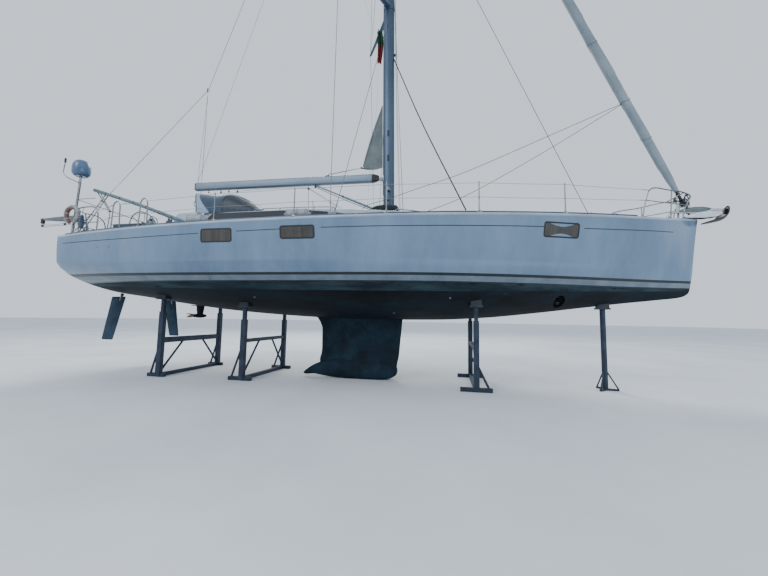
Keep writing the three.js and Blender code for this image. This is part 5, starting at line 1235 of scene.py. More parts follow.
def build_windows():
    for label, sign in SIDES:
        s = Shape()
        for x0, x1, z0, z1 in HULL_WINDOWS:
            window(s, x0 - 0.012, x1 + 0.012, z0 - 0.012, z1 + 0.012, 0.055, 0.03, 0.006,
                   lambda x, z, lift: (x, sign * (skin(x, z) + lift), z))
        s.out("topside_windows_" + label, mats=("tinted", "black"), slot="glass", angle=40)
        s = Shape()

        def band(x, z, lift):
            """The long pane reaches up to the roof's edge and tapers forward."""
            top = ROOF_Z(x) - 0.036 - 0.17 * max(0.0, (x + 1.6) / 1.8) ** 1.5
            t = min(1, min(x + 3.8, 0.2 - x) / 0.11)
            squeeze = max(0.1, math.sqrt(1 - (1 - t) ** 2))
            z = 3.8 + (0.5 + (z - 3.925) / 0.25 * squeeze) * (top - 3.8)
            return (x, sign * roof_side(x, z, lift + 0.002), z)
        # Columns: height before it is fitted to the band, lift off the surface
        rows = ((3.8, -0.004), (3.8, 0.0045), (3.802, 0.006), (3.818, 0.006), (3.82, 0.0045),
                (3.8205, 0.0015), (3.88, 0.0015), (3.97, 0.0015), (4.0295, 0.0015), (4.03, 0.0045),
                (4.032, 0.006), (4.048, 0.006), (4.05, 0.0045), (4.05, -0.004))
        xs = np.concatenate([-3.8 + 0.11 * (1 - np.cos(np.linspace(0, math.pi / 2, 9))),
                             np.linspace(-3.6, 0.02, 50),
                             0.2 - 0.11 * (1 - np.cos(np.linspace(math.pi / 2, 0, 9)))])
        s.loft([[band(x, z, lift) for z, lift in rows] for x in xs],
               [0 if 5 <= k <= 7 else 1 for k in range(len(rows))])
        for x in (-2.4, -1.1):      # opening lights within the band
            window(s, x - 0.23, x + 0.23, 3.84, 4.01, 0.04, 0.014, 0.012,
                   lambda x, z, lift: (x, sign * roof_side(x, z, lift + 0.002), z))
        s.out("roof_windows_" + label, mats=("glass", "black"), slot="glass",
              replaces=("coachroof_window_" + label,), angle=40)


# Deck
def rim(x, sign, inset=0.05):
    y = HALF(x) - inset
    return np.array([x, sign * y, deck_z(x, y)])


def patch(s, xs, inner, outer, lift=0.0015, mat=0, across=6, sign=1):
    """A thin panel that follows the deck between two lines along it."""
    rings = []
    for x in xs:
        ys = np.linspace(inner(x), max(outer(x), inner(x) + 0.01), across)
        rings.append([(x, sign * y, deck_z(x, y) + lift) for y in ys]
                     + [(x, sign * y, deck_z(x, y) - 0.004) for y in ys[::-1]])
    s.loft(rings, mat)


def cleat(s, at, along, size=0.26, mat=0):
    at, along = np.array(at, float), unit(along)
    s.tube([at + along * size * t + (0, 0, 0.045 + 0.018 * t * t * 4) for t in np.linspace(-0.5, 0.5, 11)],
           (0.007, 0.0125, 0.015, 0.0125, 0.007), mat, 10)
    for k in (-1, 1):
        s.tube([at + along * k * 0.055 + (0, 0, -0.003), at + along * k * 0.04 + (0, 0, 0.046)],
               (0.018, 0.012), mat, 10)
        s.tube([at + along * k * 0.055 + (0, 0, -0.003), at + along * k * 0.055 + (0, 0, 0.005)],
               (0.027, 0.023), mat, 14)


# x of the stanchions and of the gate hoops; a hoop's tube as x and z from its middle
STANCHIONS = (-2.91, -1.03, 0.93, 2.76, 4.48)
HOOPS = (-5.5, -4.74)
HOOP_PATH = ((-0.12, -0.01), (-0.10, 0.30), (-0.08, 0.59), (0, 0.66), (0.08, 0.59), (0.10, 0.30),
             (0.12, -0.01))
RAIL_HIGH, RAIL_LOW = 0.61, 0.32        # guard wires above the deck


def build_rails():
    for label, sign in SIDES:
        s = Shape()
        rings = []
        for x in np.linspace(-6.95, 6.1, 90):
            outer = HALF(x) - 0.03
            prof = [(0, -0.006), (0, 0.026), (-0.006, 0.034), (-0.018, 0.0345), (-0.026, 0.028), (-0.04, 0.0),
                    (-0.04, -0.006)]
            rings.append([(x, sign * (outer + d), deck_z(x, outer) + h) for d, h in prof])
        s.loft(rings, 1)
        for x in STANCHIONS:
            p = rim(x, sign)
            s.box(p + (-0.05, -0.034, -0.004), p + (0.05, 0.034, 0.036), 0.006, 0, corner=0.02)
            s.tube([p + (0, 0, 0.03), p + (0, 0, 0.095)], (0.021, 0.0175), 0, 14)
            s.tube([p + (0, 0, 0.08), p + (0, 0, 0.632)], (0.0135, 0.0135, 0.012), 0, 12)
            s.lathe([(0, 0), (0.0145, 0), (0.0145, 0.006), (0.008, 0.012), (0, 0.013)], p + (0, 0, 0.628),
                    mat=0, sides=12)
            s.lathe(collar(0.006, 0.018, 0.004), p + (0, 0, RAIL_LOW), mat=0, sides=12)
        for x in HOOPS:
            p = rim(x, sign)
            s.tube([p + (dx, 0, dz) for dx, dz in HOOP_PATH], 0.014, 0, 12, per=5)
            s.tube([p + (-0.1, 0, 0.3), p + (0.1, 0, 0.3)], 0.009, 0, 8)
            for k in (-1, 1):
                s.lathe([(0, 0), (0.034, 0), (0.032, 0.006), (0.018, 0.01), (0.018, 0.05), (0, 0.052)],
                        p + (k * 0.12, 0, -0.003), mat=0, sides=14)
        s.out("guardrail_fittings_" + label, mats=("steel", "aluminium"), slot="steel",
              replaces=("guardrail_" + label,), angle=40)
        s = Shape()
        for high, aft, fore in ((RAIL_HIGH, (-6.165, 2.19, 4.02), (6.40, 0.88, 4.40)),
                                (RAIL_LOW, (-6.15, 2.19, 3.76), (6.33, 0.88, 4.18))):
            edge = 0.08 if high > 0.5 else 0.1
            first = rim(HOOPS[0] - edge, sign) + (0, 0, high - 0.03)
            s.tube([(aft[0], sign * aft[1], aft[2]), first], 0.0042, 0, 6)
            gate = [rim(HOOPS[0] + edge, sign) + (0, 0, high - 0.03),
                    rim(HOOPS[1] - edge, sign) + (0, 0, high - 0.03)]
            s.tube([gate[0], 0.5 * (gate[0] + gate[1]) + (0, 0, -0.012), gate[1]], 0.0042, 0, 6, per=5)
            line = [rim(HOOPS[1] + edge, sign) + (0, 0, high - 0.02)]
            line += [rim(x, sign) + (0, 0, high) for x in STANCHIONS]
            line.append(np.array([fore[0], sign * fore[1], fore[2]]))
            for a, b in zip(line, line[1:]):
                s.tube([a, 0.5 * (a + b) + (0, 0, -0.006), b], 0.0042, 0, 6, per=4)
            for at, other in ((first, aft), (gate[0], gate[1]), (line[-1], line[-2])):
                other = np.array([other[0], sign * abs(other[1]), other[2]])
                way = unit(other - at)
                s.tube([at + way * 0.02, at + way * 0.05, at + way * 0.15, at + way * 0.2],
                       (0.004, 0.008, 0.008, 0.004), 1, 8)
        s.out("guard_wires_" + label, mats=("rope_white", "steel"), slot="steel", angle=50)


# Columns: x, y, z on the port side
PULPIT_PATH = ((6.42, 0.88, 4.42), (6.90, 0.64, 4.47), (7.38, 0.33, 4.50), (7.56, 0.23, 4.44),
               (7.47, 0.19, 4.20), (7.42, 0.17, 3.95))


def build_pulpit():
    s = Shape()
    for _, sign in SIDES:
        side = lambda p: (p[0], sign * p[1], p[2])
        z = deck_z(6.25, 0.88)
        s.tube([side(p) for p in ((6.25, 0.88, z - 0.01), (6.31, 0.88, z + 0.32), *PULPIT_PATH)], 0.0145, 0,
               14, per=7)
        s.tube([side((6.33, 0.88, 4.18)), side((7.45, 0.24, 4.24))], 0.0105, 0, 10)
        s.tube([side((6.96, 0.56, deck_z(6.96, 0.5) - 0.01)), side((6.98, 0.6, 4.462))], 0.0125, 0, 12)
        for x, y in ((6.25, 0.88), (6.96, 0.56), (7.42, 0.17)):
            at = side((x, min(y, HALF(x) - 0.04), deck_z(x, min(y, HALF(x) - 0.04)) - 0.004))
            s.lathe([(0, 0), (0.038, 0), (0.036, 0.008), (0.02, 0.012), (0.019, 0.04), (0, 0.042)], at, mat=0,
                    sides=16)
        for x, y, z in ((6.33, 0.88, 4.18), (6.97, 0.58, 4.21), (7.45, 0.24, 4.24)):
            s.lathe(collar(0.006, 0.0175, 0.012), side((x, y, z)), (1, -0.3 * sign, 0), 0, 12)
    s.tube([(7.38, -0.33, 4.5), (7.38, 0.33, 4.5)], 0.013, 0, 12)
    # navigation light under the cross bar
    s.box((7.36, -0.035, 4.405), (7.43, 0.035, 4.485), 0.012, 1)
    for y, mat in ((-0.036, 2), (0.036, 3)):
        s.box((7.385, y - 0.006, 4.425), (7.425, y + 0.006, 4.465), 0.005, mat)
    s.out("pulpit_rail", mats=("steel", "black", "pale_green", "buoy_red"), slot="steel",
          replaces=("pulpit",), angle=40)


RAIL_TOP = 4.2863       # top of the companionway hatch's slide rails


def build_deck_gear():
    s = Shape()
    for _, sign in SIDES:       # non-slip panels
        for a, b in ((-3.9, -2.2), (-2.12, -0.4), (-0.32, 1.4), (1.48, 3.2)):
            patch(s, np.linspace(a, b, 14), lambda x: ROOF_BASE(x) + 0.05, lambda x: HALF(x) - 0.13,
                  sign=sign)
        for a, b in ((3.62, 3.83), (4.65, 5.5), (5.56, 6.12)):
            patch(s, np.linspace(a, b, 8), lambda x: 0.025, lambda x: HALF(x) - 0.13, sign=sign)
        patch(s, np.linspace(3.9, 4.58, 5), lambda x: 0.43, lambda x: HALF(x) - 0.13, sign=sign)
        for a, b in ((-3.2, -1.5), (-1.42, -0.2), (1.1, 1.85)):
            rings = []
            for x in np.linspace(a, b, 10):
                ys = np.linspace(0.46 if x < -2.8 else 0.3, ROOF_TOP(x) - 0.14, 8)
                rings.append([(x, sign * y, roof_top(x, y) + 0.0015) for y in ys]
                             + [(x, sign * y, roof_top(x, y) - 0.004) for y in ys[::-1]])
            s.loft(rings, 0)
    s.out("nonslip_panels", mats=("nonslip",), slot="deck", angle=30)
    s = Shape()
    seat = lambda a, b, y0, y1, sign: patch(s, np.linspace(a, b, 6), lambda x: y0, lambda x: y1, 0.006, 0, 6,
                                            sign)
    for _, sign in SIDES:
        seat(-5.46, -4.1, 0.65, 1.30, sign)
        seat(-6.72, -5.56, 1.76, 2.16, sign)
    for lo, hi in (((-5.47, -0.59, 2.998), (-4.08, 0.59, 3.006)),
                   ((-6.72, -1.69, 2.998), (-5.53, 1.69, 3.006))):
        s.box(lo, hi, 0.002, 0)
    s.out("teak_laid", mats=("teak",), slot="teak", angle=30)
    s = Shape()
    for _, sign in SIDES:
        for x, y in ((5.75, HALF(5.75) - 0.15), (0.35, HALF(0.35) - 0.14), (-6.45, HALF(-6.45) - 0.09)):
            tilt = (HALF(x + 0.1) - HALF(x - 0.1)) / 0.2
            cleat(s, (x, sign * y, deck_z(x, y)), (1, sign * tilt, 0))
        # genoa track with its car on the side deck, and the coachroof's grab rails
        rings = []
        track = ((-0.016, -0.004), (-0.016, 0.008), (-0.009, 0.012), (-0.014, 0.022),
                 (0.014, 0.022), (0.009, 0.012), (0.016, 0.008), (0.016, -0.004))
        for x in np.linspace(-1.9, 0.9, 16):
            y = ROOF_BASE(x) + 0.11
            z = deck_z(x, y)
            rings.append([(x, sign * (y + d), z + h) for d, h in track])
        s.loft(rings, 1)
        y = ROOF_BASE(-0.3) + 0.11
        z = deck_z(-0.3, y)
        s.box((-0.38, sign * y - 0.024, z + 0.006), (-0.22, sign * y + 0.024, z + 0.04), 0.008, 1)
        block(s, (-0.3, sign * y, z + 0.075), (0.1, 1, 0), 0.038, 2, 0)
        rail = lambda x, h: (x, sign * (ROOF_TOP(x) - 0.09), roof_top(x, ROOF_TOP(x) - 0.09) + h)
        for a, b in ((-2.5, -0.55), (0.9, 1.9)):
            n = max(2, round((b - a) / 0.55) + 1)
            feet = np.linspace(a + 0.08, b - 0.08, n)
            s.tube([rail(a, -0.002), rail(a + 0.03, 0.045), rail(a + 0.08, 0.062),
                    *[rail(x, 0.062) for x in np.linspace(a + 0.2, b - 0.2, 8)], rail(b - 0.08, 0.062),
                    rail(b - 0.03, 0.045), rail(b, -0.002)], 0.012, 0, 10, per=3)
            for x in feet:
                s.tube([rail(x, -0.004), rail(x, 0.06)], (0.016, 0.011), 0, 10)
        # halyard winch and clutches at the aft end of the coachroof, lines led aft from the mast
        at = (-3.62, sign * 0.86, roof_top(-3.62, 0.86) - 0.002)
        winch(s, at, 0.85, 0, 2)
        for k in range(4):
            y = 0.68 + 0.062 * k
            z = roof_top(-3.15, y)
            s.box((-3.25, sign * y - 0.025, z - 0.004), (-3.05, sign * y + 0.025, z + 0.055), 0.012, 2)
            s.box((-3.235, sign * y - 0.018, z + 0.052), (-3.13, sign * y + 0.018, z + 0.072), 0.008, 1)
            s.tube([(-3.5, sign * y, z + 0.045), (-3.25, sign * y, z + 0.03),
                    (-1.2, sign * (0.36 + 0.05 * k), roof_top(-1.2, 0.4) + 0.012),
                    (0.2, sign * (0.2 + 0.045 * k), roof_top(0.2, 0.3) + 0.02)], 0.0058, 4 if k % 2 else 3, 6,
                   per=8)
        s.box((0.12, sign * 0.17, roof_top(0.2, 0.25) - 0.006),
              (0.26, sign * 0.38, roof_top(0.2, 0.25) + 0.05), 0.012, 1)
        s.box((-3.99, sign * 0.371, 4.15), (-2.9, sign * 0.409, RAIL_TOP), 0.004, 5)    # slide rails
    s.box((-2.93, -0.409, 4.15), (-2.89, 0.409, RAIL_TOP - 0.002), 0.004, 5)
    # flush roof hatches. Columns: x, y, half length, half width
    for x, y, a, b in ((2.35, 0, 0.26, 0.26), (-0.75, 0, 0.24, 0.27), (1.42, 0.3, 0.2, 0.2),
                       (1.42, -0.3, 0.2, 0.2)):
        z = max(roof_top(x - a, y), roof_top(x + a, y))
        low = min(roof_top(x - a, abs(y) + b), roof_top(x + a, abs(y) + b))
        s.box((x - a, y - b, low - 0.01), (x + a, y + b, z + 0.014), 0.006, 1, corner=0.05)
        s.box((x - a + 0.022, y - b + 0.022, z + 0.01), (x + a - 0.022, y + b - 0.022, z + 0.018), 0.004, 6,
              corner=0.035)
        for k in (-1, 1):
            s.box((x - a - 0.01, y + k * b * 0.5 - 0.02, z - 0.004),
                  (x - a + 0.02, y + k * b * 0.5 + 0.02, z + 0.02), 0.006, 2)
    # chain stopper and chain between the locker and the shank
    s.box((6.99, -0.13, deck_z(7.05, 0.1) - 0.012), (7.12, -0.04, deck_z(7.05, 0.1) + 0.022), 0.006, 0)
    s.tube([(7.055, -0.125, deck_z(7.05, 0.1) + 0.02), (7.055, -0.11, deck_z(7.05, 0.1) + 0.075),
            (7.055, -0.06, deck_z(7.05, 0.1) + 0.075), (7.055, -0.045, deck_z(7.05, 0.1) + 0.02)], 0.007, 0,
           8, per=4)
    a, b = np.array([6.93, ANCHOR_Y, deck_z(6.93, ANCHOR_Y) + 0.008]), np.array([7.235, ANCHOR_Y, 4.118])
    n = 12
    for k in range(n + 1):
        t = k / n
        c = a + (b - a) * t + (0, 0, -0.04 * math.sin(math.pi * t))
        c[2] = max(c[2], deck_z(c[0], ANCHOR_Y) + 0.008)
        flat = np.array([0, 1.0, 0]) if k % 2 else np.array([0, 0, 1.0])
        along = unit(b - a)
        s.tube([c + along * 0.017 * math.cos(w) + flat * 0.0095 * math.sin(w) for w in turns(12)],
               0.0042, 7, 6, closed=True)
    s.out("deck_fittings", mats=("steel", "aluminium", "black", "rope_white", "rope_dark", "deck", "glass",
                                 "galvanised"), slot="aluminium", angle=40)


def winch(s, at, k=1.0, metal=0, dark=1):
    """A winch drum on its base, k times the usual size."""
    at = np.array(at, float)
    base = [(0, 0), (0.082, 0), (0.082, 0.012), (0.074, 0.02), (0.066, 0.03), (0.054, 0.036), (0.048, 0.06),
            (0.047, 0.085), (0.05, 0.1), (0.058, 0.112)]
    jaws = [(0.068, 0.118), (0.07, 0.124), (0.055, 0.129), (0.07, 0.134), (0.068, 0.14), (0.05, 0.148),
            (0.018, 0.15), (0.012, 0.144), (0, 0.144)]
    s.lathe([(r * k, h * k) for r, h in base + jaws], at, mat=metal, sides=28)
    for n in range(18):     # knurls on the drum
        a = n * math.pi / 9
        way = np.array([math.cos(a), math.sin(a), 0])
        s.tube([at + k * (way * 0.0475 + (0, 0, 0.052)), at + k * (way * 0.0475 + (0, 0, 0.098))], 0.0022 * k,
               metal, 4)
    s.tube([at + k * np.array([0.04, 0, 0.128]), at + k * np.array([0.088, 0.006, 0.126])],
           (0.009 * k, 0.006 * k), dark, 8)


def build_hatch_lids():
    lids = (("foredeck_lid", "foredeck_hatch_lid", True), ("locker_lid", "locker_lid_panel", False))
    for (node, aft, fore, half, _), (body, name, panes) in zip(HATCHES, lids):
        s = Shape()
        z = hatch_top(aft, fore)
        low, top = z + 0.0006, z + 0.0265
        s.box((aft - 0.047, -half - 0.04, low), (fore + 0.03, half + 0.04, top), 0.008, 0, corner=0.06)
        if panes:
            s.box((aft - 0.012, -half - 0.005, top - 0.004), (fore - 0.006, half + 0.005, top + 0.003), 0.003,
                  1, corner=0.04)
            for y in (-0.17, 0.17):
                s.box((aft - 0.03, y - 0.02, top - 0.002), (aft + 0.012, y + 0.02, top + 0.012), 0.005, 2)
        else:
            s.box((aft, -half + 0.02, top - 0.003), (fore - 0.03, half - 0.02, top + 0.0012), 0.001, 3,
                  corner=0.04)
            s.box((aft - 0.02, -0.03, top - 0.002), (aft + 0.03, 0.03, top + 0.003), 0.002, 4, corner=0.012)
            s.lathe([(0, 0), (0.014, 0), (0.014, 0.003), (0, 0.003)], (aft + 0.005, 0, top + 0.002), mat=2,
                    sides=16)
        hinge = fore + 0.035
        for y0, y1 in ((-half * 0.8, -half * 0.35), (half * 0.35, half * 0.8)):
            s.tube([(hinge, y0, z + 0.0135), (hinge, y1, z + 0.0135)], 0.0126, 4, 14)
        s.tube([(hinge, -half - 0.036, z + 0.0135), (hinge, half + 0.036, z + 0.0135)], 0.006, 4, 10)
        s.out(name, body, ("aluminium" if panes else "deck", "glass", "black", "nonslip", "steel"),
              "glass" if panes else "deck", (node,), 35)
    s = Shape()
    low, top = RAIL_TOP + 0.0006, RAIL_TOP + 0.0285
    rings = []
    for x in np.linspace(-4.04, -3.38, 12):
        ys = np.linspace(-0.41, 0.41, 14)
        crown = lambda y: top - 0.008 * (y / 0.41) ** 2
        rings.append([(x, y, crown(y)) for y in ys] + [(x, y, low) for y in ys[::-1]])
    s.loft(rings, 0)
    s.box((-4.02, -0.33, top - 0.006), (-3.42, 0.33, top - 0.0005), 0.002, 1, corner=0.04)
    s.box((-4.03, -0.12, top - 0.006), (-3.99, 0.12, top + 0.022), 0.01, 2)
    s.out("companionway_slide_lid", "companionway_lid", ("deck", "glass", "teak"), "glass",
          ("companionway_hatch",), 30)


ANCHOR_Y = -0.085       # the anchor lies beside the centreline


def build_bow():
    s = Shape()
    for y0, y1 in ((-0.160, -0.148), (-0.022, -0.010)):
        prof = [(7.48, 3.975), (7.9, 3.96), (8.12, 3.985), (8.215, 4.03), (8.228, 4.06), (8.19, 4.092),
                (7.86, 4.095), (7.6, 4.05), (7.48, 4.0)]
        s.loft([[(x, y, z) for x, z in prof] for y in (y0, y1)], 0)
    s.box((7.48, -0.155, 3.99), (7.90, 0.012, 4.004), 0.002, 0)
    s.lathe([(0, -0.07), (0.031, -0.07), (0.032, -0.05), (0.018, -0.015), (0.018, 0.015), (0.032, 0.05),
             (0.031, 0.07), (0, 0.07)], (8.18, ANCHOR_Y, 4.04), (0, 1, 0), 1, 24)
    s.tube([(8.18, -0.168, 4.04), (8.18, -0.002, 4.04)], 0.009, 0, 12)
    s.box((7.63, -0.008, 4.0), (7.69, 0.008, 4.098), 0.003, 0)
    s.tube([(7.9, -0.168, 4.085), (7.9, -0.002, 4.085)], 0.006, 0, 10)
    s.out("stem_fitting", mats=("steel", "black"), slot="steel", replaces=("bow_roller",), angle=35)
    s = Shape()
    # shank. Columns: x, low edge, high edge
    shank = ((7.215, 4.112, 4.14), (7.24, 4.101, 4.152), (7.62, 4.086, 4.167), (7.95, 4.079, 4.182),
             (8.18, 4.0735, 4.187), (8.3, 4.08, 4.172), (8.35, 4.082, 4.15))
    s.loft([[(x, ANCHOR_Y + d * 0.015, z) for d, z in ((-1, lo + 0.004), (-0.5, lo), (0.5, lo),
                                                       (1, lo + 0.004), (1, hi - 0.004), (0.5, hi),
                                                       (-0.5, hi), (-1, hi - 0.004))] for x, lo, hi in shank],
           0)
    s.lathe(collar(0.010, 0.024, 0.018), (7.24, ANCHOR_Y, 4.127), (0, 1, 0), 0, 18)
    # fluke: a dished blade that runs down and aft from the crown. Columns: x, z, half width
    rings = []
    line = smooth_path([(8.375, 4.235, 0.02), (8.38, 4.205, 0.06), (8.35, 4.11, 0.14), (8.30, 3.99, 0.185),
                        (8.235, 3.915, 0.188), (8.08, 3.87, 0.15), (7.93, 3.84, 0.09), (7.84, 3.828, 0.03),
                        (7.825, 3.827, 0.008)], 4)
    for k, (x, z, half) in enumerate(line):
        way = heading(line, k)
        dx, _, dz = unit((way[0], 0, way[1]))
        ring = []
        for side in (1, -1):
            for t in np.linspace(-1, 1, 11)[::side]:
                dish = 0.05 * t * t * half / 0.19 + side * 0.008
                ring.append((x + dz * dish, ANCHOR_Y + t * half, z - dx * dish))
        rings.append(ring)
    s.loft(rings, 1)
    s.box((8.29, -0.11, 4.05), (8.38, -0.06, 4.17), 0.012, 1)
    # guard over the shank, dark above and pale below. Columns: x, low, high, half width
    guard = ((7.40, 4.118, 4.16, 0.018), (7.46, 4.105, 4.19, 0.028), (7.6, 4.10, 4.225, 0.034),
             (7.75, 4.10, 4.24, 0.036), (7.9, 4.115, 4.235, 0.032), (8.0, 4.14, 4.215, 0.024),
             (8.04, 4.16, 4.20, 0.017))
    rings = []
    for x, lo, hi, w in guard:
        mid, tall = 0.5 * (lo + hi), 0.5 * (hi - lo)
        rings.append([(x, ANCHOR_Y + w * math.cos(a), mid + tall * math.sin(a)) for a in turns(20)])
    s.loft(rings, [2] * 12 + [3] * 7 + [2])
    s.out("stowed_anchor", mats=("galvanised", "black", "mainsail", "gelcoat"), slot="galvanised",
          replaces=("anchor",), angle=50)
    s = Shape()
    # pale sleeve under the drum
    s.tube([(7.435, 0, 4.13), (7.435, 0, 4.36)], (0.036, 0.042, 0.042, 0.036), 0, 20)
    s.tube([(7.435, 0, deck_z(7.43, 0) - 0.01), (7.435, 0, 4.15)], 0.02, 1, 12)
    s.out("tack_sleeve", mats=("pale_green", "steel"), slot="fender", angle=50)


def build_inside():
    s = Shape()
    for k in range(5):
        x, z = -3.72 + 0.2 * k, 3.22 - 0.235 * k
        s.box((x - 0.02, -0.27, z - 0.03), (x + 0.2, 0.27, z), 0.008, 0)
    for y in (-0.285, 0.285):
        s.loft([[(x, y - 0.012, z), (x + 0.16, y - 0.012, z), (x + 0.16, y + 0.012, z), (x, y + 0.012, z)]
                for x, z in ((-3.78, 3.25), (-2.9, 2.22))], 0)
    s.out("companionway_steps", mats=("wood",), slot="teak", angle=35)


# Stern and cockpit
# Columns: x, y, z on the port side
STERN_RAIL = ((-6.15, 2.19, 3.46), (-6.15, 2.19, 4.0), (-6.26, 2.18, 4.13), (-6.78, 2.14, 4.14),
              (-6.96, 2.0, 4.14), (-7.01, 1.8, 4.13), (-7.01, 1.45, 4.13), (-7.01, 1.28, 4.0),
              (-7.01, 1.27, 3.42))
# Columns: x, z
DAVIT_ARM = ((-6.89, 3.41), (-6.93, 3.82), (-7.05, 3.955), (-7.7, 3.99), (-8.34, 4.01))


def foot(s, x, y, mat=0, r=0.036):
    s.lathe([(0, 0), (r, 0), (r * 0.95, 0.007), (r * 0.55, 0.011), (r * 0.53, 0.045), (0, 0.047)],
            (x, y, deck_z(x, y) - 0.004), mat=mat, sides=16)


def build_pushpits():
    for label, sign in SIDES:
        side = lambda x, y, z: (x, sign * y, z)
        s = Shape()
        s.tube([side(*p) for p in STERN_RAIL], 0.0145, 0, 14, per=6)
        s.tube([side(-6.15, 2.19, 3.76), side(-6.45, 2.165, 3.77), side(-6.78, 2.12, 3.77),
                side(-6.955, 1.98, 3.77), side(-7.01, 1.78, 3.77), side(-7.01, 1.27, 3.77)], 0.0105, 0, 10,
               per=4)
        s.tube([side(-6.78, 2.10, 3.42), side(-6.78, 2.14, 4.14)], 0.013, 0, 12)
        for x, y in ((-6.15, 2.19), (-6.78, 2.10), (-7.01, 1.27)):
            foot(s, x, sign * y)
        for x, y, z in ((-6.15, 2.19, 3.76), (-6.78, 2.12, 3.77), (-7.01, 1.27, 3.77)):
            s.lathe(collar(0.006, 0.018, 0.013), side(x, y, z), (1, 0.2, 0), 0, 12)
        # davit: bent tube with a deep plate arm that tapers to its tip
        s.tube([side(x, 1.8, z) for x, z in DAVIT_ARM], 0.0275, 0, 16, per=6)
        blade = ((-7.10, 3.90, 4.06), (-7.2, 3.905, 4.085), (-7.6, 3.93, 4.075), (-8.0, 3.96, 4.055),
                 (-8.36, 3.985, 4.032))
        s.loft([[side(x, 1.8 + d, z) for d, z in ((-0.014, lo), (0.014, lo), (0.030, lo + 0.3 * (hi - lo)),
                                                  (0.018, hi), (-0.018, hi), (-0.030, lo + 0.3 * (hi - lo)))]
                for x, lo, hi in blade], 0)
        s.tube([side(-6.935, 1.8, 3.84), side(-7.01, 1.8, 4.13)], 0.016, 0, 12)
        s.tube([side(-7.08, 1.8, 3.42), side(-7.42, 1.8, 3.965)], 0.0135, 0, 12)
        s.lathe(collar(0.028, 0.036, 0.03), side(-7.4, 1.8, 3.975), (1, 0, 0), 0, 18)
        for x in (-6.89, -7.08):
            foot(s, x, sign * 1.8, r=0.05)
        s.box(side(-8.38, 1.77, 3.9), side(-8.30, 1.83, 4.04), 0.01, 1)
        # tackle of the davit, made up on the arm
        block(s, side(-8.34, 1.8, 3.845), (0.2, 1, 0), 0.04, 1, 0)
        block(s, side(-7.62, 1.8, 3.865), (0.1, 1, 0), 0.034, 1, 0)
        s.tube([side(-8.34, 1.8, 3.81), side(-8.0, 1.8, 3.83), side(-7.62, 1.8, 3.835)], 0.005, 2, 6, per=6)
        s.tube([side(-8.33, 1.79, 3.88), side(-8.0, 1.79, 3.86), side(-7.62, 1.79, 3.895)], 0.005, 2, 6,
               per=6)
        s.tube([side(-7.59, 1.8, 3.86), side(-7.2, 1.8, 3.84), side(-7.0, 1.8, 3.7), side(-6.93, 1.8, 3.66)],
               0.005, 2, 6, per=5)
        s.box(np.array(side(-6.99, 1.8, 3.62)) - (0, 0.02, 0),
              np.array(side(-6.91, 1.8, 3.70)) + (0, 0.02, 0), 0.008, 1)
        s.out("pushpit_rails_" + label, mats=("steel", "black", "rope_dark"), slot="steel",
              replaces=("pushpit_" + label,), angle=40)
    s = Shape()
    # transom corner fitting and shore-power inlet on the starboard quarter
    s.box((-7.19, -2.16, 3.2), (-7.145, -1.95, 3.32), 0.014, 0)
    s.box((-7.215, -2.1, 3.225), (-7.18, -2.0, 3.3), 0.012, 1)
    s.lathe([(0.0, 0), (0.026, 0), (0.026, 0.03), (0.018, 0.036), (0.0, 0.036)], (-7.19, -2.05, 3.262),
            (-1, 0, 0), 0, 18)
    for y in (-1.35, 1.35):      # platform side latches
        s.box((-7.166, y - 0.03, 3.22), (-7.146, y + 0.03, 3.3), 0.006, 2)
    s.out("transom_fittings", mats=("black", "rubber", "steel"), slot="rubber", angle=40)


DOME_X, DOME_Y = -6.9, -2.08
# Columns: radius, height
DOME = ((0, 0), (0.148, 0), (0.152, 0.004), (0.172, 0.026), (0.184, 0.05), (0.19, 0.12), (0.19, 0.1475),
        (0.1872, 0.149), (0.1872, 0.153), (0.1896, 0.1545), (0.188, 0.20), (0.184, 0.243), (0.174, 0.286),
        (0.158, 0.32), (0.135, 0.352), (0.105, 0.378), (0.07, 0.394), (0.035, 0.402), (0, 0.404))


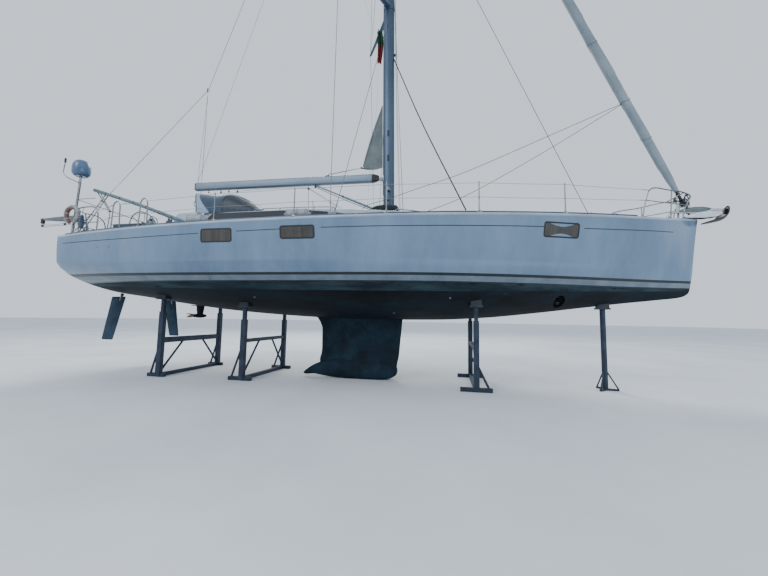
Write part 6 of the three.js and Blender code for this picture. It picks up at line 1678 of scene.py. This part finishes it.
def build_dome():
    s = Shape()
    s.lathe(DOME, (DOME_X, DOME_Y, 5.0003), mat=0, sides=48)
    for k in range(4):
        a = math.pi / 4 + k * math.pi / 2
        s.box((DOME_X + 0.11 * math.cos(a) - 0.016, DOME_Y + 0.11 * math.sin(a) - 0.016, 4.985),
              (DOME_X + 0.11 * math.cos(a) + 0.016, DOME_Y + 0.11 * math.sin(a) + 0.016, 5.004), 0.004, 1)
    s.out("scanner_dome", mats=("dome", "black"), slot="gelcoat", replaces=("radome",), angle=30)
    s = Shape()
    s.tube([(-7.01, DOME_Y, 3.42), (-6.896, DOME_Y, 4.985)], 0.0222, 0, 18)
    s.lathe([(0, 0), (0.12, 0), (0.12, 0.006), (0.03, 0.02), (0.028, -0.05), (0, -0.05)],
            (DOME_X, DOME_Y, 4.978), mat=0, sides=24)
    foot(s, -7.01, DOME_Y, r=0.055)
    base = np.array([DOME_X, DOME_Y, 5.0])
    arm = [base + p for p in ((-0.025, -0.02, -0.18), (-0.40, -0.05, 0.0), (-0.46, -0.06, 0.10),
                              (-0.44, -0.06, 0.36))]
    s.tube(arm, 0.0112, 0, 12, per=8)
    s.lathe([(0, 0), (0.024, 0.002), (0.026, 0.03), (0.02, 0.06), (0.024, 0.065), (0.024, 0.1),
             (0.014, 0.115), (0, 0.118)], arm[-1] - (0, 0, 0.01), mat=1, sides=18)
    s.lathe(collar(0.0225, 0.032, 0.03), base + (-0.012, 0, -0.18), (0.07, 0, 1), 0, 18)
    s.tube([(-6.965, DOME_Y, 4.14), (-6.9, -2.09, 4.14), (-6.78, -2.13, 4.14)], 0.012, 0, 10)
    s.lathe(collar(0.0225, 0.031, 0.025), (-6.957, DOME_Y, 4.14), (0.07, 0, 1), 0, 18)
    s.tube([(-6.996, -2.052, 3.46), (-6.94, -2.053, 4.3), (-6.905, -2.055, 4.8), (-6.9, -2.06, 4.97)], 0.005,
           1, 6, per=4)
    s.tube([(-6.918, -2.09, 4.385), (-4.84, -2.225, 3.705)], 0.007, 1, 8)
    s.tube([(-6.918, -2.09, 4.392), (-6.33, -2.14, 4.378)], 0.009, 0, 8)
    s.out("scanner_pole", mats=("steel", "black"), slot="steel", replaces=("radome_pole",), angle=40)


def build_buoy():
    s = Shape()
    at = np.array([-6.905, -2.19, 3.76])
    ring = [at + (x, 0, z) for x, z in ((-0.055, 0), (-0.155, 0.14), (-0.145, 0.32), (-0.005, 0.4),
                                        (0.145, 0.32), (0.155, 0.14), (0.055, 0))]
    path = smooth_path(ring, 9)
    middle = at + (0, 0, 0.2)
    rings = []
    n = len(path)
    for k, p in enumerate(path):
        along = unit(heading(path, k))
        out = unit(np.cross(along, (0, 1, 0)))
        if np.dot(out, p - middle) < 0:
            out = -out
        end = min(k, n - 1 - k)
        r = 0.052 * (0.55, 0.82, 0.95, 1.0)[min(end, 3)] * (1 + 0.012 * math.sin(k * 1.3))
        rings.append([p + r * (math.cos(a) * out + math.sin(a) * np.array([0, 1, 0])) for a in turns(20)])
    s.loft(rings, [1 if 5 <= k <= 14 else 0 for k in range(20)])
    for k in (6, 14, n // 2, n - 15, n - 7):     # straps
        p, q = path[k - 1], path[min(k + 1, n - 1)]
        s.tube([p, q], 0.0535, 2, 20)
    s.tube([at + (0.05, 0, 0.0), at + (0.09, -0.03, -0.05), at + (0.02, -0.02, -0.09),
            at + (-0.05, 0, -0.02)], 0.004, 2, 6, per=6)
    # bracket to the stern rail
    for dx in (-0.1, 0.1):
        s.tube([at + (dx, 0.0, 0.36), at + (dx, 0.05, 0.39)], 0.008, 3, 8)
        s.tube([at + (dx * 1.2, 0.02, 0.06), at + (dx * 1.2, 0.07, 0.05)], 0.008, 3, 8)
    buoy = s.out("horseshoe_float", mats=("buoy_pale", "buoy_red", "rope_white", "steel"), slot="fender",
                 replaces=("horseshoe_buoy",), angle=50)
    s = Shape()
    # bag hung on the rail beside the float
    s.tube([(-6.62, -2.17, 3.62), (-6.62, -2.175, 3.82), (-6.62, -2.175, 3.95)], (0.045, 0.052, 0.03), 0, 16,
           per=4)
    s.tube([(-6.62, -2.17, 3.93), (-6.62, -2.16, 4.14)], 0.006, 1, 6)
    s.out("rail_bag", mats=("canvas", "rope_white"), slot="canvas", angle=50)


def build_platform():
    s = Shape()
    s.box((-7.15, -1.144, 2.705), (-7.084, 1.144, 3.425), 0.012)
    for k in range(11):
        z = 2.775 + 0.056 * k
        s.box((-7.088, -1.06, z), (-7.0795, 1.06, z + 0.051), 0.003, 1)
    for y in (-0.9, 0.9):
        s.lathe([(0, 0), (0.012, 0), (0.01, 0.006), (0, 0.007)], (-7.15, y, 3.36), (-1, 0, 0), 2, 14)
    for y0, y1 in ((-1.184, -0.95), (-0.12, 0.12), (0.95, 1.184)):
        s.tube([(-7.117, y0, 2.738), (-7.117, y1, 2.738)], 0.0125, 2, 14)
    s.tube([(-7.152, -0.14, 3.25), (-7.168, -0.12, 3.25), (-7.168, 0.12, 3.25), (-7.152, 0.14, 3.25)], 0.007,
           2, 8, per=4)
    s.out("platform_panel", "platform", ("gelcoat", "teak_across", "steel"), "gelcoat", ("bathing_platform",),
          35)


def build_table():
    s = Shape()
    s.box((-5.25, -0.15, 3.6403), (-4.5, 0.15, 3.7203), 0.014, 0, corner=0.03)
    s.box((-5.2, -0.11, 3.712), (-4.55, 0.11, 3.7225), 0.002, 1, corner=0.02)
    for sign in (-1, 1):
        s.box((-5.24, sign * 0.154, 3.42), (-4.51, sign * 0.174, 3.715), 0.006, 1, corner=0.006)
        for x in (-5.05, -4.7):
            s.tube([(x - 0.04, sign * 0.152, 3.717), (x + 0.04, sign * 0.152, 3.717)], 0.006, 2, 8)
    for x in (-5.17, -4.58):
        s.tube([(x, 0, 3.004), (x, 0, 3.645)], 0.0285, 2, 20)
        s.lathe([(0, 0), (0.07, 0), (0.068, 0.01), (0.036, 0.018), (0.034, 0.05), (0, 0.05)], (x, 0, 3.0008),
                mat=2, sides=24)
    s.tube([(-5.17, 0, 3.3), (-4.58, 0, 3.3)], 0.014, 2, 12)
    s.tube([(-5.28, -0.1, 3.66), (-5.33, -0.1, 3.74), (-5.33, 0.1, 3.74), (-5.28, 0.1, 3.66)], 0.0125, 2, 12,
           per=5)
    s.out("drop_leaf_table", mats=("deck", "teak", "steel"), slot="teak", replaces=("cockpit_table",),
          angle=35)


HELM_X, HELM_Y = -5.76, 1.08
WHEEL_X, WHEEL_Z, WHEEL_RADIUS = -5.96, 3.9, 0.43
SHEET_WINCH = (-4.80, 1.47, 3.848)


def build_helms():
    for label, sign in SIDES:
        y0 = sign * HELM_Y
        s = Shape()
        rings = []
        # Columns: height above the sole, length, width
        for h, long, wide in ((0.0005, 0.30, 0.24), (0.02, 0.296, 0.236), (0.3, 0.28, 0.225),
                              (0.62, 0.26, 0.21), (0.8, 0.24, 0.2), (0.98, 0.21, 0.18),
                              (1.05, 0.195, 0.17), (1.075, 0.17, 0.15), (1.08, 0.12, 0.1)):
            outline_at = rounded(long, wide, min(long, wide) * 0.3, 6)
            rings.append([(HELM_X + a, y0 + b, WELL_FLOOR + 0.0003 + h) for a, b in outline_at])
        s.loft(rings, 0)
        s.lathe([(0, 0), (0.075, 0), (0.072, 0.02), (0.062, 0.03), (0.058, 0.05), (0.04, 0.075),
                 (0.018, 0.088), (0, 0.09)], (HELM_X, y0, 4.072), mat=1, sides=28)
        # instrument pod that leans aft, with three blank displays
        turn = Matrix.Translation((-5.872, y0, 3.985)) @ Matrix.Rotation(math.radians(-28), 4, "Y")
        s.box((-0.02, -0.15, -0.06), (0.02, 0.15, 0.06), 0.012, 1, turn=turn)
        for k in (-1, 0, 1):
            s.box((-0.0225, k * 0.095 - 0.04, -0.04), (-0.018, k * 0.095 + 0.04, 0.04), 0.002, 2, turn=turn)
        s.tube([(-5.70, y0 - 0.115, 3.8), (-5.68, y0 - 0.13, 4.05), (-5.68, y0 - 0.1, 4.17), (-5.68, y0, 4.2),
                (-5.68, y0 + 0.1, 4.17), (-5.68, y0 + 0.13, 4.05), (-5.70, y0 + 0.115, 3.8)], 0.0125, 3, 12,
               per=5)
        if sign < 0:       # throttle on the starboard pedestal
            s.lathe([(0, 0), (0.045, 0), (0.042, 0.015), (0.02, 0.022), (0, 0.024)], (-5.8, y0 - 0.094, 3.72),
                    (0, -1, 0), 3, 20)
            s.tube([(-5.8, y0 - 0.115, 3.72), (-5.8, y0 - 0.12, 3.86)], (0.007, 0.006), 3, 8)
            s.lathe([(0, 0), (0.016, 0.004), (0.02, 0.018), (0.016, 0.032), (0, 0.036)],
                    (-5.8, y0 - 0.12, 3.85), mat=1, sides=14)
        s.out("helm_column_" + label, mats=("gelcoat", "black", "glass", "steel"), slot="gelcoat",
              replaces=("helm_pedestal_" + label,), angle=40)
        w = Shape()
        c = np.array([WHEEL_X, y0, WHEEL_Z])
        spin = lambda a, r, dx=0.0: c + (dx, r * math.cos(a), r * math.sin(a))
        w.tube([spin(a, WHEEL_RADIUS) for a in turns(72)], 0.0152, 0, 14, closed=True)
        for k in range(6):
            a = math.pi / 2 + k * math.pi / 3
            w.tube([spin(a, 0.03), spin(a, 0.2, -0.012), spin(a, 0.36, -0.006), spin(a, 0.425)],
                   (0.011, 0.009, 0.0085, 0.008), 0, 10, per=4)
            w.tube([spin(a + 0.52 + d, WHEEL_RADIUS) for d in (-0.012, 0.012)], 0.0165, 2, 12)
        for k in range(64):     # stitches along the inside of the rim
            a = 2 * math.pi * k / 64
            w.tube([spin(a - 0.014, 0.4145, 0.002), spin(a + 0.014, 0.4145, -0.002)], 0.0014, 2, 4)
        w.lathe([(0, -0.03), (0.03, -0.03), (0.044, -0.018), (0.047, 0), (0.044, 0.02), (0.03, 0.03),
                 (0, 0.03)], c, (1, 0, 0), 0, 28)
        w.tube([c, c + (0.229, 0, 0)], 0.0178, 0, 16)
        w.lathe([(0, 0), (0.017, 0.002), (0.02, 0.012), (0.012, 0.022), (0, 0.024)], c - (0.028, 0, 0),
                (-1, 0, 0), 0, 18)
        w.out("helm_wheel_" + label, "wheel_" + label, ("steel", "black", "rope_white"), "steel",
              ("steering_wheel_" + label,), 40)
        g = Shape()
        seat = np.array(SHEET_WINCH) * (1, sign, 1)
        winch(g, seat + (0, 0, 0.06), 1.12)
        g.lathe([(0, 0), (0.094, 0), (0.094, 0.05), (0.088, 0.06), (0, 0.062)], seat, mat=1, sides=28)
        g.out("cockpit_winch_" + label, mats=("steel", "black"), slot="steel",
              replaces=("sheet_winch_" + label,), angle=40)


# Soft goods
# Sprayhood. Columns: x, half-width, height of the foot, height of the crown
HOOD = np.array([[-4490, 1410, 4130, 4885], [-4150, 1340, 4155, 4845], [-3900, 1285, 4170, 4825],
                 [-3500, 1255, 4180, 4845], [-3000, 1190, 4190, 4600], [-2560, 1110, 4225, 4300]]) / 1000
HOOD_HALF, HOOD_FOOT, HOOD_CROWN = (curve(HOOD[:, 0], HOOD[:, k]) for k in (1, 2, 3))
HOOPS_AT = (-4.465, -3.5)
SCREEN_AFT, SCREEN_FORE = -3.16, -2.68
PANE_AFT, PANE_FORE, PANE_LOW = -3.62, -2.72, 0.14      # side window; its lower edge is a share of the height


def hood_at(x, t, inset=0.0):
    """Place on the hood; t runs from 0 at the starboard foot to 1 at the port one."""
    a = math.pi * t
    c, d = math.cos(a), math.sin(a)
    lean = 0.36 * max(0.0, (-3.5 - x) / 0.99) * (1 - d ** 1.5)      # the aft hoop leans aft from its foot
    half, foot_z, crown = HOOD_HALF(x), HOOD_FOOT(x), HOOD_CROWN(x)
    span = (x - HOOPS_AT[0]) / (HOOPS_AT[1] - HOOPS_AT[0])
    sag = 0.012 * math.sin(math.pi * span) ** 2 * d if 0 < span < 1 else 0.0
    pull = 0.004 * math.sin(9 * a + 3 * x) * math.sin(7 * x) * d     # shallow creases
    y = -(half - inset - sag * abs(c)) * np.sign(c) * abs(c) ** 0.55
    z = foot_z + (crown - foot_z - inset) * d ** 0.6 - sag + pull
    return np.array([x + lean, y, max(z, foot_z)])


def window_arch(x):
    """Upper edge of the hood's side window as a share of its height."""
    return 0.80 * math.sqrt(max(0.0, 1 - max(0.0, (-3.28 - x) / 0.34) ** 2))


def wing_edge(z):
    """Fore edge of the hood's pale wing at a height."""
    return -4.24 + 0.42 * (4.74 - z) / 0.57


def hood_row(x, t):
    """Material of the hood at a place: 0 canvas, 1 pale wing, 2 clear window."""
    p = hood_at(x, t)
    side = min(t, 1 - t)
    share = (p[2] - HOOD_FOOT(x)) / (HOOD_CROWN(x) - HOOD_FOOT(x))
    if p[0] < wing_edge(p[2]) and side < 0.34:
        return 1
    if side > 0.325 and SCREEN_AFT < x < SCREEN_FORE:
        return 0 if abs(t - 0.5) < 0.012 else 2
    if side < 0.29 and PANE_AFT < x < PANE_FORE and PANE_LOW < share < window_arch(x):
        return 2
    return 0


def build_hood():
    xs = np.linspace(-4.49, -2.56, 110)
    ts = [0.5 - 0.5 * math.cos(math.pi * k / 108) for k in range(109)]
    ts = [0.45 * k / 108 + 0.55 * t for k, t in enumerate(ts)]
    s = Shape()
    verts = [hood_at(x, t) for x in xs for t in ts]
    faces, mats = [], []
    n = len(ts)
    for i in range(len(xs) - 1):
        for j in range(n - 1):
            faces.append((i * n + j, i * n + j + 1, (i + 1) * n + j + 1, (i + 1) * n + j))
            mats.append(hood_row(0.5 * (xs[i] + xs[i + 1]), 0.5 * (ts[j] + ts[j + 1])))
    s.add(verts, faces, mats)
    hood = s.out("sprayhood_cloth", mats=("canvas", "canvas_pale", "vinyl"), slot="canvas",
                 replaces=("sprayhood",), angle=70)
    thick = hood.modifiers.new("thickness", "SOLIDIFY")
    thick.thickness, thick.offset = 0.003, 0
    bpy.context.view_layer.update()
    apply_modifiers(hood)
    finish_mesh(hood.data, 70)
    s = Shape()
    strip = lambda pts, r=0.0065, mat=0: s.tube(pts, r, mat, 8, flat=0.6)
    for x in (-4.488, *HOOPS_AT, -3.2):
        lo = 0.0 if x < -3.3 else 0.33
        strip([hood_at(x, t, -0.003) for t in np.linspace(lo, 1 - lo, 70)])
    strip([hood_at(-2.562, t, -0.002) for t in np.linspace(0, 1, 70)], 0.008)
    for t in (0.32, 0.68):
        strip([hood_at(x, t, -0.003) for x in np.linspace(-3.5, -2.565, 26)])
    for lo, hi in ((0.325, 0.488), (0.512, 0.675)):     # borders of the windscreen
        loop = [(SCREEN_AFT, t) for t in np.linspace(lo, hi, 16)]
        loop += [(x, hi) for x in np.linspace(SCREEN_AFT, SCREEN_FORE, 14)[1:]]
        loop += [(SCREEN_FORE, t) for t in np.linspace(hi, lo, 16)[1:]]
        loop += [(x, lo) for x in np.linspace(SCREEN_FORE, SCREEN_AFT, 14)[1:-1]]
        s.tube([hood_at(x, t, -0.002) for x, t in loop], 0.005, 0, 6, closed=True, flat=0.6)
    for port in (False, True):
        flip = (lambda t: 1 - t) if port else (lambda t: t)

        def at_share(x, share):
            """Place on the side of the hood at a share of its height."""
            t = math.asin(min(1, share) ** (1 / 0.6)) / math.pi
            return hood_at(x, flip(t), -0.002)
        aft = PANE_AFT + 0.01
        loop = [at_share(x, max(window_arch(x), PANE_LOW)) for x in np.linspace(aft, PANE_FORE, 34)]
        loop += [at_share(PANE_FORE, k) for k in np.linspace(0.8, PANE_LOW, 10)[1:]]
        loop += [at_share(x, PANE_LOW) for x in np.linspace(PANE_FORE, aft, 26)[1:-1]]
        s.tube(loop, 0.006, 0, 6, closed=True, flat=0.6)
        wing = []
        for share in np.linspace(0.02, 0.96, 24):
            x = -4.2
            for _ in range(8):
                p = at_share(x, share)
                x += 0.8 * (wing_edge(p[2]) - p[0])
            wing.append(at_share(x, share))
        s.tube(wing, 0.004, 0, 6, flat=0.6)
        s.tube([hood_at(x, flip(0.0), 0) + (0, 0, 0.004) for x in np.linspace(-4.488, -2.56, 40)], 0.008, 0,
               8, flat=0.7)
        for x in np.linspace(-4.4, -2.65, 12):      # press studs along the foot
            p = hood_at(x, flip(0.012), -0.003)
            s.lathe([(0, 0), (0.0085, 0), (0.007, 0.003), (0, 0.0035)], p, (0, 1 if port else -1, 0.1), 1, 10)
    s.out("hood_piping", mats=("canvas_dark", "steel"), slot="canvas", angle=50)
    s = Shape()
    for x in HOOPS_AT:
        s.tube([hood_at(x, t, 0.018) for t in np.linspace(0.0, 1.0, 80)], 0.0125, 0, 10)
    for t in (0.06, 0.94):
        hold = [hood_at(-4.47, t * k if t < 0.5 else 1 - (1 - t) * k) for k in (0.5, 0.75, 1.1, 1.4)]
        s.tube([hold[0], hold[0] - (0.05, 0, -0.02), hold[1] - (0.06, 0, 0), hold[2] - (0.06, 0, 0),
                hold[3] - (0.05, 0, 0.02), hold[3]], 0.011, 0, 10, per=5)
        for x in HOOPS_AT:
            foot_at = hood_at(x, 0.0 if t < 0.5 else 1.0, 0.018)
            s.box(foot_at - (0.03, 0.014, 0.02), foot_at + (0.03, 0.014, 0.018), 0.004, 0)
    s.out("hood_hoops", mats=("steel",), slot="steel", angle=50)


# Columns: x, y, z of the folded canopy's port half
BOOT_SIDE = ((-4.17, 1.59, 3.81), (-4.23, 1.68, 3.85), (-5.60, 1.68, 4.355), (-6.93, 1.68, 4.785),
             (-7.05, 1.48, 4.835))


def build_bimini():
    half = [np.array(p) for p in BOOT_SIDE]
    points = [p * (1, -1, 1) for p in half] + [np.array([-7.07, 0, 4.875])] + half[::-1]
    path = smooth_path(points, 64)
    run = np.r_[0, np.cumsum(np.linalg.norm(np.diff(path, axis=0), axis=1))]
    total = run[-1]
    gap = 0.42
    s = Shape()
    rings = []
    side = np.array([0.0, 1.0, 0.0])
    for k, p in enumerate(path):
        along = unit(heading(path, k))
        if abs(np.dot(side, along)) < 0.98:
            side = unit(side - along * np.dot(side, along))
        else:
            side = unit(np.cross(along, (0, 0, 1)))
        other = np.cross(along, side)
        t = (run[k] / gap) % 1
        puff = 0.0375 + 0.0045 * math.sin(math.pi * t) ** 0.7
        puff *= min(1.0, 0.45 + 8 * min(run[k], total - run[k]))
        sag = np.array([0, 0, -0.004 * math.sin(math.pi * t)])
        ring = []
        for a in turns(24):
            r = puff * (1 + 0.05 * math.sin(2 * a + 1.7 * run[k]) + 0.03 * math.sin(5 * a - 6.1 * run[k])
                        + 0.02 * math.sin(23 * run[k] + 3 * a))
            ring.append(p + sag + r * (math.cos(a) * side + math.sin(a) * other))
        rings.append(ring)
    s.loft(rings)
    boot = s.out("bimini_roll", mats=("boot",), slot="canvas", replaces=("bimini_boot",), angle=80)
    s = Shape()
    for mark in np.arange(gap, total - 0.05, gap):
        k = int(np.searchsorted(run, mark))
        a, b = path[max(k - 1, 0)], path[k]
        way = unit(b - a)
        c = a + way * (mark - run[k - 1])
        s.tube([c - way * 0.012, c - way * 0.011, c + way * 0.011, c + way * 0.012],
               (0.0375, 0.0405, 0.0405, 0.0375), 0, 24)
        s.box(c + (-0.012, -0.014, -0.047), c + (0.012, 0.014, -0.038), 0.003, 0)
    s.tube([rings[k][5] for k in range(6, len(path) - 6, 2)], 0.0032, 1, 6)     # zip along the roll
    s.out("bimini_ties", mats=("canvas_dark", "black"), slot="canvas", angle=50)
    for label, sign in SIDES:
        s = Shape()
        for path in (((-6.90, 1.64, 4.75), (-6.40, 1.716, 4.19), (-6.36, 1.722, 4.10), (-6.33, 1.80, 3.50)),
                     ((-6.86, 1.60, 4.745), (-6.40, 1.67, 4.2)), ((-6.62, 1.645, 4.67), (-7.05, 1.98, 3.44)),
                     ((-6.575, 1.61, 4.66), (-6.97, 1.93, 3.50))):
            s.tube([(x, sign * y, z) for x, y, z in path], 0.0122, 0, 12, per=5 if len(path) > 2 else 0)
        for x, y, z in ((-6.88, 1.625, 4.735), (-6.39, 1.70, 4.18), (-6.60, 1.635, 4.655),
                        (-6.69, 1.68, 4.49)):
            s.box((x - 0.026, sign * y - 0.022, z - 0.02), (x + 0.026, sign * y + 0.022, z + 0.02), 0.008, 1)
        for x, y in ((-6.33, 1.80), (-7.05, 1.98)):
            foot(s, x, sign * y)
        s.out("bimini_frame_" + label, mats=("steel", "black"), slot="steel",
              replaces=("bimini_struts_" + label,), angle=40)


def build_cushion():
    lo, hi = np.array([-5.80, -2.15, 3.5]), np.array([-4.96, -1.87, 3.735])
    low = max(lo[2], deck_z(-5.4, 2.0) + 0.001)
    s = Shape().box((lo[0] + 0.015, lo[1] + 0.012, low + 0.006),
                    (hi[0] - 0.015, hi[1] - 0.012, hi[2] - 0.022), 0.03, corner=0.05, steps=4)
    ob = s.out("side_cushion_pad", mats=("cushion",), slot="canvas", replaces=("side_cushion",), angle=80)
    swell(ob, 0.006, 0.016, low + 0.001)
    # hollow buttons in the top and pull the sides in between the corners
    me = ob.data
    mid, half = 0.5 * (lo + hi), 0.5 * (hi - lo)
    for v in me.vertices:
        u, w = (v.co.x - mid[0]) / half[0], (v.co.y - mid[1]) / half[1]
        if v.co.z > low + 0.05:
            for bx in (-0.27, 0, 0.27):
                d = math.hypot(v.co.x - mid[0] - bx, v.co.y - mid[1])
                v.co.z -= 0.016 * math.exp(-(d / 0.03) ** 2)
        v.co.y -= 0.006 * w * (1 - min(1, u * u)) * abs(w)
        v.co.z = max(v.co.z, low)
    finish_mesh(me, 80)
    s = Shape()
    for z, d in ((low + 0.022, 0.003), (hi[2] - 0.036, 0.003)):
        loop = []
        for k, (sx, sy) in enumerate(CORNERS):
            for a in quarter(k, 7):
                loop.append((mid[0] + sx * (half[0] - 0.055) + 0.052 * math.cos(a),
                             mid[1] + sy * (half[1] - 0.053) + 0.048 * math.sin(a), z))
        s.tube(loop, 0.0045, 0, 8, closed=True)
    for bx in (-0.27, 0, 0.27):
        s.lathe([(0, 0), (0.012, 0), (0.011, 0.003), (0, 0.005)], (mid[0] + bx, mid[1], hi[2] - 0.034), mat=0,
                sides=16)
    s.out("side_cushion_piping", mats=("canvas_dark",), slot="canvas", angle=60)


def swell(ob, voxel, most, floor_z):
    """Blow a soft solid up a little by cloth simulation, then smooth it."""
    start = ob.modifiers.new("remesh", "REMESH")
    start.mode, start.voxel_size, start.use_smooth_shade = "VOXEL", voxel, True
    bpy.context.view_layer.update()
    apply_modifiers(ob)
    before = np.array([v.co[:] for v in ob.data.vertices])
    cloth = ob.modifiers.new("cloth", "CLOTH")
    setting = cloth.settings
    setting.use_pressure, setting.uniform_pressure_force = True, 4
    setting.effector_weights.gravity = 0
    setting.quality = 4
    cloth.point_cache.frame_start, cloth.point_cache.frame_end = 1, 20
    scene = bpy.context.scene
    for f in range(1, 21):
        scene.frame_set(f)
    deps = bpy.context.evaluated_depsgraph_get()
    after = np.array([v.co[:] for v in ob.evaluated_get(deps).data.vertices])
    ob.modifiers.clear()
    scene.frame_set(1)
    move = after - before
    far = np.linalg.norm(move, axis=1, keepdims=True)
    after = before + move * np.minimum(1, most / np.maximum(far, 1e-9))
    after[:, 2] = np.maximum(after[:, 2], floor_z)
    ob.data.vertices.foreach_set("co", after.ravel())
    ob.data.update()
    subdivide(ob, 1)


def build_rolls():
    for name, x, length, tan in (("aft", -3.47, 0.23, False), ("forward", -1.03, 0.27, True)):
        y = -(HALF(x) - 0.21)
        z = deck_z(x, -y) + 0.107
        s = Shape()
        prof = [(0.0, -0.235), (0.045, -0.233), (0.075, -0.224), (0.095, -0.205), (0.103, -0.18),
                (0.1055, -0.12), (0.1055, 0.12), (0.103, 0.18), (0.095, 0.205), (0.075, 0.224),
                (0.045, 0.233), (0, 0.235)]
        k = length / 0.25
        s.lathe([(r, h * k) for r, h in prof], (x, y, z), (1, 0, 0), 0, 36)
        for h in (-0.205, -0.19, 0.19, 0.205):
            s.tube([(x + h * k - 0.003, y, z), (x + h * k + 0.003, y, z)], 0.1 if abs(h) > 0.2 else 0.1055, 1,
                   36)
        for k2 in (-1, 1):
            e = x + k2 * length
            s.tube([(e - k2 * 0.03, y, z), (e - k2 * 0.005, y, z), (e + k2 * 0.022, y, z)],
                   (0.05, 0.034, 0.02), 1 if tan else 0, 20)
            s.lathe(collar(0.008, 0.022, 0.011), (e + k2 * 0.012, y, z), (0, 1, 0), 1, 18)
        e = x + length + 0.012
        s.tube([(e, y, z), (e + 0.05, y - 0.01, z + 0.02), (e + 0.10, y - 0.06, z + 0.15),
                (e + 0.11, y - 0.155, z + 0.21)], 0.006, 2, 8, per=6)
        rail = rim(x + length + 0.122, -1) + (0, 0, RAIL_LOW)
        s.tube([(e + 0.11, y - 0.155, z + 0.21), rail], 0.006, 2, 8)
        s.out("fender_" + name, mats=("fender", "buoy_pale", "rope_white"), slot="fender",
              replaces=("deck_roll_" + name,), angle=50)


def under_vang(x, y):
    """Height that stays clear of the vang as it swings 60 degrees each way."""
    d = math.hypot(x - 0.39, y)
    beside = d * math.sin(max(0.0, math.atan2(y, 0.39 - x) - math.pi / 3))
    return 4.34 + 0.44 * (d - 0.02) + 1.5 * max(0.0, beside - 0.05)


def build_mast_bag():
    bags = Shape()
    # Columns: x, top height, outer half-width
    table = np.array([(-0.02, 4.29, 0.32), (0.04, 4.33, 0.40), (0.12, 4.39, 0.44), (0.22, 4.45, 0.45),
                      (0.33, 4.49, 0.45), (0.42, 4.505, 0.44), (0.6, 4.51, 0.43), (0.74, 4.52, 0.42),
                      (0.84, 4.50, 0.40), (0.9, 4.42, 0.35), (0.93, 4.29, 0.30)])
    top, wide = curve(table[:, 0], table[:, 1]), curve(table[:, 0], table[:, 2])
    for _, sign in SIDES:
        rings = []
        for x in np.linspace(-0.02, 0.93, 46):
            inner = 0.17
            mid, half = 0.5 * (inner + wide(x)), 0.5 * (wide(x) - inner)
            base = roof_top(x, mid) - 0.012
            high = top(x) - base
            ring = []
            for a in turns(30):
                c, d = math.cos(a), math.sin(a)
                bulge = 1 + 0.05 * math.sin(3 * a + 9 * x) + 0.035 * math.sin(21 * x + 2 * a) * max(0, d)
                y = mid + half * np.sign(c) * abs(c) ** 0.6 * (bulge if d > -0.3 else 1)
                z = base + high * (0.5 + 0.5 * np.sign(d) * abs(d) ** 0.7 * (bulge if d > 0 else 1))
                ring.append((x, sign * y, min(z, top(x) + 0.006, under_vang(x, y))))
            rings.append(ring)
        bags.loft(rings)
    bag = bags.out("mast_foot_bags", mats=("dark_canvas",), slot="canvas", angle=80)


for make in (make_camera, make_stage, build_hull, build_deck, build_keel, build_rudders, build_drive,
             build_skin_fittings, build_mast, build_boom, build_clew, build_genoa, build_rigging, build_flag,
             build_windows, build_rails, build_pulpit, build_deck_gear, build_hatch_lids, build_bow,
             build_inside, build_pushpits, build_dome, build_buoy, build_platform, build_table, build_helms,
             build_hood, build_bimini, build_cushion, build_rolls, build_mast_bag):
    make()

# CAD pieces that stay: worn finish and softened edges. Columns: node, material, bevel in metres
KEPT = [
    ("support_frame_aft", "frame", 0.006), ("support_frame_quarter", "frame", 0.006),
    ("support_frame_forward", "frame", 0.006), ("bow_prop", "frame", 0.004),
    ("spreaders_1", "aluminium", 0), ("spreaders_2", "aluminium", 0), ("shrouds_starboard", "steel", 0),
    ("shrouds_port", "steel", 0), ("backstay", "steel", 0), ("inner_forestay", "rope_dark", 0),
    ("engine", "galvanised", 0.02), ("compression_post", "aluminium", 0),
]
for node, mat, width in KEPT:
    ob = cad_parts[node]
    ob.data.materials.clear()
    ob.data.materials.append(MAT[mat])
    if mat == "frame":      # rubber blocks above the head plates, which are the longest part up there
        ob.data.materials.append(MAT["rubber"])
        heads = [v.co for v in ob.data.vertices if v.co.z > 1.2]
        reach = max(p.x for p in heads)
        plate = max(p.z for p in heads if p.x > reach - 0.001)
        for face in ob.data.polygons:
            if face.center.z > plate + 0.001:
                face.material_index = 1
    if width:
        ob.modifiers.new("join", "WELD").merge_threshold = 1e-4
        edge = ob.modifiers.new("edges", "BEVEL")
        edge.width, edge.segments, edge.angle_limit = width, 2, math.radians(35)
